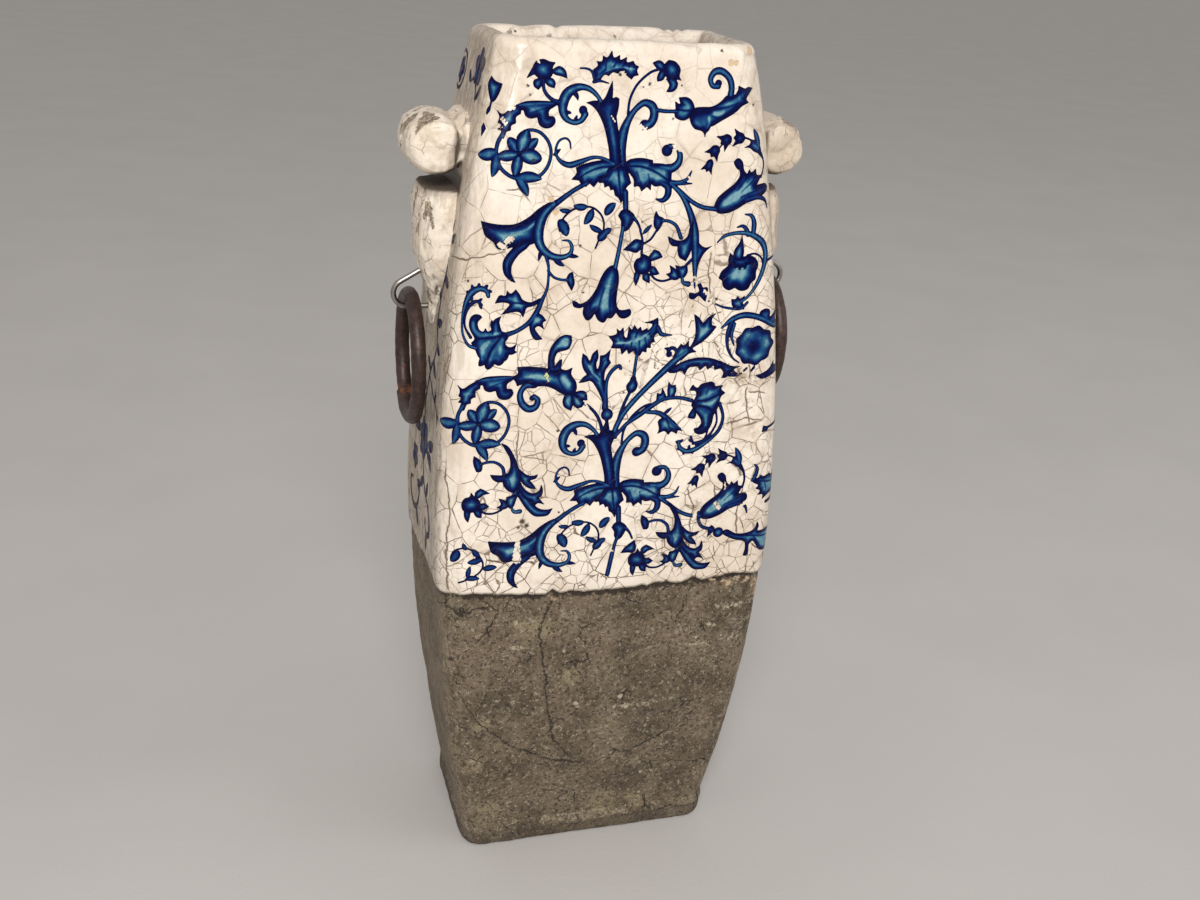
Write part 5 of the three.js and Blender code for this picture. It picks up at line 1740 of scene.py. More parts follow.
def upper_arm(ink):
    """Arm below the right stem with its bud, bells and worn fronds, as on the left but longer."""
    ink.stroke([(21.4, 383.6), (26.6, 378.6), (31, 371.4), (34, 363), (35.2, 354), (35.6, 345), (36, 333)],
               (0.9, 1.2, 1.7, 2.2, 2.0, 1.3, 0.3), 0.75)
    ink.shape(
        [(35.6, 359, 1), (37.4, 355), (40.6, 353), (44.2, 353.8, 1), (41, 351.2), (38.8, 348), (37, 343),
         (35.8, 338, 1), (35, 346)], 0.75, 2.0)
    ink.shape(
        [(33.6, 368, 1), (33.8, 358), (33, 351.4), (30.6, 346.4, 1), (27, 348.4), (26, 351.4),
         (25.8, 353.8, 1), (23.2, 354), (21.4, 355.8), (20.6, 358.8, 1), (25, 356.8), (28.6, 356.8),
         (31, 359), (31.8, 363)], 0.85, 2.4, over=True)
    ink.shape(
        [(12.8, 365.5), (13, 368.6), (13.8, 371.2, 1), (15.6, 368.6), (18, 367.4), (17.2, 364.2),
         (15.2, 361.2, 1), (13.4, 363)], 0.7, 1.8)
    ink.stroke([(17.2, 366.4), (21, 366), (24.8, 363.6), (27.4, 358)], (0.7, 0.8, 1.0), 0.7)
    ink.shape(
        [(27.6, 338), (24.4, 337.2), (20.4, 340.2, 1), (22.8, 341.2), (22.2, 344.6, 1), (25, 342.9),
         (26.8, 341)], 0.8, 1.6)
    ink.shape(
        [(27.8, 338.2), (26.4, 341.4), (25, 344.6, 1), (28.4, 343.8), (31.4, 345, 1), (31.8, 341),
         (30, 338.2)], 0.9, 1.7, over=True)
    ink.stroke([(29, 338.6), (29.8, 335.8), (32.4, 335)], (0.6, 0.9, 1.4), 0.8)
    ink.stroke([(31, 344.6), (34, 347.4)], 0.7, 0.4)
    ink.shape(
        [(33.4, 330.6), (33.6, 327.8), (36, 327.4), (38.4, 329), (40.6, 327.2), (42.2, 325.8, 1), (43, 330),
         (43, 333), (40.4, 333, 1), (39, 335.4), (37.4, 334.4, 1), (38.6, 331.4), (36.6, 330.2)], 0.45, 1.8)


def hanging_disc_flower(ink):
    """Round tendril at the right edge with a hanging flower in it."""
    ink.stroke(
        [(46.8, 355.4), (50, 358.3), (55, 359.8), (61, 360), (66, 358.8), (70.4, 355.8), (72.6, 351.6),
         (73.2, 347), (72.2, 341), (69, 333.4), (65, 328), (61.4, 325.4)],
        (0.3, 0.8, 0.9, 1.1, 1.5, 1.8, 1.8, 1.5, 1.2, 0.9, 0.7, 0.7), 0.85)
    ink.stroke([(63.4, 348.9), (67.6, 349.6), (71, 347.4), (72.4, 343)], 0.45, 0.4)
    ink.stroke([(72.4, 345.2), (77.6, 346.8)], (0.9, 0.25), 0.4)
    ink.stroke([(47.8, 324.6), (52, 322.9), (58, 321.9), (62, 322.1), (65, 325)], (0.4, 0.65, 0.7), 0.6)
    ink.stroke([(60.8, 369.2), (64.4, 368.4), (66, 364.6), (65.8, 359.6)], (0.3, 1.0, 1.4, 1.2), 0.7)
    ink.stroke([(57, 362.8), (60, 363.4), (62.4, 361.4), (63, 359)], (0.3, 1.0, 1.0), 0.6)
    ink.shape(
        [(57, 323.2), (56.2, 327, 1), (58.4, 326.8), (59.6, 328.6, 1), (61, 327), (63.4, 328.6, 1),
         (62.6, 325), (63.6, 321.4, 1), (60, 322)], 0.85, 1.7)
    ink.shape(
        [(54.4, 346), (52.8, 343.4), (50, 341), (48.6, 337.6, 1), (50.8, 336.2, 1), (51.4, 333.2),
         (54.4, 331.4), (57.6, 332.6, 1), (61, 331), (64.6, 331.8), (66.4, 335, 1), (68.6, 337),
         (68.6, 340.4, 1), (69.6, 344.4), (67.4, 347.8), (63.4, 348.6), (58, 347)],
        0.9, 3.8, glow=(59.5, 340, 6))
    ink.shape(
        [(54, 350.2, 1), (53.2, 346.4), (54.4, 344.2), (56, 345, 1), (56.6, 342.4), (58.6, 343.2, 1),
         (59.6, 341.4), (61, 343.1, 1), (62.8, 342), (63.6, 344.4, 1), (65.4, 344.2), (65.4, 347),
         (63.4, 348.6), (61, 348), (57, 348)], 0.5, 1.8, over=True)
    ink.shape(
        [(60, 358.8, 1), (58.6, 355), (56.4, 351.8), (56, 348.6), (58, 346.3), (60.4, 346.9), (61.4, 349.8),
         (61, 354)], 1.0, 2.0, over=True)


def ringed_rosette(ink):
    """Round tendril at the right edge with a scalloped flower in it."""
    ink.stroke([(52, 312.2), (57, 316.2), (63, 318.4), (69, 318), (75, 315.8), (80, 312), (83.4, 308.4)],
               (0.5, 1.5, 1.6, 1.5, 1.7, 1.7, 0.7), 0.75)
    ink.shape(
        [(72.8, 317), (72.4, 320), (75.4, 321.3), (77.6, 319.8), (77.8, 316.6), (80.4, 319, 1),
         (80.4, 314.4), (82, 311), (78, 312.6)], 0.6, 1.8)
    ink.stroke(
        [(57.4, 315.4), (55.4, 308.6), (56, 301.8), (59, 296.4), (62.8, 293.6)], (1.4, 1.1, 0.8, 0.6, 0.3),
        0.5)
    ink.stroke([(58.8, 314), (57.6, 308), (59.4, 302.8)], (0.9, 0.9, 0.3), 0.7)
    lobes = 9
    ink.shape(
        [(70.4 + reach * math.cos(angle), 302.4 + reach * math.sin(angle), *sharp) for k in range(lobes)
         for angle,
         reach,
         sharp in (((2 * k) * math.pi / lobes, 10.6, ()), ((2 * k + 1) * math.pi / lobes, 9.5, (1,)))],
        0.50, 2.4)
    for x, z in ((65.6, 308), (76.8, 303.4), (72.8, 296.2), (64.4, 298.6)):
        ink.tint([(x, z), (x + 0.4, z)], 2.8, 0.40)
    ink.shade([(70, 301.6), (70.6, 302)], 3.4, 0.85)
    ink.shape(
        [(72.2, 286.6, 1), (76, 287.4), (79, 288.8), (80.6, 290.4), (81.8, 293, 1), (82.4, 290.2),
         (85.4, 290, 1), (84.8, 287), (80, 285.2), (76, 284.5)], 0.35, 1.8)
    ink.stroke([(65.8, 289.2), (67.4, 290.6)], 0.5, 0.1)
    ink.stroke([(70, 289.2), (71.4, 291)], 0.6, 0.1)


def left_fan(ink):
    """Stem from the trumpet flower with a sprig, a lobed leaf and a fan flower in feathery arcs."""
    ink.stroke(
        [(-41, 350), (-39.7, 345), (-39.6, 339), (-40.2, 334), (-42.6, 328.6), (-45.6, 322), (-49.4, 317.4),
         (-55, 313.8), (-61, 311.8)], (0.9, 0.6, 0.6, 0.7, 1.2, 1.4, 1.1, 1.0, 1.3), 0.6)
    ink.stroke([(-39.8, 343), (-37, 339.8), (-33, 338.4), (-29.8, 338.4)], 0.6, 0.7)
    ink.shape(
        [(-30.6, 338.3), (-29.5, 341.2), (-27.4, 342.2, 1), (-26.9, 339.4), (-26.4, 336.4),
         (-27.8, 332.8, 1), (-29.4, 335.4)], 0.9, 1.8)
    ink.shape(
        [(-43.6, 329.6), (-48, 327.8), (-52, 329), (-53.6, 331.6), (-55.6, 334.2, 1), (-58, 332.2),
         (-60, 333.8, 1), (-60.6, 331.2), (-63.6, 331.4), (-65.8, 327.6, 1), (-61.5, 328), (-58.6, 327),
         (-60.4, 324.6), (-62.6, 322, 1), (-59, 322.8), (-54, 323.2), (-51.8, 320.4, 1), (-50.8, 323.4),
         (-50, 325.2), (-45.6, 326.4)], 1.0, 2.2)
    ink.shade([(-46, 327.4), (-51, 327.2), (-57, 327.8)], (0.5, 0.4), 0.8)
    ink.shape(
        [(-46.8, 322), (-43, 321.8), (-40.2, 318.8, 1), (-42, 317.4), (-41.2, 314.4, 1), (-44, 316),
         (-45.8, 314.8), (-44.4, 312.4), (-41.8, 309.4, 1), (-45.6, 309.2), (-47.8, 312.4), (-48.6, 316),
         (-48, 319.5)], 0.9, 1.8)
    ink.stroke(
        [(-75, 306), (-79, 307.4), (-81.6, 313), (-81.4, 321), (-79.6, 328), (-77, 332.6), (-73, 334.8),
         (-69.8, 333.6), (-69, 331.2)], (0.9, 0.7, 0.6, 0.6, 0.8, 1.3, 1.7, 1.3, 0.9), 0.8)
    for base, tip in (
            ((-78.4, 331), (-79.4, 333.2)), ((-76.4, 333.6), (-77, 336.4)), ((-73.8, 335), (-73.4, 337.4)),
            ((-71, 335), (-69.2, 336.6)), ((-69.4, 333.6), (-67.2, 333.4)), ((-78, 329), (-76.4, 330.4))):
        ink.leaf(base, tip, 0.8, 0, 0.4)
    ink.stroke([(-77.6, 311), (-80.4, 316), (-80, 322), (-77.6, 326.8), (-74.4, 328.6), (-72.2, 327)],
               (0.8, 0.5, 0.5, 0.7, 0.9, 0.6), 0.4)
    ink.leaf((-74.4, 328), (-71.8, 330.2), 0.7, 0, 0.3)
    ink.leaf((-73.4, 328.4), (-72.2, 324.8), 0.8, 0, 0.3)
    ink.shape(
        [(-59.8, 313), (-62.1, 313.9), (-63.1, 316.6), (-63.5, 318.6), (-62.5, 321.4, 1), (-65.7, 319.9),
         (-66.4, 318.6, 1), (-67.4, 319.6, 1), (-68, 317), (-67.4, 314.8), (-69.1, 313.9),
         (-70.3, 315.8, 1), (-71.2, 314), (-73, 314.6), (-74, 316.6), (-73.9, 318.8), (-71.9, 320.9, 1),
         (-73, 322.1), (-75.4, 322.3), (-77.6, 320.6), (-78.4, 317), (-77.5, 313.9), (-75.6, 310.4),
         (-77.4, 308.3, 1), (-76.3, 307.1, 1), (-75.2, 305), (-73.9, 302), (-73, 301, 1), (-73.6, 298.6),
         (-73.4, 297), (-71.6, 297.2), (-70.6, 297.8, 1), (-70.1, 295.9), (-68.6, 295.2), (-67, 296.3),
         (-65.6, 297.9, 1), (-64, 297), (-62.2, 297.4), (-60.9, 298.9, 1), (-59.4, 300), (-58.5, 302.3, 1),
         (-57, 302.2), (-54.5, 303.4, 1), (-55.8, 304.2, 1), (-54.8, 307.6, 1), (-56.6, 306.2),
         (-58.4, 305.9), (-60, 306.9), (-60.4, 308.6), (-59, 310.7)], 0.55, 2.2)
    ink.tint(
        [(-76.4, 318), (-75.8, 314.6), (-72.6, 312.8), (-67, 312.6), (-63.2, 313)], (1.0, 1.5, 1.3, 0.8),
        0.5)
    ink.tint([(-65, 318), (-65.2, 315)], (0.7, 0.9), 0.3)
    ink.tint([(-68.6, 309), (-71.6, 305.6), (-72, 300.4)], (0.8, 1.6, 0.8), 0.55)
    ink.tint([(-61.6, 309.6), (-62.6, 306), (-63, 303)], (0.8, 1.5, 0.8), 0.45)
    ink.tint([(-66.6, 304), (-67.8, 300)], (0.9, 0.8), 0.25)
    ink.shade([(-60, 312), (-66, 311), (-74, 310.6)], (0.6, 0.8, 0.6), 0.85)
    ink.shade([(-63, 310.4), (-67, 305.4), (-69.8, 299)], (0.4, 0.7, 0.5), 0.9)
    ink.shade([(-66.6, 312.6), (-67.8, 315.4)], (0.4, 0.4), 0.6)


def cornucopia(ink):
    """Paddle bud, horn-shaped leaf with a spiral and a drooping bell, and its long stem."""
    ink.shape(
        [(-38.2, 293), (-38.8, 300), (-37.4, 305.4), (-34, 309.6), (-30.6, 311.2), (-27.2, 310.8, 1),
         (-27, 307.5), (-28.4, 304.2), (-31.4, 303.2), (-34, 302.4), (-35.4, 299.5), (-35.4, 295.6, 1),
         (-33.4, 298.2), (-31.8, 299.2, 1), (-31.8, 296.4), (-33, 293)], 1.0, 2.2)
    ink.tint([(-30.4, 308.6), (-29.6, 307)], 2.0, 0.5)
    ink.stroke(
        [(-45.6, 286.8), (-50, 286.2), (-52.6, 282.4), (-51.8, 277.6), (-48.4, 274.4), (-44.8, 275.2),
         (-43.6, 278.6), (-45.6, 280.6)], (2.0, 1.5, 1.4, 1.7, 1.9, 1.8, 1.5, 1.2), 0.75)
    ink.ball(-46.6, 279.8, 1.3, 0.3)
    ink.shape(
        [(-57.5, 291, 1), (-54, 292.5), (-54.4, 295.9, 1), (-48, 295.8), (-40, 294.8), (-34, 292.8),
         (-32.4, 294.2, 1), (-29.5, 293.4), (-26.2, 294.6, 1), (-26.8, 291.2), (-24.2, 287), (-24, 283),
         (-26.5, 280.4), (-31, 281.2), (-35.5, 284), (-40, 285.6), (-45, 285.8), (-49.5, 287.6),
         (-54.2, 286.2, 1), (-55.4, 289)], 0.7, 2.9, over=True)
    ink.tint([(-50, 290.4), (-44, 290.6), (-38, 289)], (0.8, 1.2, 0.8), 0.4)
    ink.tint([(-30.6, 289.8), (-28, 286.4)], (1.6, 1.6), 0.4)
    ink.shade([(-33.6, 293), (-32.8, 288), (-29.6, 283)], (0.5, 0.5), 0.6)
    for petal in (
            [(-29, 281.6), (-30.8, 278), (-30, 274.6), (-26.4, 272.3, 1), (-25.4, 276), (-25.4, 280.6)],
            [(-26.2, 280.8), (-25.6, 275.8), (-23.4, 273.4, 1), (-20.6, 274.2), (-20.2, 276.6),
             (-22.5, 279.8)],
            [(-24.6, 281.8), (-21, 282.6), (-18.6, 281.2), (-18, 277.4, 1), (-21, 277.8), (-24.2, 279.8)]):
        ink.shape(petal, 0.85, 1.6, over=True)
    ink.stroke([(-21.4, 276.8), (-17, 274), (-13, 269.6), (-10.4, 264), (-9, 257)], (0.6, 0.8, 0.9), 0.4)
    # Stem at the left edge
    ink.stroke([(-81.8, 277), (-83.4, 271.5), (-83.2, 265)], (0.7, 0.7), 0.6)


def palmette(ink):
    """Palmette over the lower trunk with two beads, and the serrated leaf beside it."""
    ink.shape(
        [(-9.2, 284.6), (-9.6, 288.6), (-9, 292.6), (-6.4, 296.4), (-7.4, 298), (-6.8, 303.2, 1),
         (-9.6, 300.6), (-12.2, 300.2, 1), (-12.4, 295.6), (-13.4, 292.6, 1), (-14, 296), (-13, 299.4),
         (-13.6, 303.4, 1), (-16.2, 301), (-17.4, 297.6), (-19, 300), (-21.2, 301.6, 1), (-21.6, 297.4),
         (-20.6, 293.6), (-18.6, 290.6, 1), (-20.4, 289.6), (-23, 286.6, 1), (-20, 286.8), (-16.4, 287.2),
         (-13.2, 283), (-10.4, 277), (-9.4, 272, 1), (-7.2, 272, 1), (-7.4, 278)], 0.95, 2.0)
    for fold in ([(-12, 289), (-14.6, 293), (-15, 299)], [(-10.4, 288), (-11.4, 293), (-9.6, 298)],
                 [(-12.6, 287), (-16.6, 291), (-19.4, 296)]):
        ink.shade(fold, (0.4, 0.5, 0.3), 0.6)
    ink.stroke([(-8.6, 273), (-8.6, 282), (-8, 288), (-5.4, 292.4), (-2, 294.6), (-1.2, 293.2)],
               (1.7, 1.3, 0.9, 0.9, 1.0, 0.8), 0.6)
    ink.ball(-7.4, 269.4, 3.1, 0.75, over=True)
    ink.stroke([(-7.6, 267), (-6.6, 262), (-5.4, 256)], 0.8, 0.4)
    ink.shape(
        [(6.6, 299.2, 1), (5.2, 302.2, 1), (2.6, 300.4, 1), (1.6, 302.8, 1), (-1, 300.2, 1),
         (-1.8, 303.4, 1), (-6.8, 303.8, 1), (-5.8, 306.6), (-8.2, 309.8, 1), (-4.2, 310.8), (-4, 313.6, 1),
         (-2.4, 312.2, 1), (-0.6, 314.2, 1), (0, 309.6, 1), (1.4, 308.8), (2.2, 314.6, 1), (3.8, 312.6, 1),
         (5.2, 315.2, 1), (6.8, 312.8, 1), (8.4, 314.2, 1), (9.2, 312, 1), (12, 313.4, 1), (12.4, 312.2),
         (14.6, 315.2), (10, 316.2, 1), (14, 317), (17.4, 318.6, 1), (17.8, 314.6), (17.6, 311, 1),
         (15.8, 308.8), (16.2, 306.2, 1), (14.2, 305.6), (14.2, 303.2, 1), (12, 303.4, 1), (12, 301, 1),
         (9.8, 301.6, 1), (8.6, 299.4, 1)], 0.8, 2.2)
    ink.tint([(-5, 306), (2, 306.4), (8, 308), (12.6, 311), (16.4, 315)], (0.4, 0.5, 0.4), 0.4)
    for root, end in (
            ((0, 305.4), (-1.4, 301.4)), ((4, 306.4), (3.4, 302)), ((8, 307), (8, 301.4)),
            ((11, 308.4), (12, 303)), ((13.4, 310.6), (15.4, 306)), ((2, 308), (3.6, 312.4)),
            ((6, 309), (7.4, 313)), ((-2, 307.6), (-3.4, 312))):
        ink.shade([root, end], (0.45, 0.3), 0.7)
    ink.stroke([(17.4, 313.4), (19.8, 310), (25.2, 309.4)], (1.3, 1.0, 0.25), 0.6)
    ink.stroke([(7, 300), (6.4, 294), (5.8, 287)], (0.7, 0.9), 0.7)
    ink.stroke([(4.2, 280.6), (1.4, 274.4), (-1, 267), (-2.4, 257)], (0.8, 0.8, 0.9), 0.4)
    ink.shape(
        [(4.6, 288.6), (7, 288.6), (7.4, 286.6), (8.2, 284), (7, 281.2), (4.6, 280), (2.8, 281.4),
         (2.2, 284), (4, 286.6)], 0.95, 2.4, over=True)
    ink.shade([(3.8, 287), (7.4, 287)], 0.3, 0.8)


def long_branch(ink):
    """Long branch over the lower trunk's right arm, with a forked leaf and a serrated arm."""
    ink.stroke(
        [(-4.6, 255), (-2.4, 262), (1, 269), (6.6, 276), (13.4, 283), (21, 290.2), (28, 296.4),
         (33.6, 300.4)], (1.0, 1.4, 1.4, 1.4, 1.5, 1.7, 1.9, 1.4), 0.75)
    ink.shape(
        [(32.4, 299.2), (35.4, 303), (37.4, 307), (37.8, 312), (36.6, 319.8, 1), (39.4, 317.8),
         (41.6, 315, 1), (44.4, 318), (48.6, 320, 1), (46.4, 317), (46.6, 313.8, 1), (49.2, 313, 1),
         (46, 309), (42, 305.4), (38.6, 303.4), (36.8, 302), (39, 300.2, 1), (35, 299.4), (31, 296)],
        1.0, 2.4)
    ink.shape(
        [(26.6, 297.6), (28, 301.4), (30.4, 304.8, 1), (32, 303.8), (34.6, 306.2, 1), (34.8, 303.2),
         (36.8, 301.6), (33.6, 299), (30, 297)], 0.8, 1.9)
    ink.stroke([(28.4, 298), (28, 301.4), (25.6, 302.8), (23.6, 301.4)], (1.0, 0.9, 0.9, 0.9), 0.4)
    ink.ball(24.2, 299.6, 1.6, 0.3)
    ink.leaf((25, 302.4), (21.4, 302.6), 0.7, 0, 0.3)
    ink.shape(
        [(24.4, 290.4), (30, 294.6), (38, 297), (46, 296.8), (53, 294.6), (59, 292), (64, 291.8, 1),
         (60.2, 290), (63.6, 287.2, 1), (58, 288.6), (56.2, 286), (53.6, 286, 1), (54.6, 288.6),
         (52.8, 291.2, 1), (49.4, 290.2, 1), (49, 292.8, 1), (45.6, 290.6, 1), (44.6, 292.8, 1),
         (41.4, 290.4, 1), (40, 292.6, 1), (35.4, 292), (33.4, 288.4, 1), (31.4, 290.6), (28, 289.6)],
        0.75, 2.2)
    ink.tint([(30, 293.6), (38, 295.2), (46, 295)], (0.4, 0.4), 0.3)
    ink.stroke([(58, 287.4), (62, 287), (64.6, 288)], (1.0, 0.4), 0.3)


def acanthus(ink):
    """Crowned acanthus flower on a forked stem, with feathery arcs below it."""
    ink.stroke([(-2, 258), (3, 263.6), (10, 268.4), (17, 273.2), (23, 276.2), (31, 276.4), (38, 274.6)],
               (0.8, 1.0, 1.4, 1.3, 1.1, 0.9, 1.0), 0.6)
    ink.shape(
        [(25.2, 276.4), (24.4, 280), (24.8, 285.4, 1), (26.6, 283.2), (28.8, 283.4, 1), (29.2, 279.6),
         (27.4, 276.6)], 0.9, 1.6)
    ink.shape(
        [(19, 274), (18.8, 279.6, 1), (20.8, 279), (21.6, 282, 1), (23, 279.6), (23.8, 276.6)], 0.75, 1.4)
    ink.stroke(
        [(14, 269.6), (20, 268.9), (24.4, 266.2), (29.4, 262), (33, 259.4)], (0.9, 1.2, 1.5, 1.2, 0.3), 0.7)
    ink.leaf((23, 268), (27.4, 271.4), 0.9, 0, 0.4)
    ink.shape(
        [(24.4, 267, 1), (20.4, 264.6), (21, 260.4), (20.4, 257.6, 1), (24, 258.8), (26.4, 256.6, 1),
         (28, 258.4), (31, 256.8, 1), (31.4, 258.8), (34, 258.4, 1), (31.4, 261.4), (28.6, 264.4)],
        0.9, 2.2)
    ink.shade([(24.6, 266), (26.6, 261), (29.6, 257.8)], (0.5, 0.3), 0.7)
    ink.shape(
        [(36.4, 279.8, 1), (37, 281.4), (38.3, 283, 1), (40, 281.4), (41.2, 281.2, 1), (42.4, 282.8),
         (44, 283.5, 1), (46, 283.8), (48.2, 284.2), (50, 283.4, 1), (50.6, 281.6), (52.2, 281.8, 1),
         (55, 282, 1), (54, 280), (56.4, 277.8, 1), (54.2, 276), (53.4, 273), (52.8, 270), (50.8, 266),
         (50, 261.6), (48, 257.8), (44.6, 256), (41.2, 256.8), (40.2, 259.2), (42.4, 259.8, 1), (44, 262),
         (43.4, 264.6), (41.4, 267.4), (40.2, 269.4), (38, 272), (39.4, 275), (40.4, 277.4), (39.6, 279.6)],
        0.5, 2.6)
    ink.tint([(41.6, 275.4), (45, 276.4), (49, 278.6), (52.4, 280.2)], (0.9, 1.5, 0.9), 0.4)
    ink.tint([(44.6, 272.4), (49, 272.6), (52.6, 275.6)], (0.8, 1.5, 0.8), 0.55)
    ink.tint([(41.6, 269.6), (45.6, 266), (46.6, 261)], (0.9, 1.3, 0.7), 0.45)
    ink.shade([(40, 274.2), (46, 274.4), (53.8, 277.4)], (0.5, 0.6, 0.3), 0.85)
    ink.shade([(42.6, 276.6), (44, 281)], (0.4, 0.3), 0.5)
    ink.shade([(46, 277.6), (47.6, 282)], (0.4, 0.3), 0.5)
    ink.shade([(40.4, 271.8), (46, 270.6), (51, 268)], (0.6, 0.8, 0.6), 0.85)
    ink.shape([(36.6, 266.6), (39.6, 270.8), (41, 266.4), (40, 264.6, 1), (37, 265.2)], 0.7, 1.6)
    ink.stroke(
        [(53.8, 272), (56, 265), (54.6, 258.6), (50.6, 254), (45.4, 251.2)], (0.9, 0.8, 1.0, 1.0, 0.9), 0.5)
    ink.stroke(
        [(52, 268), (52.6, 262), (49.6, 256), (45.6, 252.4), (40.4, 251.2)], (0.5, 0.5, 0.6, 0.9, 0.8), 0.4)
    ink.stroke([(47.6, 263), (47.8, 257), (45, 251)], 0.4, 0.3)
    ink.stroke([(51, 253.6), (46, 250.4), (41, 247.8), (36.4, 247.2), (33, 249.6), (32.2, 252.8)],
               (0.6, 1.0, 1.4, 1.3, 1.2, 0.8), 0.8)
    for base, tip in (
            ((39.6, 252), (38.6, 255.8)), ((40.6, 252), (37.4, 253.6)), ((42.4, 249), (42, 252.4)),
            ((32.4, 252), (34.8, 253.8)), ((32.6, 251.6), (30.6, 253)), ((36, 247), (35, 245.6)),
            ((40, 247.6), (40.4, 245.4)), ((38, 248), (38.4, 250.6)), ((33.6, 248.6), (31.4, 248.8))):
        ink.leaf(base, tip, 0.8, 0, 0.4)


def lower_right(ink):
    """Beaded branch and the leaf that turns round the right corner."""
    ink.stroke(
        [(46.6, 211.6), (46.8, 207), (49, 203.4), (53, 201.8), (56, 200.4)], (1.1, 0.9, 0.9, 0.8), 0.5)
    ink.shape(
        [(52.6, 202), (54.6, 203.8, 1), (56.4, 202), (55.6, 199.8), (52.4, 196.6, 1), (52.8, 199.6)], 0.5,
        1.6)
    ink.shape(
        [(61, 198.6), (63.6, 200.6), (69, 197.8), (75, 197.6), (79.6, 199.6), (81, 203.8, 1), (82.2, 201),
         (82, 198), (87, 197.6), (91, 194.4), (94, 190), (97, 184), (93, 186.6), (88.6, 190.6), (87.4, 188),
         (86.8, 184, 1), (83.4, 186.4), (81.6, 189.6), (79.4, 192.4), (77.4, 190), (77.4, 186),
         (76.8, 183.4, 1), (74.6, 184, 1), (75.4, 188), (74.4, 192.6), (69, 194), (64.6, 196)], 0.9, 2.0)
    ink.shade([(64, 198.4), (72, 196.2), (80, 195.6), (88, 193)], (0.4, 0.6, 0.4), 0.8)
    ink.shade([(80, 195), (83, 190), (85.4, 186)], (0.4, 0.3), 0.6)
    ink.ball(58.7, 199.2, 2.9, 0.8, over=True)
    ink.stroke([(76.4, 237.2), (78, 235), (77.4, 231.4), (76, 228.4)], (0.4, 1.0, 1.2, 1.0), 0.6)
    ink.shape(
        [(75, 229.6, 1), (78.4, 229.4), (80.4, 231.2, 1), (82, 229.8), (85, 230.8, 1), (86, 229.2),
         (90, 228.2), (94, 225), (98, 220), (101, 214), (97, 216.4), (93, 219.4), (90.4, 218.4),
         (88.6, 216.6, 1), (86, 218.6), (82.4, 216.6, 1), (82.4, 219.4), (79.6, 219.6, 1), (80.6, 222),
         (78, 223.4, 1), (79.4, 225.4), (76.4, 227)], 0.85, 2.2)
    ink.shade([(77, 228.4), (85, 226), (92, 221.4), (97, 217)], (0.4, 0.6, 0.4), 0.8)
    ink.shade([(83, 226), (84, 222), (83.6, 218)], (0.4, 0.3), 0.6)
    ink.stroke([(84.6, 214.4), (88.4, 214.6), (92, 213.6)], (0.9, 1.0, 0.6), 0.2)
    ink.stroke([(80, 257), (84.4, 258), (88, 260), (92, 262)], (0.7, 0.6, 0.8, 1.2), 0.2)
    ink.shape([(78.8, 255.2, 1), (79.2, 258.6, 1), (82.2, 257.4), (81.6, 255.4, 1)], 0.6, 1.2)


def left_vine(ink):
    """Leafy vine at the lower left corner."""
    ink.stroke(
        [(-85.6, 199), (-83, 201), (-78.6, 201.4), (-74, 198.6), (-70.6, 194), (-70.2, 189.6), (-73, 186),
         (-78, 183.6), (-82.4, 182)], 0.42, 0.15)
    for base, tip, half in (
            ((-83, 200), (-86.6, 193.8), 2.3), ((-78.8, 200.6), (-80.6, 204.4), 1.1),
            ((-72, 196), (-75.6, 200.8), 1.5), ((-70.6, 194.6), (-78.2, 193.4), 1.8),
            ((-69.8, 188.6), (-62.6, 189.2), 1.7), ((-77.8, 184.4), (-76.6, 191.2), 1.3),
            ((-79, 184), (-71.6, 183.4), 1.5)):
        ink.leaf(base, tip, half, 0.05, 0.7, 0.3)


def wear(ink):
    """Places where the ink has chipped off on the front."""
    for points, widths, rough in (
            ([(-60, 357.4), (-58.4, 358.4)], 1.5, 0.6), ([(-63.6, 355.6), (-61.4, 354.6)], 1.3, 0.5),
            ([(-5.6, 434.6), (-4.6, 432)], 1.3, 0.6),
            ([(-51.6, 214), (-51.8, 207), (-52.4, 199), (-52.2, 192.6)], (1.4, 0.9, 1.5, 2.3), 0.4),
            ([(44.2, 213.6), (44.4, 209)], 1.1, 0.3), ([(22, 402), (24.6, 400.4)], 1.2, 0.5),
            ([(30, 387.2), (31.4, 385.6)], 0.6, 0.4), ([(-63, 413), (-61.4, 411)], 0.8, 0.7),
            ([(-63.8, 409.4)], 0.6, 0.5), ([(-59.6, 417.4), (-57.6, 418.2)], 0.7, 0.4),
            ([(4, 410.6), (6.6, 409.4)], 1.0, 0.8), ([(41.4, 331.4), (43, 329.6)], 0.8, 0.4),
            ([(35.8, 338.4), (36.8, 336)], 0.7, 0.5), ([(56, 216.4), (57.4, 213.8)], 1.2, 0.7),
            ([(-8.8, 413), (-10.4, 415.4)], 0.35, 0.4), ([(-46, 439.4)], 0.7, 0.3),
            ([(15.8, 421)], 0.3, 0.1), ([(72.6, 215.4), (69, 212.6)], 0.9, 0.4),
            ([(60, 228), (60.6, 224.4)], 0.5, 0.4), ([(-39.6, 291.6), (-38.4, 288)], (0.9, 0.5), 0.8),
            ([(-19, 276), (-17.6, 273.6)], 0.5, 0.3), ([(21.4, 206), (26, 205.8)], 0.5, 0.7),
            ([(-3, 193.6), (-0.6, 193.2)], 0.5, 0.3)):
        ink.chip(points, widths, rough)


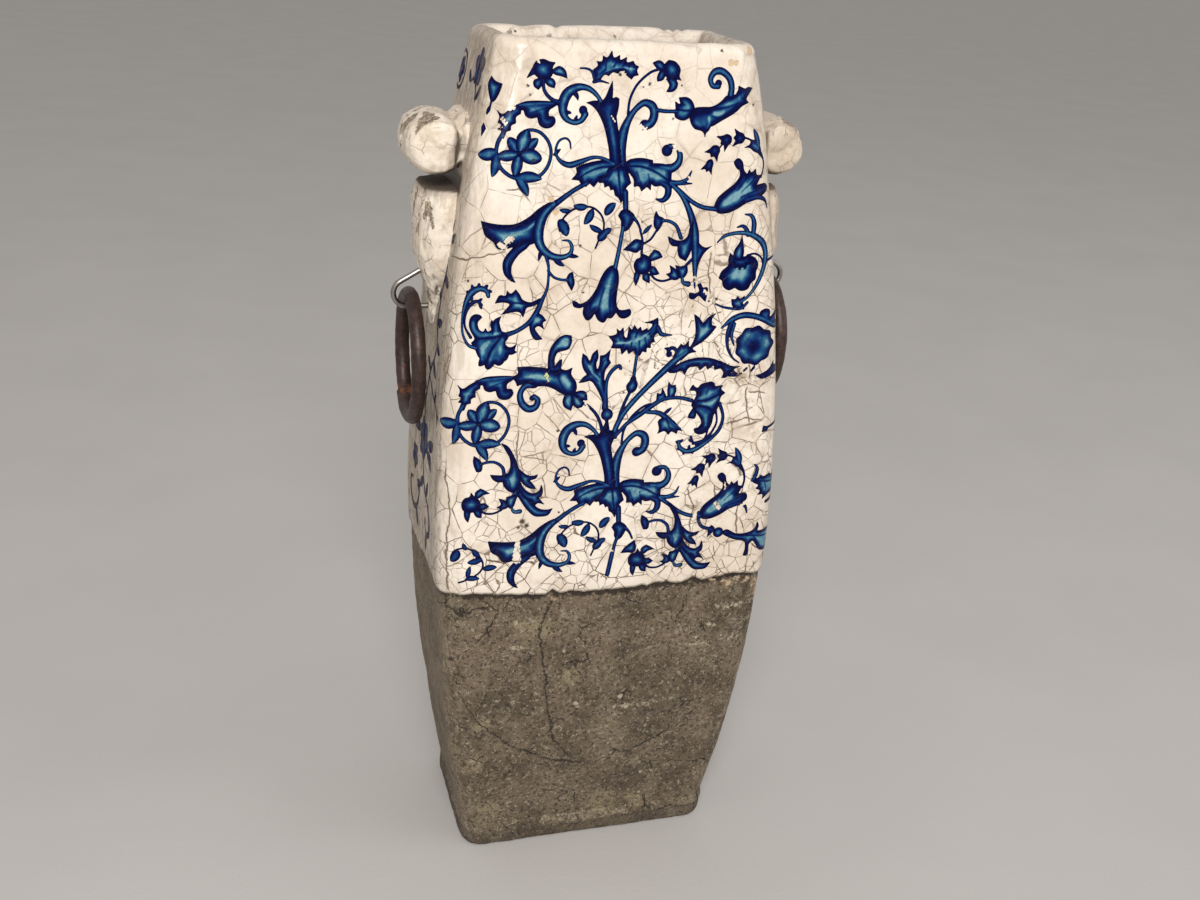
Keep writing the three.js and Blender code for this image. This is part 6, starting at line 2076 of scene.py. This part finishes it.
def front_pattern(ink):
    """All that is painted on the front. Three of its parts come twice."""
    for part in (
            crest, centre_scroll, ringed_flower, hanging_tulip, upper_arm, hanging_disc_flower,
            ringed_rosette, left_fan, cornucopia, palmette, long_branch, acanthus, lower_right, left_vine):
        part(ink)
    ink.move(3.6, -154.6, 0.98)
    centre_scroll(ink)
    ink.move()
    ink.stroke([(1.8, 201.8), (0.4, 197), (-0.2, 193.2)], 0.9, 0.6)
    ink.stroke([(-0.6, 192.4), (-2.6, 179.6)], 1.2, 0.6)
    ink.shape(
        [(4, 191.6, 1), (6, 194.6), (8.6, 196.8), (11.4, 198.8, 1), (12.4, 194), (11, 191.4), (8, 191.6)],
        0.8, 1.8)
    ink.move(-18.3, -129.8)
    ringed_flower(ink)
    ink.move()
    drooping_arm(ink)
    ink.move(90, -38.4)
    drooping_arm(ink)
    ink.move()


def side_pattern(ink):
    """Flowers above and a leafy stem below the handle on a narrow side, by distance from its middle,
    towards the back, and height."""
    # Above the roll
    ink.stroke([(-20, 418), (-16, 424), (-10, 427), (-3, 425)], (0.6, 1.1, 0.9, 0.4), 0.6)
    ink.flower(-15, 433, 8.6, 5, 18)
    ink.leaf((-20, 419), (-26, 426), 1.8, 0.1, 0.7, 0.3)
    ink.leaf((-4, 425), (3, 430), 1.8, -0.1, 0.7, 0.3)
    circle = [
        (22 + 9 * math.cos(k * math.pi / 6), 428 + 9.4 * math.sin(k * math.pi / 6)) for k in range(11)]
    ink.stroke(circle, (0.5, 0.8, 0.9, 0.7), 0.5)
    ink.flower(22, 428, 6.4, 5, 40)
    ink.leaf((31, 422), (36, 415), 1.7, 0.1, 0.7, 0.3)
    # Stem that falls in front of the ring
    ink.stroke([(-25, 362), (-22, 352), (-22, 337), (-17.5, 322), (-15.6, 308), (-19.6, 299), (-15.6, 289),
                (-6, 277), (2, 262), (1, 248)], (0.5, 0.8, 1.0, 1.1, 1.0, 0.8, 1.0, 1.1, 1.0, 0.8), 0.6)
    for base, tip, half in (
            ((-22, 352), (-31, 357), 2.2), ((-22, 345), (-13.6, 350), 2.2), ((-21.4, 334), (-31, 331), 2.4),
            ((-17, 320), (-8, 326), 2.4), ((-16, 309), (-26.6, 312), 2.4), ((-19, 299), (-28, 295), 2.3),
            ((-15, 288), (-24, 281), 2.5), ((-8, 279), (1, 285), 2.4)):
        ink.leaf(base, tip, half, 0.1, 0.75, 0.3)
    ink.stroke([(-6, 277), (-16, 270), (-25, 267), (-33, 266)], (1.0, 1.1, 0.9, 0.4), 0.6)
    ink.bell((-31, 266), (-37, 262), 3.2)
    ink.bell((-22, 267.4), (-24, 274), 2.8)
    ink.stroke([(0, 265), (10, 271), (20, 269), (25, 261), (22, 253), (16, 254)],
               (0.8, 1.3, 2.0, 2.2, 1.6, 1.0), 0.75)
    ink.ball(17, 256, 1.9, 0.4)
    ink.leaf((24, 266), (33, 274), 2.4, -0.1, 0.75, 0.3)
    ink.leaf((25, 258), (35, 253), 2.4, 0.1, 0.75, 0.3)
    # Flower with leaves near the lower border
    ink.flower(0, 239, 11, 6, 10)
    ink.leaf((-12, 241), (-27, 246), 3.2, 0.1, 0.8, 0.3)
    ink.leaf((-11, 235), (-26, 230), 3.0, -0.1, 0.8, 0.3)
    ink.leaf((11, 240), (26, 236), 3.2, 0.1, 0.8, 0.3)
    ink.stroke([(-3, 230), (-7, 220), (-14, 212), (-24, 209)], (1.1, 1.3, 1.2, 0.4), 0.7)
    ink.leaf((-14, 212), (-20, 222), 2.4, 0.1, 0.75, 0.3)
    ink.leaf((-8, 218), (2, 210), 2.6, 0.1, 0.75, 0.3)
    ink.stroke(
        [(-20, 209.6), (-27, 203), (-26, 195), (-19, 191), (-13, 195)], (0.8, 1.6, 2.0, 1.5, 0.8), 0.7)
    ink.ball(-14.4, 197, 1.8, 0.4)
    ink.bell((4, 212), (12, 206), 3.4)
    ink.stroke([(2, 212), (8, 200), (14, 193), (23, 190), (31, 194), (32, 203), (26, 206)],
               (0.7, 1.0, 1.3, 1.6, 1.8, 1.4, 0.7), 0.7)
    ink.flower(20, 221, 7, 5, 50)
    ink.leaf((14, 194), (8, 183), 2.6, 0.1, 0.75, 0.3)
    ink.leaf((-19, 191), (-16, 180), 2.4, 0.1, 0.75, 0.3)


def corner_turn(share, lean):
    """Angle round a corner at a share of its radius, as the camera sees it at a lean."""
    angles = np.linspace(0, math.pi / 2, 60)
    seen = np.sin(angles) - lean * (1 - np.cos(angles))
    last = int(np.argmax(seen))
    return np.interp(share, seen[:last + 1], angles[:last + 1]) + np.maximum(share - seen[last], 0)


def front_unrolled(shape, sizes, camera_place):
    """Turns points read off the front's plane from the camera into places on the unrolled front."""
    def unroll(line):
        half_width, half_depth, corner = shape.at(line[:, 1] * MM)
        inner = (half_width - corner) / MM
        reach = (corner + sizes.coat_reach) / MM
        lean = (line[:, 0] * MM - camera_place[0]) / -(camera_place[1] + half_depth)
        beyond = (np.abs(line[:, 0]) - inner) / reach
        turned = line[:, 0].copy()
        for k in np.flatnonzero(beyond > 0):
            sign = math.copysign(1, line[k, 0])
            turned[k] = sign * (inner[k] + reach[k] * corner_turn(beyond[k], sign * lean[k]))
        return turned
    return unroll


def inked_skin(name, sheet, rows, place):
    """Mesh over what is inside the ink between two rows of squares. Place puts points on the vase."""
    low, high = rows
    inked = sheet.depth[:, low:high + 1] > 0
    wide, tall = inked.shape
    ids = np.arange(wide * tall).reshape(wide, tall)
    corners = [inked[:-1, :-1], inked[1:, :-1], inked[1:, 1:], inked[:-1, 1:]]
    corner_ids = [ids[:-1, :-1], ids[1:, :-1], ids[1:, 1:], ids[:-1, 1:]]
    # Crossings have ids after the corners': first those on edges across, then those along
    edge_ids = [corner_ids[0] + ids.size, corner_ids[1] + 2 * ids.size,
                corner_ids[3] + ids.size, corner_ids[0] + 2 * ids.size]
    case = sum(corner * 2 ** k for k, corner in enumerate(corners))
    faces = []
    used = [np.zeros(0, int)]
    for kind in range(1, 16):
        cells = case == kind
        ring = []
        for k in range(4):
            here, after = kind >> k & 1, kind >> (k + 1) % 4 & 1
            if here:
                ring.append(corner_ids[k][cells])
            if here != after:
                ring.append(edge_ids[k][cells])
        ring = np.stack(ring, axis=-1)
        faces.append(ring)
        used.append(ring.ravel())
    kept = np.unique(np.concatenate(used))
    column, row = np.divmod(kept % ids.size, tall)
    kind = kept // ids.size
    depth, shades = sheet.depth[:, low:high + 1], sheet.shades[:, low:high + 1]
    other = (column + (kind == 1), row + (kind == 2))
    here, there = depth[column, row], depth[other]
    share = np.where(kind > 0, np.clip(here / np.where(here == there, 1, here - there), 0.1, 0.9), 0)
    across = sheet.low[0] + (column + share * (kind == 1)) * sheet.square
    along = sheet.low[1] + (low + row + share * (kind == 2)) * sheet.square
    mesh = bpy.data.meshes.new(name)
    listed = [face for ring in faces for face in np.searchsorted(kept, ring).tolist()]
    mesh.from_pydata(place(across * MM, along * MM).tolist(), [], listed)
    mesh.shade_smooth()
    add_attribute(mesh, "ink", np.where(kind > 0, 0, np.clip(shades[column, row], 0, 1)))
    return mesh


def on_coat(shape, sizes, lift, face):
    """Puts places on an unrolled face on the glaze coat, a little above it."""
    def place(across, heights):
        base, out = shape.unrolled(face, across, heights, sizes.coat_reach)
        amounts = surface_lumps(base, sizes) + lift
        points = push_out(base, out, amounts)
        points[:, 2] += lip_sink(shape, base, sizes)
        return points
    return place


# Handles

def merged_copy(node, name):
    mesh = frame["nodes"][node].data.copy()
    mesh.name = name
    mesh.materials.clear()
    shape = bmesh.new()
    shape.from_mesh(mesh)
    bmesh.ops.remove_doubles(shape, verts=shape.verts, dist=1e-5)
    shape.to_mesh(mesh)
    shape.free()
    return mesh


def shape_roll(mesh, label):
    """Lumps, a raised lip round the end disc and chips on a handle's roll."""
    side = SIDES[label]
    low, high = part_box(f"{label}_handle_roll")
    centre_z = (low.z + high.z) / 2
    edge_x = low.x if side < 0 else high.x
    end_radius = 0.0152
    centre_x = edge_x - side * end_radius
    points = mesh_points(mesh)
    normals = mesh_normals(mesh)
    out = (points[:, 0] - centre_x) * side
    up = points[:, 2] - centre_z
    seed = 60 if side < 0 else 75
    push = 0.0010 * lumps(points, 0.013, seed) + 0.0005 * lumps(points, 0.0055, seed + 1)
    push += 0.00022 * lumps(points, 0.0024, seed + 2, 2)
    ends = smooth_step(0.25, 0.75, np.abs(normals[:, 1]))
    radius = np.hypot(out, up)
    turn = np.arctan2(up, -out)
    lip = smooth_step(-0.5, 0.3, turn) * smooth_step(2.6, 1.9, turn)
    disc = smooth_step(0.0122, 0.0112, radius)
    push += ends * disc * (0.0006 + 0.0011 * lip) * (0.6 + 0.4 * (points[:, 1] < 0))
    push -= 0.0010 * ends * lip * np.exp(-((radius - 0.0131) / 0.0012) ** 2)
    seam = 0.0010 * lumps(points * np.array([1, 1, 0.3]), 0.006, seed + 3)
    crease = np.exp(-((out + 0.009 + seam * 2) / 0.0009) ** 2) * ends
    push -= crease * 0.0011
    chipped = smooth_step(-0.2, 0.5, lumps(points, 0.007, seed + 4, 3) + 0.3)
    outer = smooth_step(-0.004, 0.006, out) * smooth_step(-0.001, 0.007, up)
    outer *= 1 - 0.9 * disc * ends
    front = smooth_step(0.012, -0.006, points[:, 1])
    worn = 0.9 * chipped * outer * (0.35 + 0.65 * front)
    scattered = smooth_step(0.45, 0.75, lumps(points, 0.009, seed + 5, 2))
    under = smooth_step(-0.35, -0.8, normals[:, 2]) * smooth_step(0.006, -0.002, out)
    worn = np.clip(worn + 0.45 * scattered * (1 - disc * ends), 0, 1)
    web = smooth_step(0.004, -0.010, out)
    furrows = lumps(points * np.array([1, 1, 0.35]), 0.0052, seed + 6, 2)
    push += 0.0006 * web * np.minimum(furrows + 0.15, 0)
    # Dirt with painted shade in the low places and the web's furrows, and painted shade under the roll and
    # in the crease round its disc
    dirt_and_shade = 0.7 * smooth_step(-0.0003, -0.0018, push) + 0.45 * web * smooth_step(-0.1, -0.6, furrows) + under
    push -= 0.0004 * worn
    set_points(mesh, points + normals * push[:, None])
    add_attribute(mesh, "worn", worn)
    add_attribute(mesh, "dirt_and_shade", np.clip(dirt_and_shade + crease, 0, 1))


def shape_tongue(mesh, label):
    """Flat glazed front, chipped outer face and a ribbed tail on a handle's tongue."""
    side = SIDES[label]
    low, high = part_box(f"{label}_handle_tongue")
    points = mesh_points(mesh)
    normals = mesh_normals(mesh)
    climb = (points[:, 2] - low.z) / (high.z - low.z)
    facing_out = smooth_step(0.1, 0.6, normals[:, 0] * side)
    seed = 90 if side < 0 else 105
    push = 0.0009 * lumps(points, 0.015, seed) + 0.0004 * lumps(points, 0.006, seed + 1)
    long_way = points * np.array([1, 1, 0.22])
    ribs = lumps(long_way, 0.0032, seed + 2, 2)
    tail = smooth_step(0.5, 0.25, climb)
    push += 0.0010 * ribs * np.clip(tail + 0.5 * facing_out, 0, 1)
    push += 0.0002 * lumps(points, 0.0022, seed + 3)
    # Dirt with painted shade in the grooves of the ribs and the low places, and painted shadow on the
    # tongue's top under the roll
    dirt_and_shade = 0.7 * smooth_step(-0.1, -0.7, ribs) * np.clip(tail + 0.7 * facing_out, 0, 1)
    dirt_and_shade += 0.6 * smooth_step(-0.0003, -0.0018, push)
    dirt_and_shade = np.clip(dirt_and_shade + smooth_step(0.93, 0.97, climb) * smooth_step(0.1, 0.6, normals[:, 2]), 0, 1)
    streaks = lumps(long_way, 0.0055, seed + 4, 2)
    worn = 0.75 * smooth_step(0.0, 0.6, streaks) * smooth_step(
        0.45, 0.85, facing_out) * smooth_step(1.02, 0.9, climb)
    worn = np.clip(worn + 0.45 * tail * smooth_step(0.1, 0.7, streaks), 0, 1)
    push -= 0.0004 * worn
    set_points(mesh, points + normals * push[:, None])
    add_attribute(mesh, "worn", worn)
    add_attribute(mesh, "dirt_and_shade", dirt_and_shade)


# Putting the pieces into the model

def hand_over(piece, body, node, material=None):
    """Lets a finished piece ride on its body in the place of a CAD node."""
    if material:
        piece.data.materials.clear()
        piece.data.materials.append(material)
    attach(piece, body)
    if node:
        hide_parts(node)
    return piece


class VASE_OT_clay(bpy.types.Operator):
    """Make the base slab and the clay wall"""

    bl_idname = "vase.clay"
    bl_label = "Clay Body"

    def execute(self, context):
        sizes = context.scene.vase_clay
        colours = context.scene.vase_colours
        shape = WallShape(sizes)
        slab = new_object("base_slab_clay", build_foot(sizes))
        hand_over(slab, "vase", "base_slab", clay_finish(colours, "Foot clay", 9.0))
        wall = new_object("wall_clay", build_wall(shape, sizes))
        hand_over(wall, "vase", "wall", clay_finish(colours, "Bare clay"))
        return {"FINISHED"}


class VASE_OT_glaze(bpy.types.Operator):
    """Make the crackled glaze coat"""

    bl_idname = "vase.glaze"
    bl_label = "Glaze Coat"

    def execute(self, context):
        sizes = context.scene.vase_clay
        coat = new_object("glaze_coat_skin", build_coat(WallShape(sizes), sizes))
        hand_over(coat, "vase", "glaze_coat", glaze_finish(context.scene.vase_colours))
        return {"FINISHED"}


class VASE_OT_pattern(bpy.types.Operator):
    """Paint the blue pattern on the four faces of the glaze coat"""

    bl_idname = "vase.pattern"
    bl_label = "Blue Pattern"

    def execute(self, context):
        sizes = context.scene.vase_clay
        pattern = context.scene.vase_pattern
        shape = WallShape(sizes)
        unroll = front_unrolled(shape, sizes, context.scene.vase_studio.camera_place)
        low, high = pattern.lower_edge / MM, pattern.upper_edge / MM
        glossy, dull = ink_finish("Blue pattern", 0.14, 0.0), ink_finish("Worn blue pattern", 0.6, 0.75)
        for face in ("front", "back", "left", "right"):
            square = (pattern.square if face == "front" else pattern.hidden_square) / MM
            mirror = 1 if face in ("front", "right") else -1
            if face in ("front", "back"):
                sheet = InkSheet((-112, low), (112, high), square, unroll, mirror)
                front_pattern(sheet)
                material, labels = glossy, ("lower", "upper")
            else:
                sheet = InkSheet((-42, low), (42, high), square, None, mirror)
                side_pattern(sheet)
                material, labels = dull, ("side",)
            if face == "front":
                wear(sheet)
            tall = (sheet.size[1] - 1) // len(labels)
            for k, label in enumerate(labels):
                rows = (k * tall, sheet.size[1] - 1 if k == len(labels) - 1 else tall)
                name = f"pattern_{face}_{label}"
                mesh = inked_skin(name, sheet, rows, on_coat(shape, sizes, pattern.lift, face))
                hand_over(new_object(name, mesh), "vase", None, material)
        return {"FINISHED"}


class VASE_OT_handles(bpy.types.Operator):
    """Make the rolls and the tongues of the two handles"""

    bl_idname = "vase.handles"
    bl_label = "Handles"

    def execute(self, context):
        sizes = context.scene.vase_handles
        material = handle_finish(context.scene.vase_colours)
        for label in SIDES:
            for part, shaper in (("roll", shape_roll), ("tongue", shape_tongue)):
                node = f"{label}_handle_{part}"
                mesh = remeshed(merged_copy(node, f"{node}_clay"), f"{node}_clay", sizes.voxel)
                shaper(mesh, label)
                piece = new_object(f"{node}_clay", mesh)
                hand_over(piece, "vase", node, material)
        return {"FINISHED"}


class VASE_OT_staples(bpy.types.Operator):
    """Bend the two wire staples"""

    bl_idname = "vase.staples"
    bl_label = "Staples"

    def execute(self, context):
        sizes = context.scene.vase_handles
        rule = staple_rule(steel_finish(context.scene.vase_colours))
        shape = WallShape(context.scene.vase_clay)
        gap = 0.0003
        for label, side in SIDES.items():
            axis = axis_of(f"{label}_ring_swing")
            radius = (sizes.rod + sizes.wire) / 2 + sizes.eye_slack
            height = axis.z - (sizes.rod + sizes.wire) / 2 - gap
            half_width = float(shape.at(np.array([height]))[0][0])
            start = half_width - sizes.lower_leg_seat
            bend_at = abs(axis.x) + sizes.eye_slack
            name = f"{label}_staple_wire"
            piece = rule.made(
                name,
                {"Start": (side * start, 0, height), "Side": float(side), "Lower leg": bend_at - start,
                 "Bend radius": radius, "Bend": math.pi - sizes.upper_leg_rise,
                 "Upper leg": sizes.upper_leg, "Wire radius": sizes.wire / 2})
            hand_over(piece, "vase", f"{label}_staple")
        return {"FINISHED"}


class VASE_OT_rings(bpy.types.Operator):
    """Forge the two iron rings"""

    bl_idname = "vase.rings"
    bl_label = "Rings"

    def execute(self, context):
        sizes = context.scene.vase_handles
        colours = context.scene.vase_colours
        for label in SIDES:
            axis = axis_of(f"{label}_ring_swing")
            low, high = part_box(f"{label}_ring")
            weld_height = axis.z / MM - 57
            iron = iron_finish(colours, (weld_height - 0.5, weld_height + 3.5))
            rule = ring_rule(iron, f"Iron ring {label}")
            piece = rule.made(
                f"{label}_ring_iron",
                {"Axis": tuple(axis), "Half height": (high.z - low.z - sizes.rod) / 2,
                 "Half width": (high.y - low.y - sizes.rod) / 2, "Rod radius": sizes.rod / 2})
            hand_over(piece, f"{label}_ring", f"{label}_ring")
        return {"FINISHED"}


# Studio

def studio_lamp(name, place, target, size, power, colour):
    light = bpy.data.lights.new(name, "AREA")
    light.shape = "DISK"
    light.size = size
    light.energy = power
    light.color = colour
    lamp = bpy.data.objects.new(name, light)
    bpy.context.scene.collection.objects.link(lamp)
    lamp.location = place
    lamp.rotation_euler = (Vector(target) - Vector(place)).to_track_quat("-Z", "Y").to_euler()
    return lamp


def floor_finish(colour):
    finish = Finish("Pale floor")
    tone = finish.noise(140, 3)
    mixed = finish.mix(finish.step(tone, 0.3, 0.7), tuple(0.96 * part for part in colour), colour)
    return finish.done(mixed, 0.85, finish.noise(2.5, 3), 0.15)


def sky(strength, shown):
    """Even light from all round. The camera, mirrors and glass see a pale backdrop."""
    world = bpy.data.worlds.new("Studio")
    bpy.context.scene.world = world
    world.use_nodes = True
    nodes = NodeMaker(world.node_tree)
    even = nodes.node("ShaderNodeBackground", {"Color": (1.0, 0.985, 0.965), "Strength": strength})
    seen = nodes.node("ShaderNodeBackground", {"Color": shown})
    rays = [
        nodes.node("ShaderNodeLightPath", output=f"Is {ray} Ray")
        for ray in ("Camera", "Glossy", "Transmission")]
    choice = nodes.node("ShaderNodeMixShader", {0: nodes.most(*rays), 1: even, 2: seen})
    nodes.link(choice, nodes.tree.nodes["World Output"].inputs["Surface"])


class VASE_OT_studio(bpy.types.Operator):
    """Set up the floor, the lights and the camera"""

    bl_idname = "vase.studio"
    bl_label = "Studio"

    def execute(self, context):
        studio = context.scene.vase_studio
        colour = tuple(studio.floor_colour)
        half = 12.0
        corners = [(-half, -half, 0), (half, -half, 0), (half, half, 0), (-half, half, 0)]
        floor = new_object("studio_floor", mesh_from("studio_floor", corners, [(0, 1, 2, 3)]))
        floor.data.materials.append(floor_finish(colour))
        sky(studio.sky_strength, colour)
        target = (0, 0, 0.2)
        studio_lamp("key_lamp", (-0.6, -2.1, 1.9), target, 1.3, studio.key_power, (1.0, 0.985, 0.96))
        beside = Vector(studio.camera_place) + Vector((-0.03, -0.04, 0.06))
        studio_lamp("small_lamp", beside, target, 0.07, studio.spark_power, (1.0, 0.99, 0.97))
        studio_lamp("fill_lamp", (2.2, -1.2, 1.3), target, 2.0, studio.fill_power, (0.96, 0.98, 1.0))
        yaw, pitch, roll = studio.camera_yaw, studio.camera_pitch, studio.camera_roll
        ahead = Vector((math.sin(yaw) * math.cos(pitch), math.cos(yaw) * math.cos(pitch), -math.sin(pitch)))
        level = Vector((math.cos(yaw), -math.sin(yaw), 0))
        above = level.cross(ahead)
        right = level * math.cos(roll) + above * math.sin(roll)
        upwards = above * math.cos(roll) - level * math.sin(roll)
        turn = Matrix((right, upwards, -ahead)).transposed()
        camera = bpy.data.objects.new("camera", bpy.data.cameras.new("camera"))
        context.scene.collection.objects.link(camera)
        camera.data.lens = studio.camera_lens
        camera.data.sensor_width = 36
        camera.location = studio.camera_place
        camera.rotation_euler = turn.to_euler()
        context.scene.camera = camera
        context.scene.view_settings.view_transform = "Standard"
        return {"FINISHED"}


OPERATORS = [
    VASE_OT_clay, VASE_OT_glaze, VASE_OT_pattern, VASE_OT_handles, VASE_OT_staples, VASE_OT_rings,
    VASE_OT_studio]


class VASE_PT_panel(bpy.types.Panel):
    """Steps and sizes of the vase"""

    bl_label = "Stoneware Vase"
    bl_idname = "VASE_PT_panel"
    bl_space_type = "VIEW_3D"
    bl_region_type = "UI"
    bl_category = "Vase"

    def draw(self, context):
        for step in OPERATORS:
            self.layout.operator(step.bl_idname)
        for group in SETTINGS:
            box = self.layout.box()
            settings = getattr(context.scene, group)
            for name in settings.bl_rna.properties.keys():
                if name not in ("rna_type", "name"):
                    box.prop(settings, name)


SETTINGS = {
    "vase_clay": ClaySizes, "vase_colours": GlazeColours, "vase_pattern": PatternSizes,
    "vase_handles": HandleSizes, "vase_studio": StudioSettings}
CLASSES = [*SETTINGS.values(), *OPERATORS, VASE_PT_panel]


def register():
    for each in CLASSES:
        bpy.utils.register_class(each)
    for name, group in SETTINGS.items():
        setattr(bpy.types.Scene, name, PointerProperty(type=group))


def unregister():
    for name in SETTINGS:
        delattr(bpy.types.Scene, name)
    for each in reversed(CLASSES):
        bpy.utils.unregister_class(each)


def main():
    register()
    bpy.ops.vase.clay()
    bpy.ops.vase.glaze()
    bpy.ops.vase.pattern()
    bpy.ops.vase.handles()
    bpy.ops.vase.staples()
    bpy.ops.vase.rings()
    bpy.ops.vase.studio()


if __name__ == "__main__":
    main()
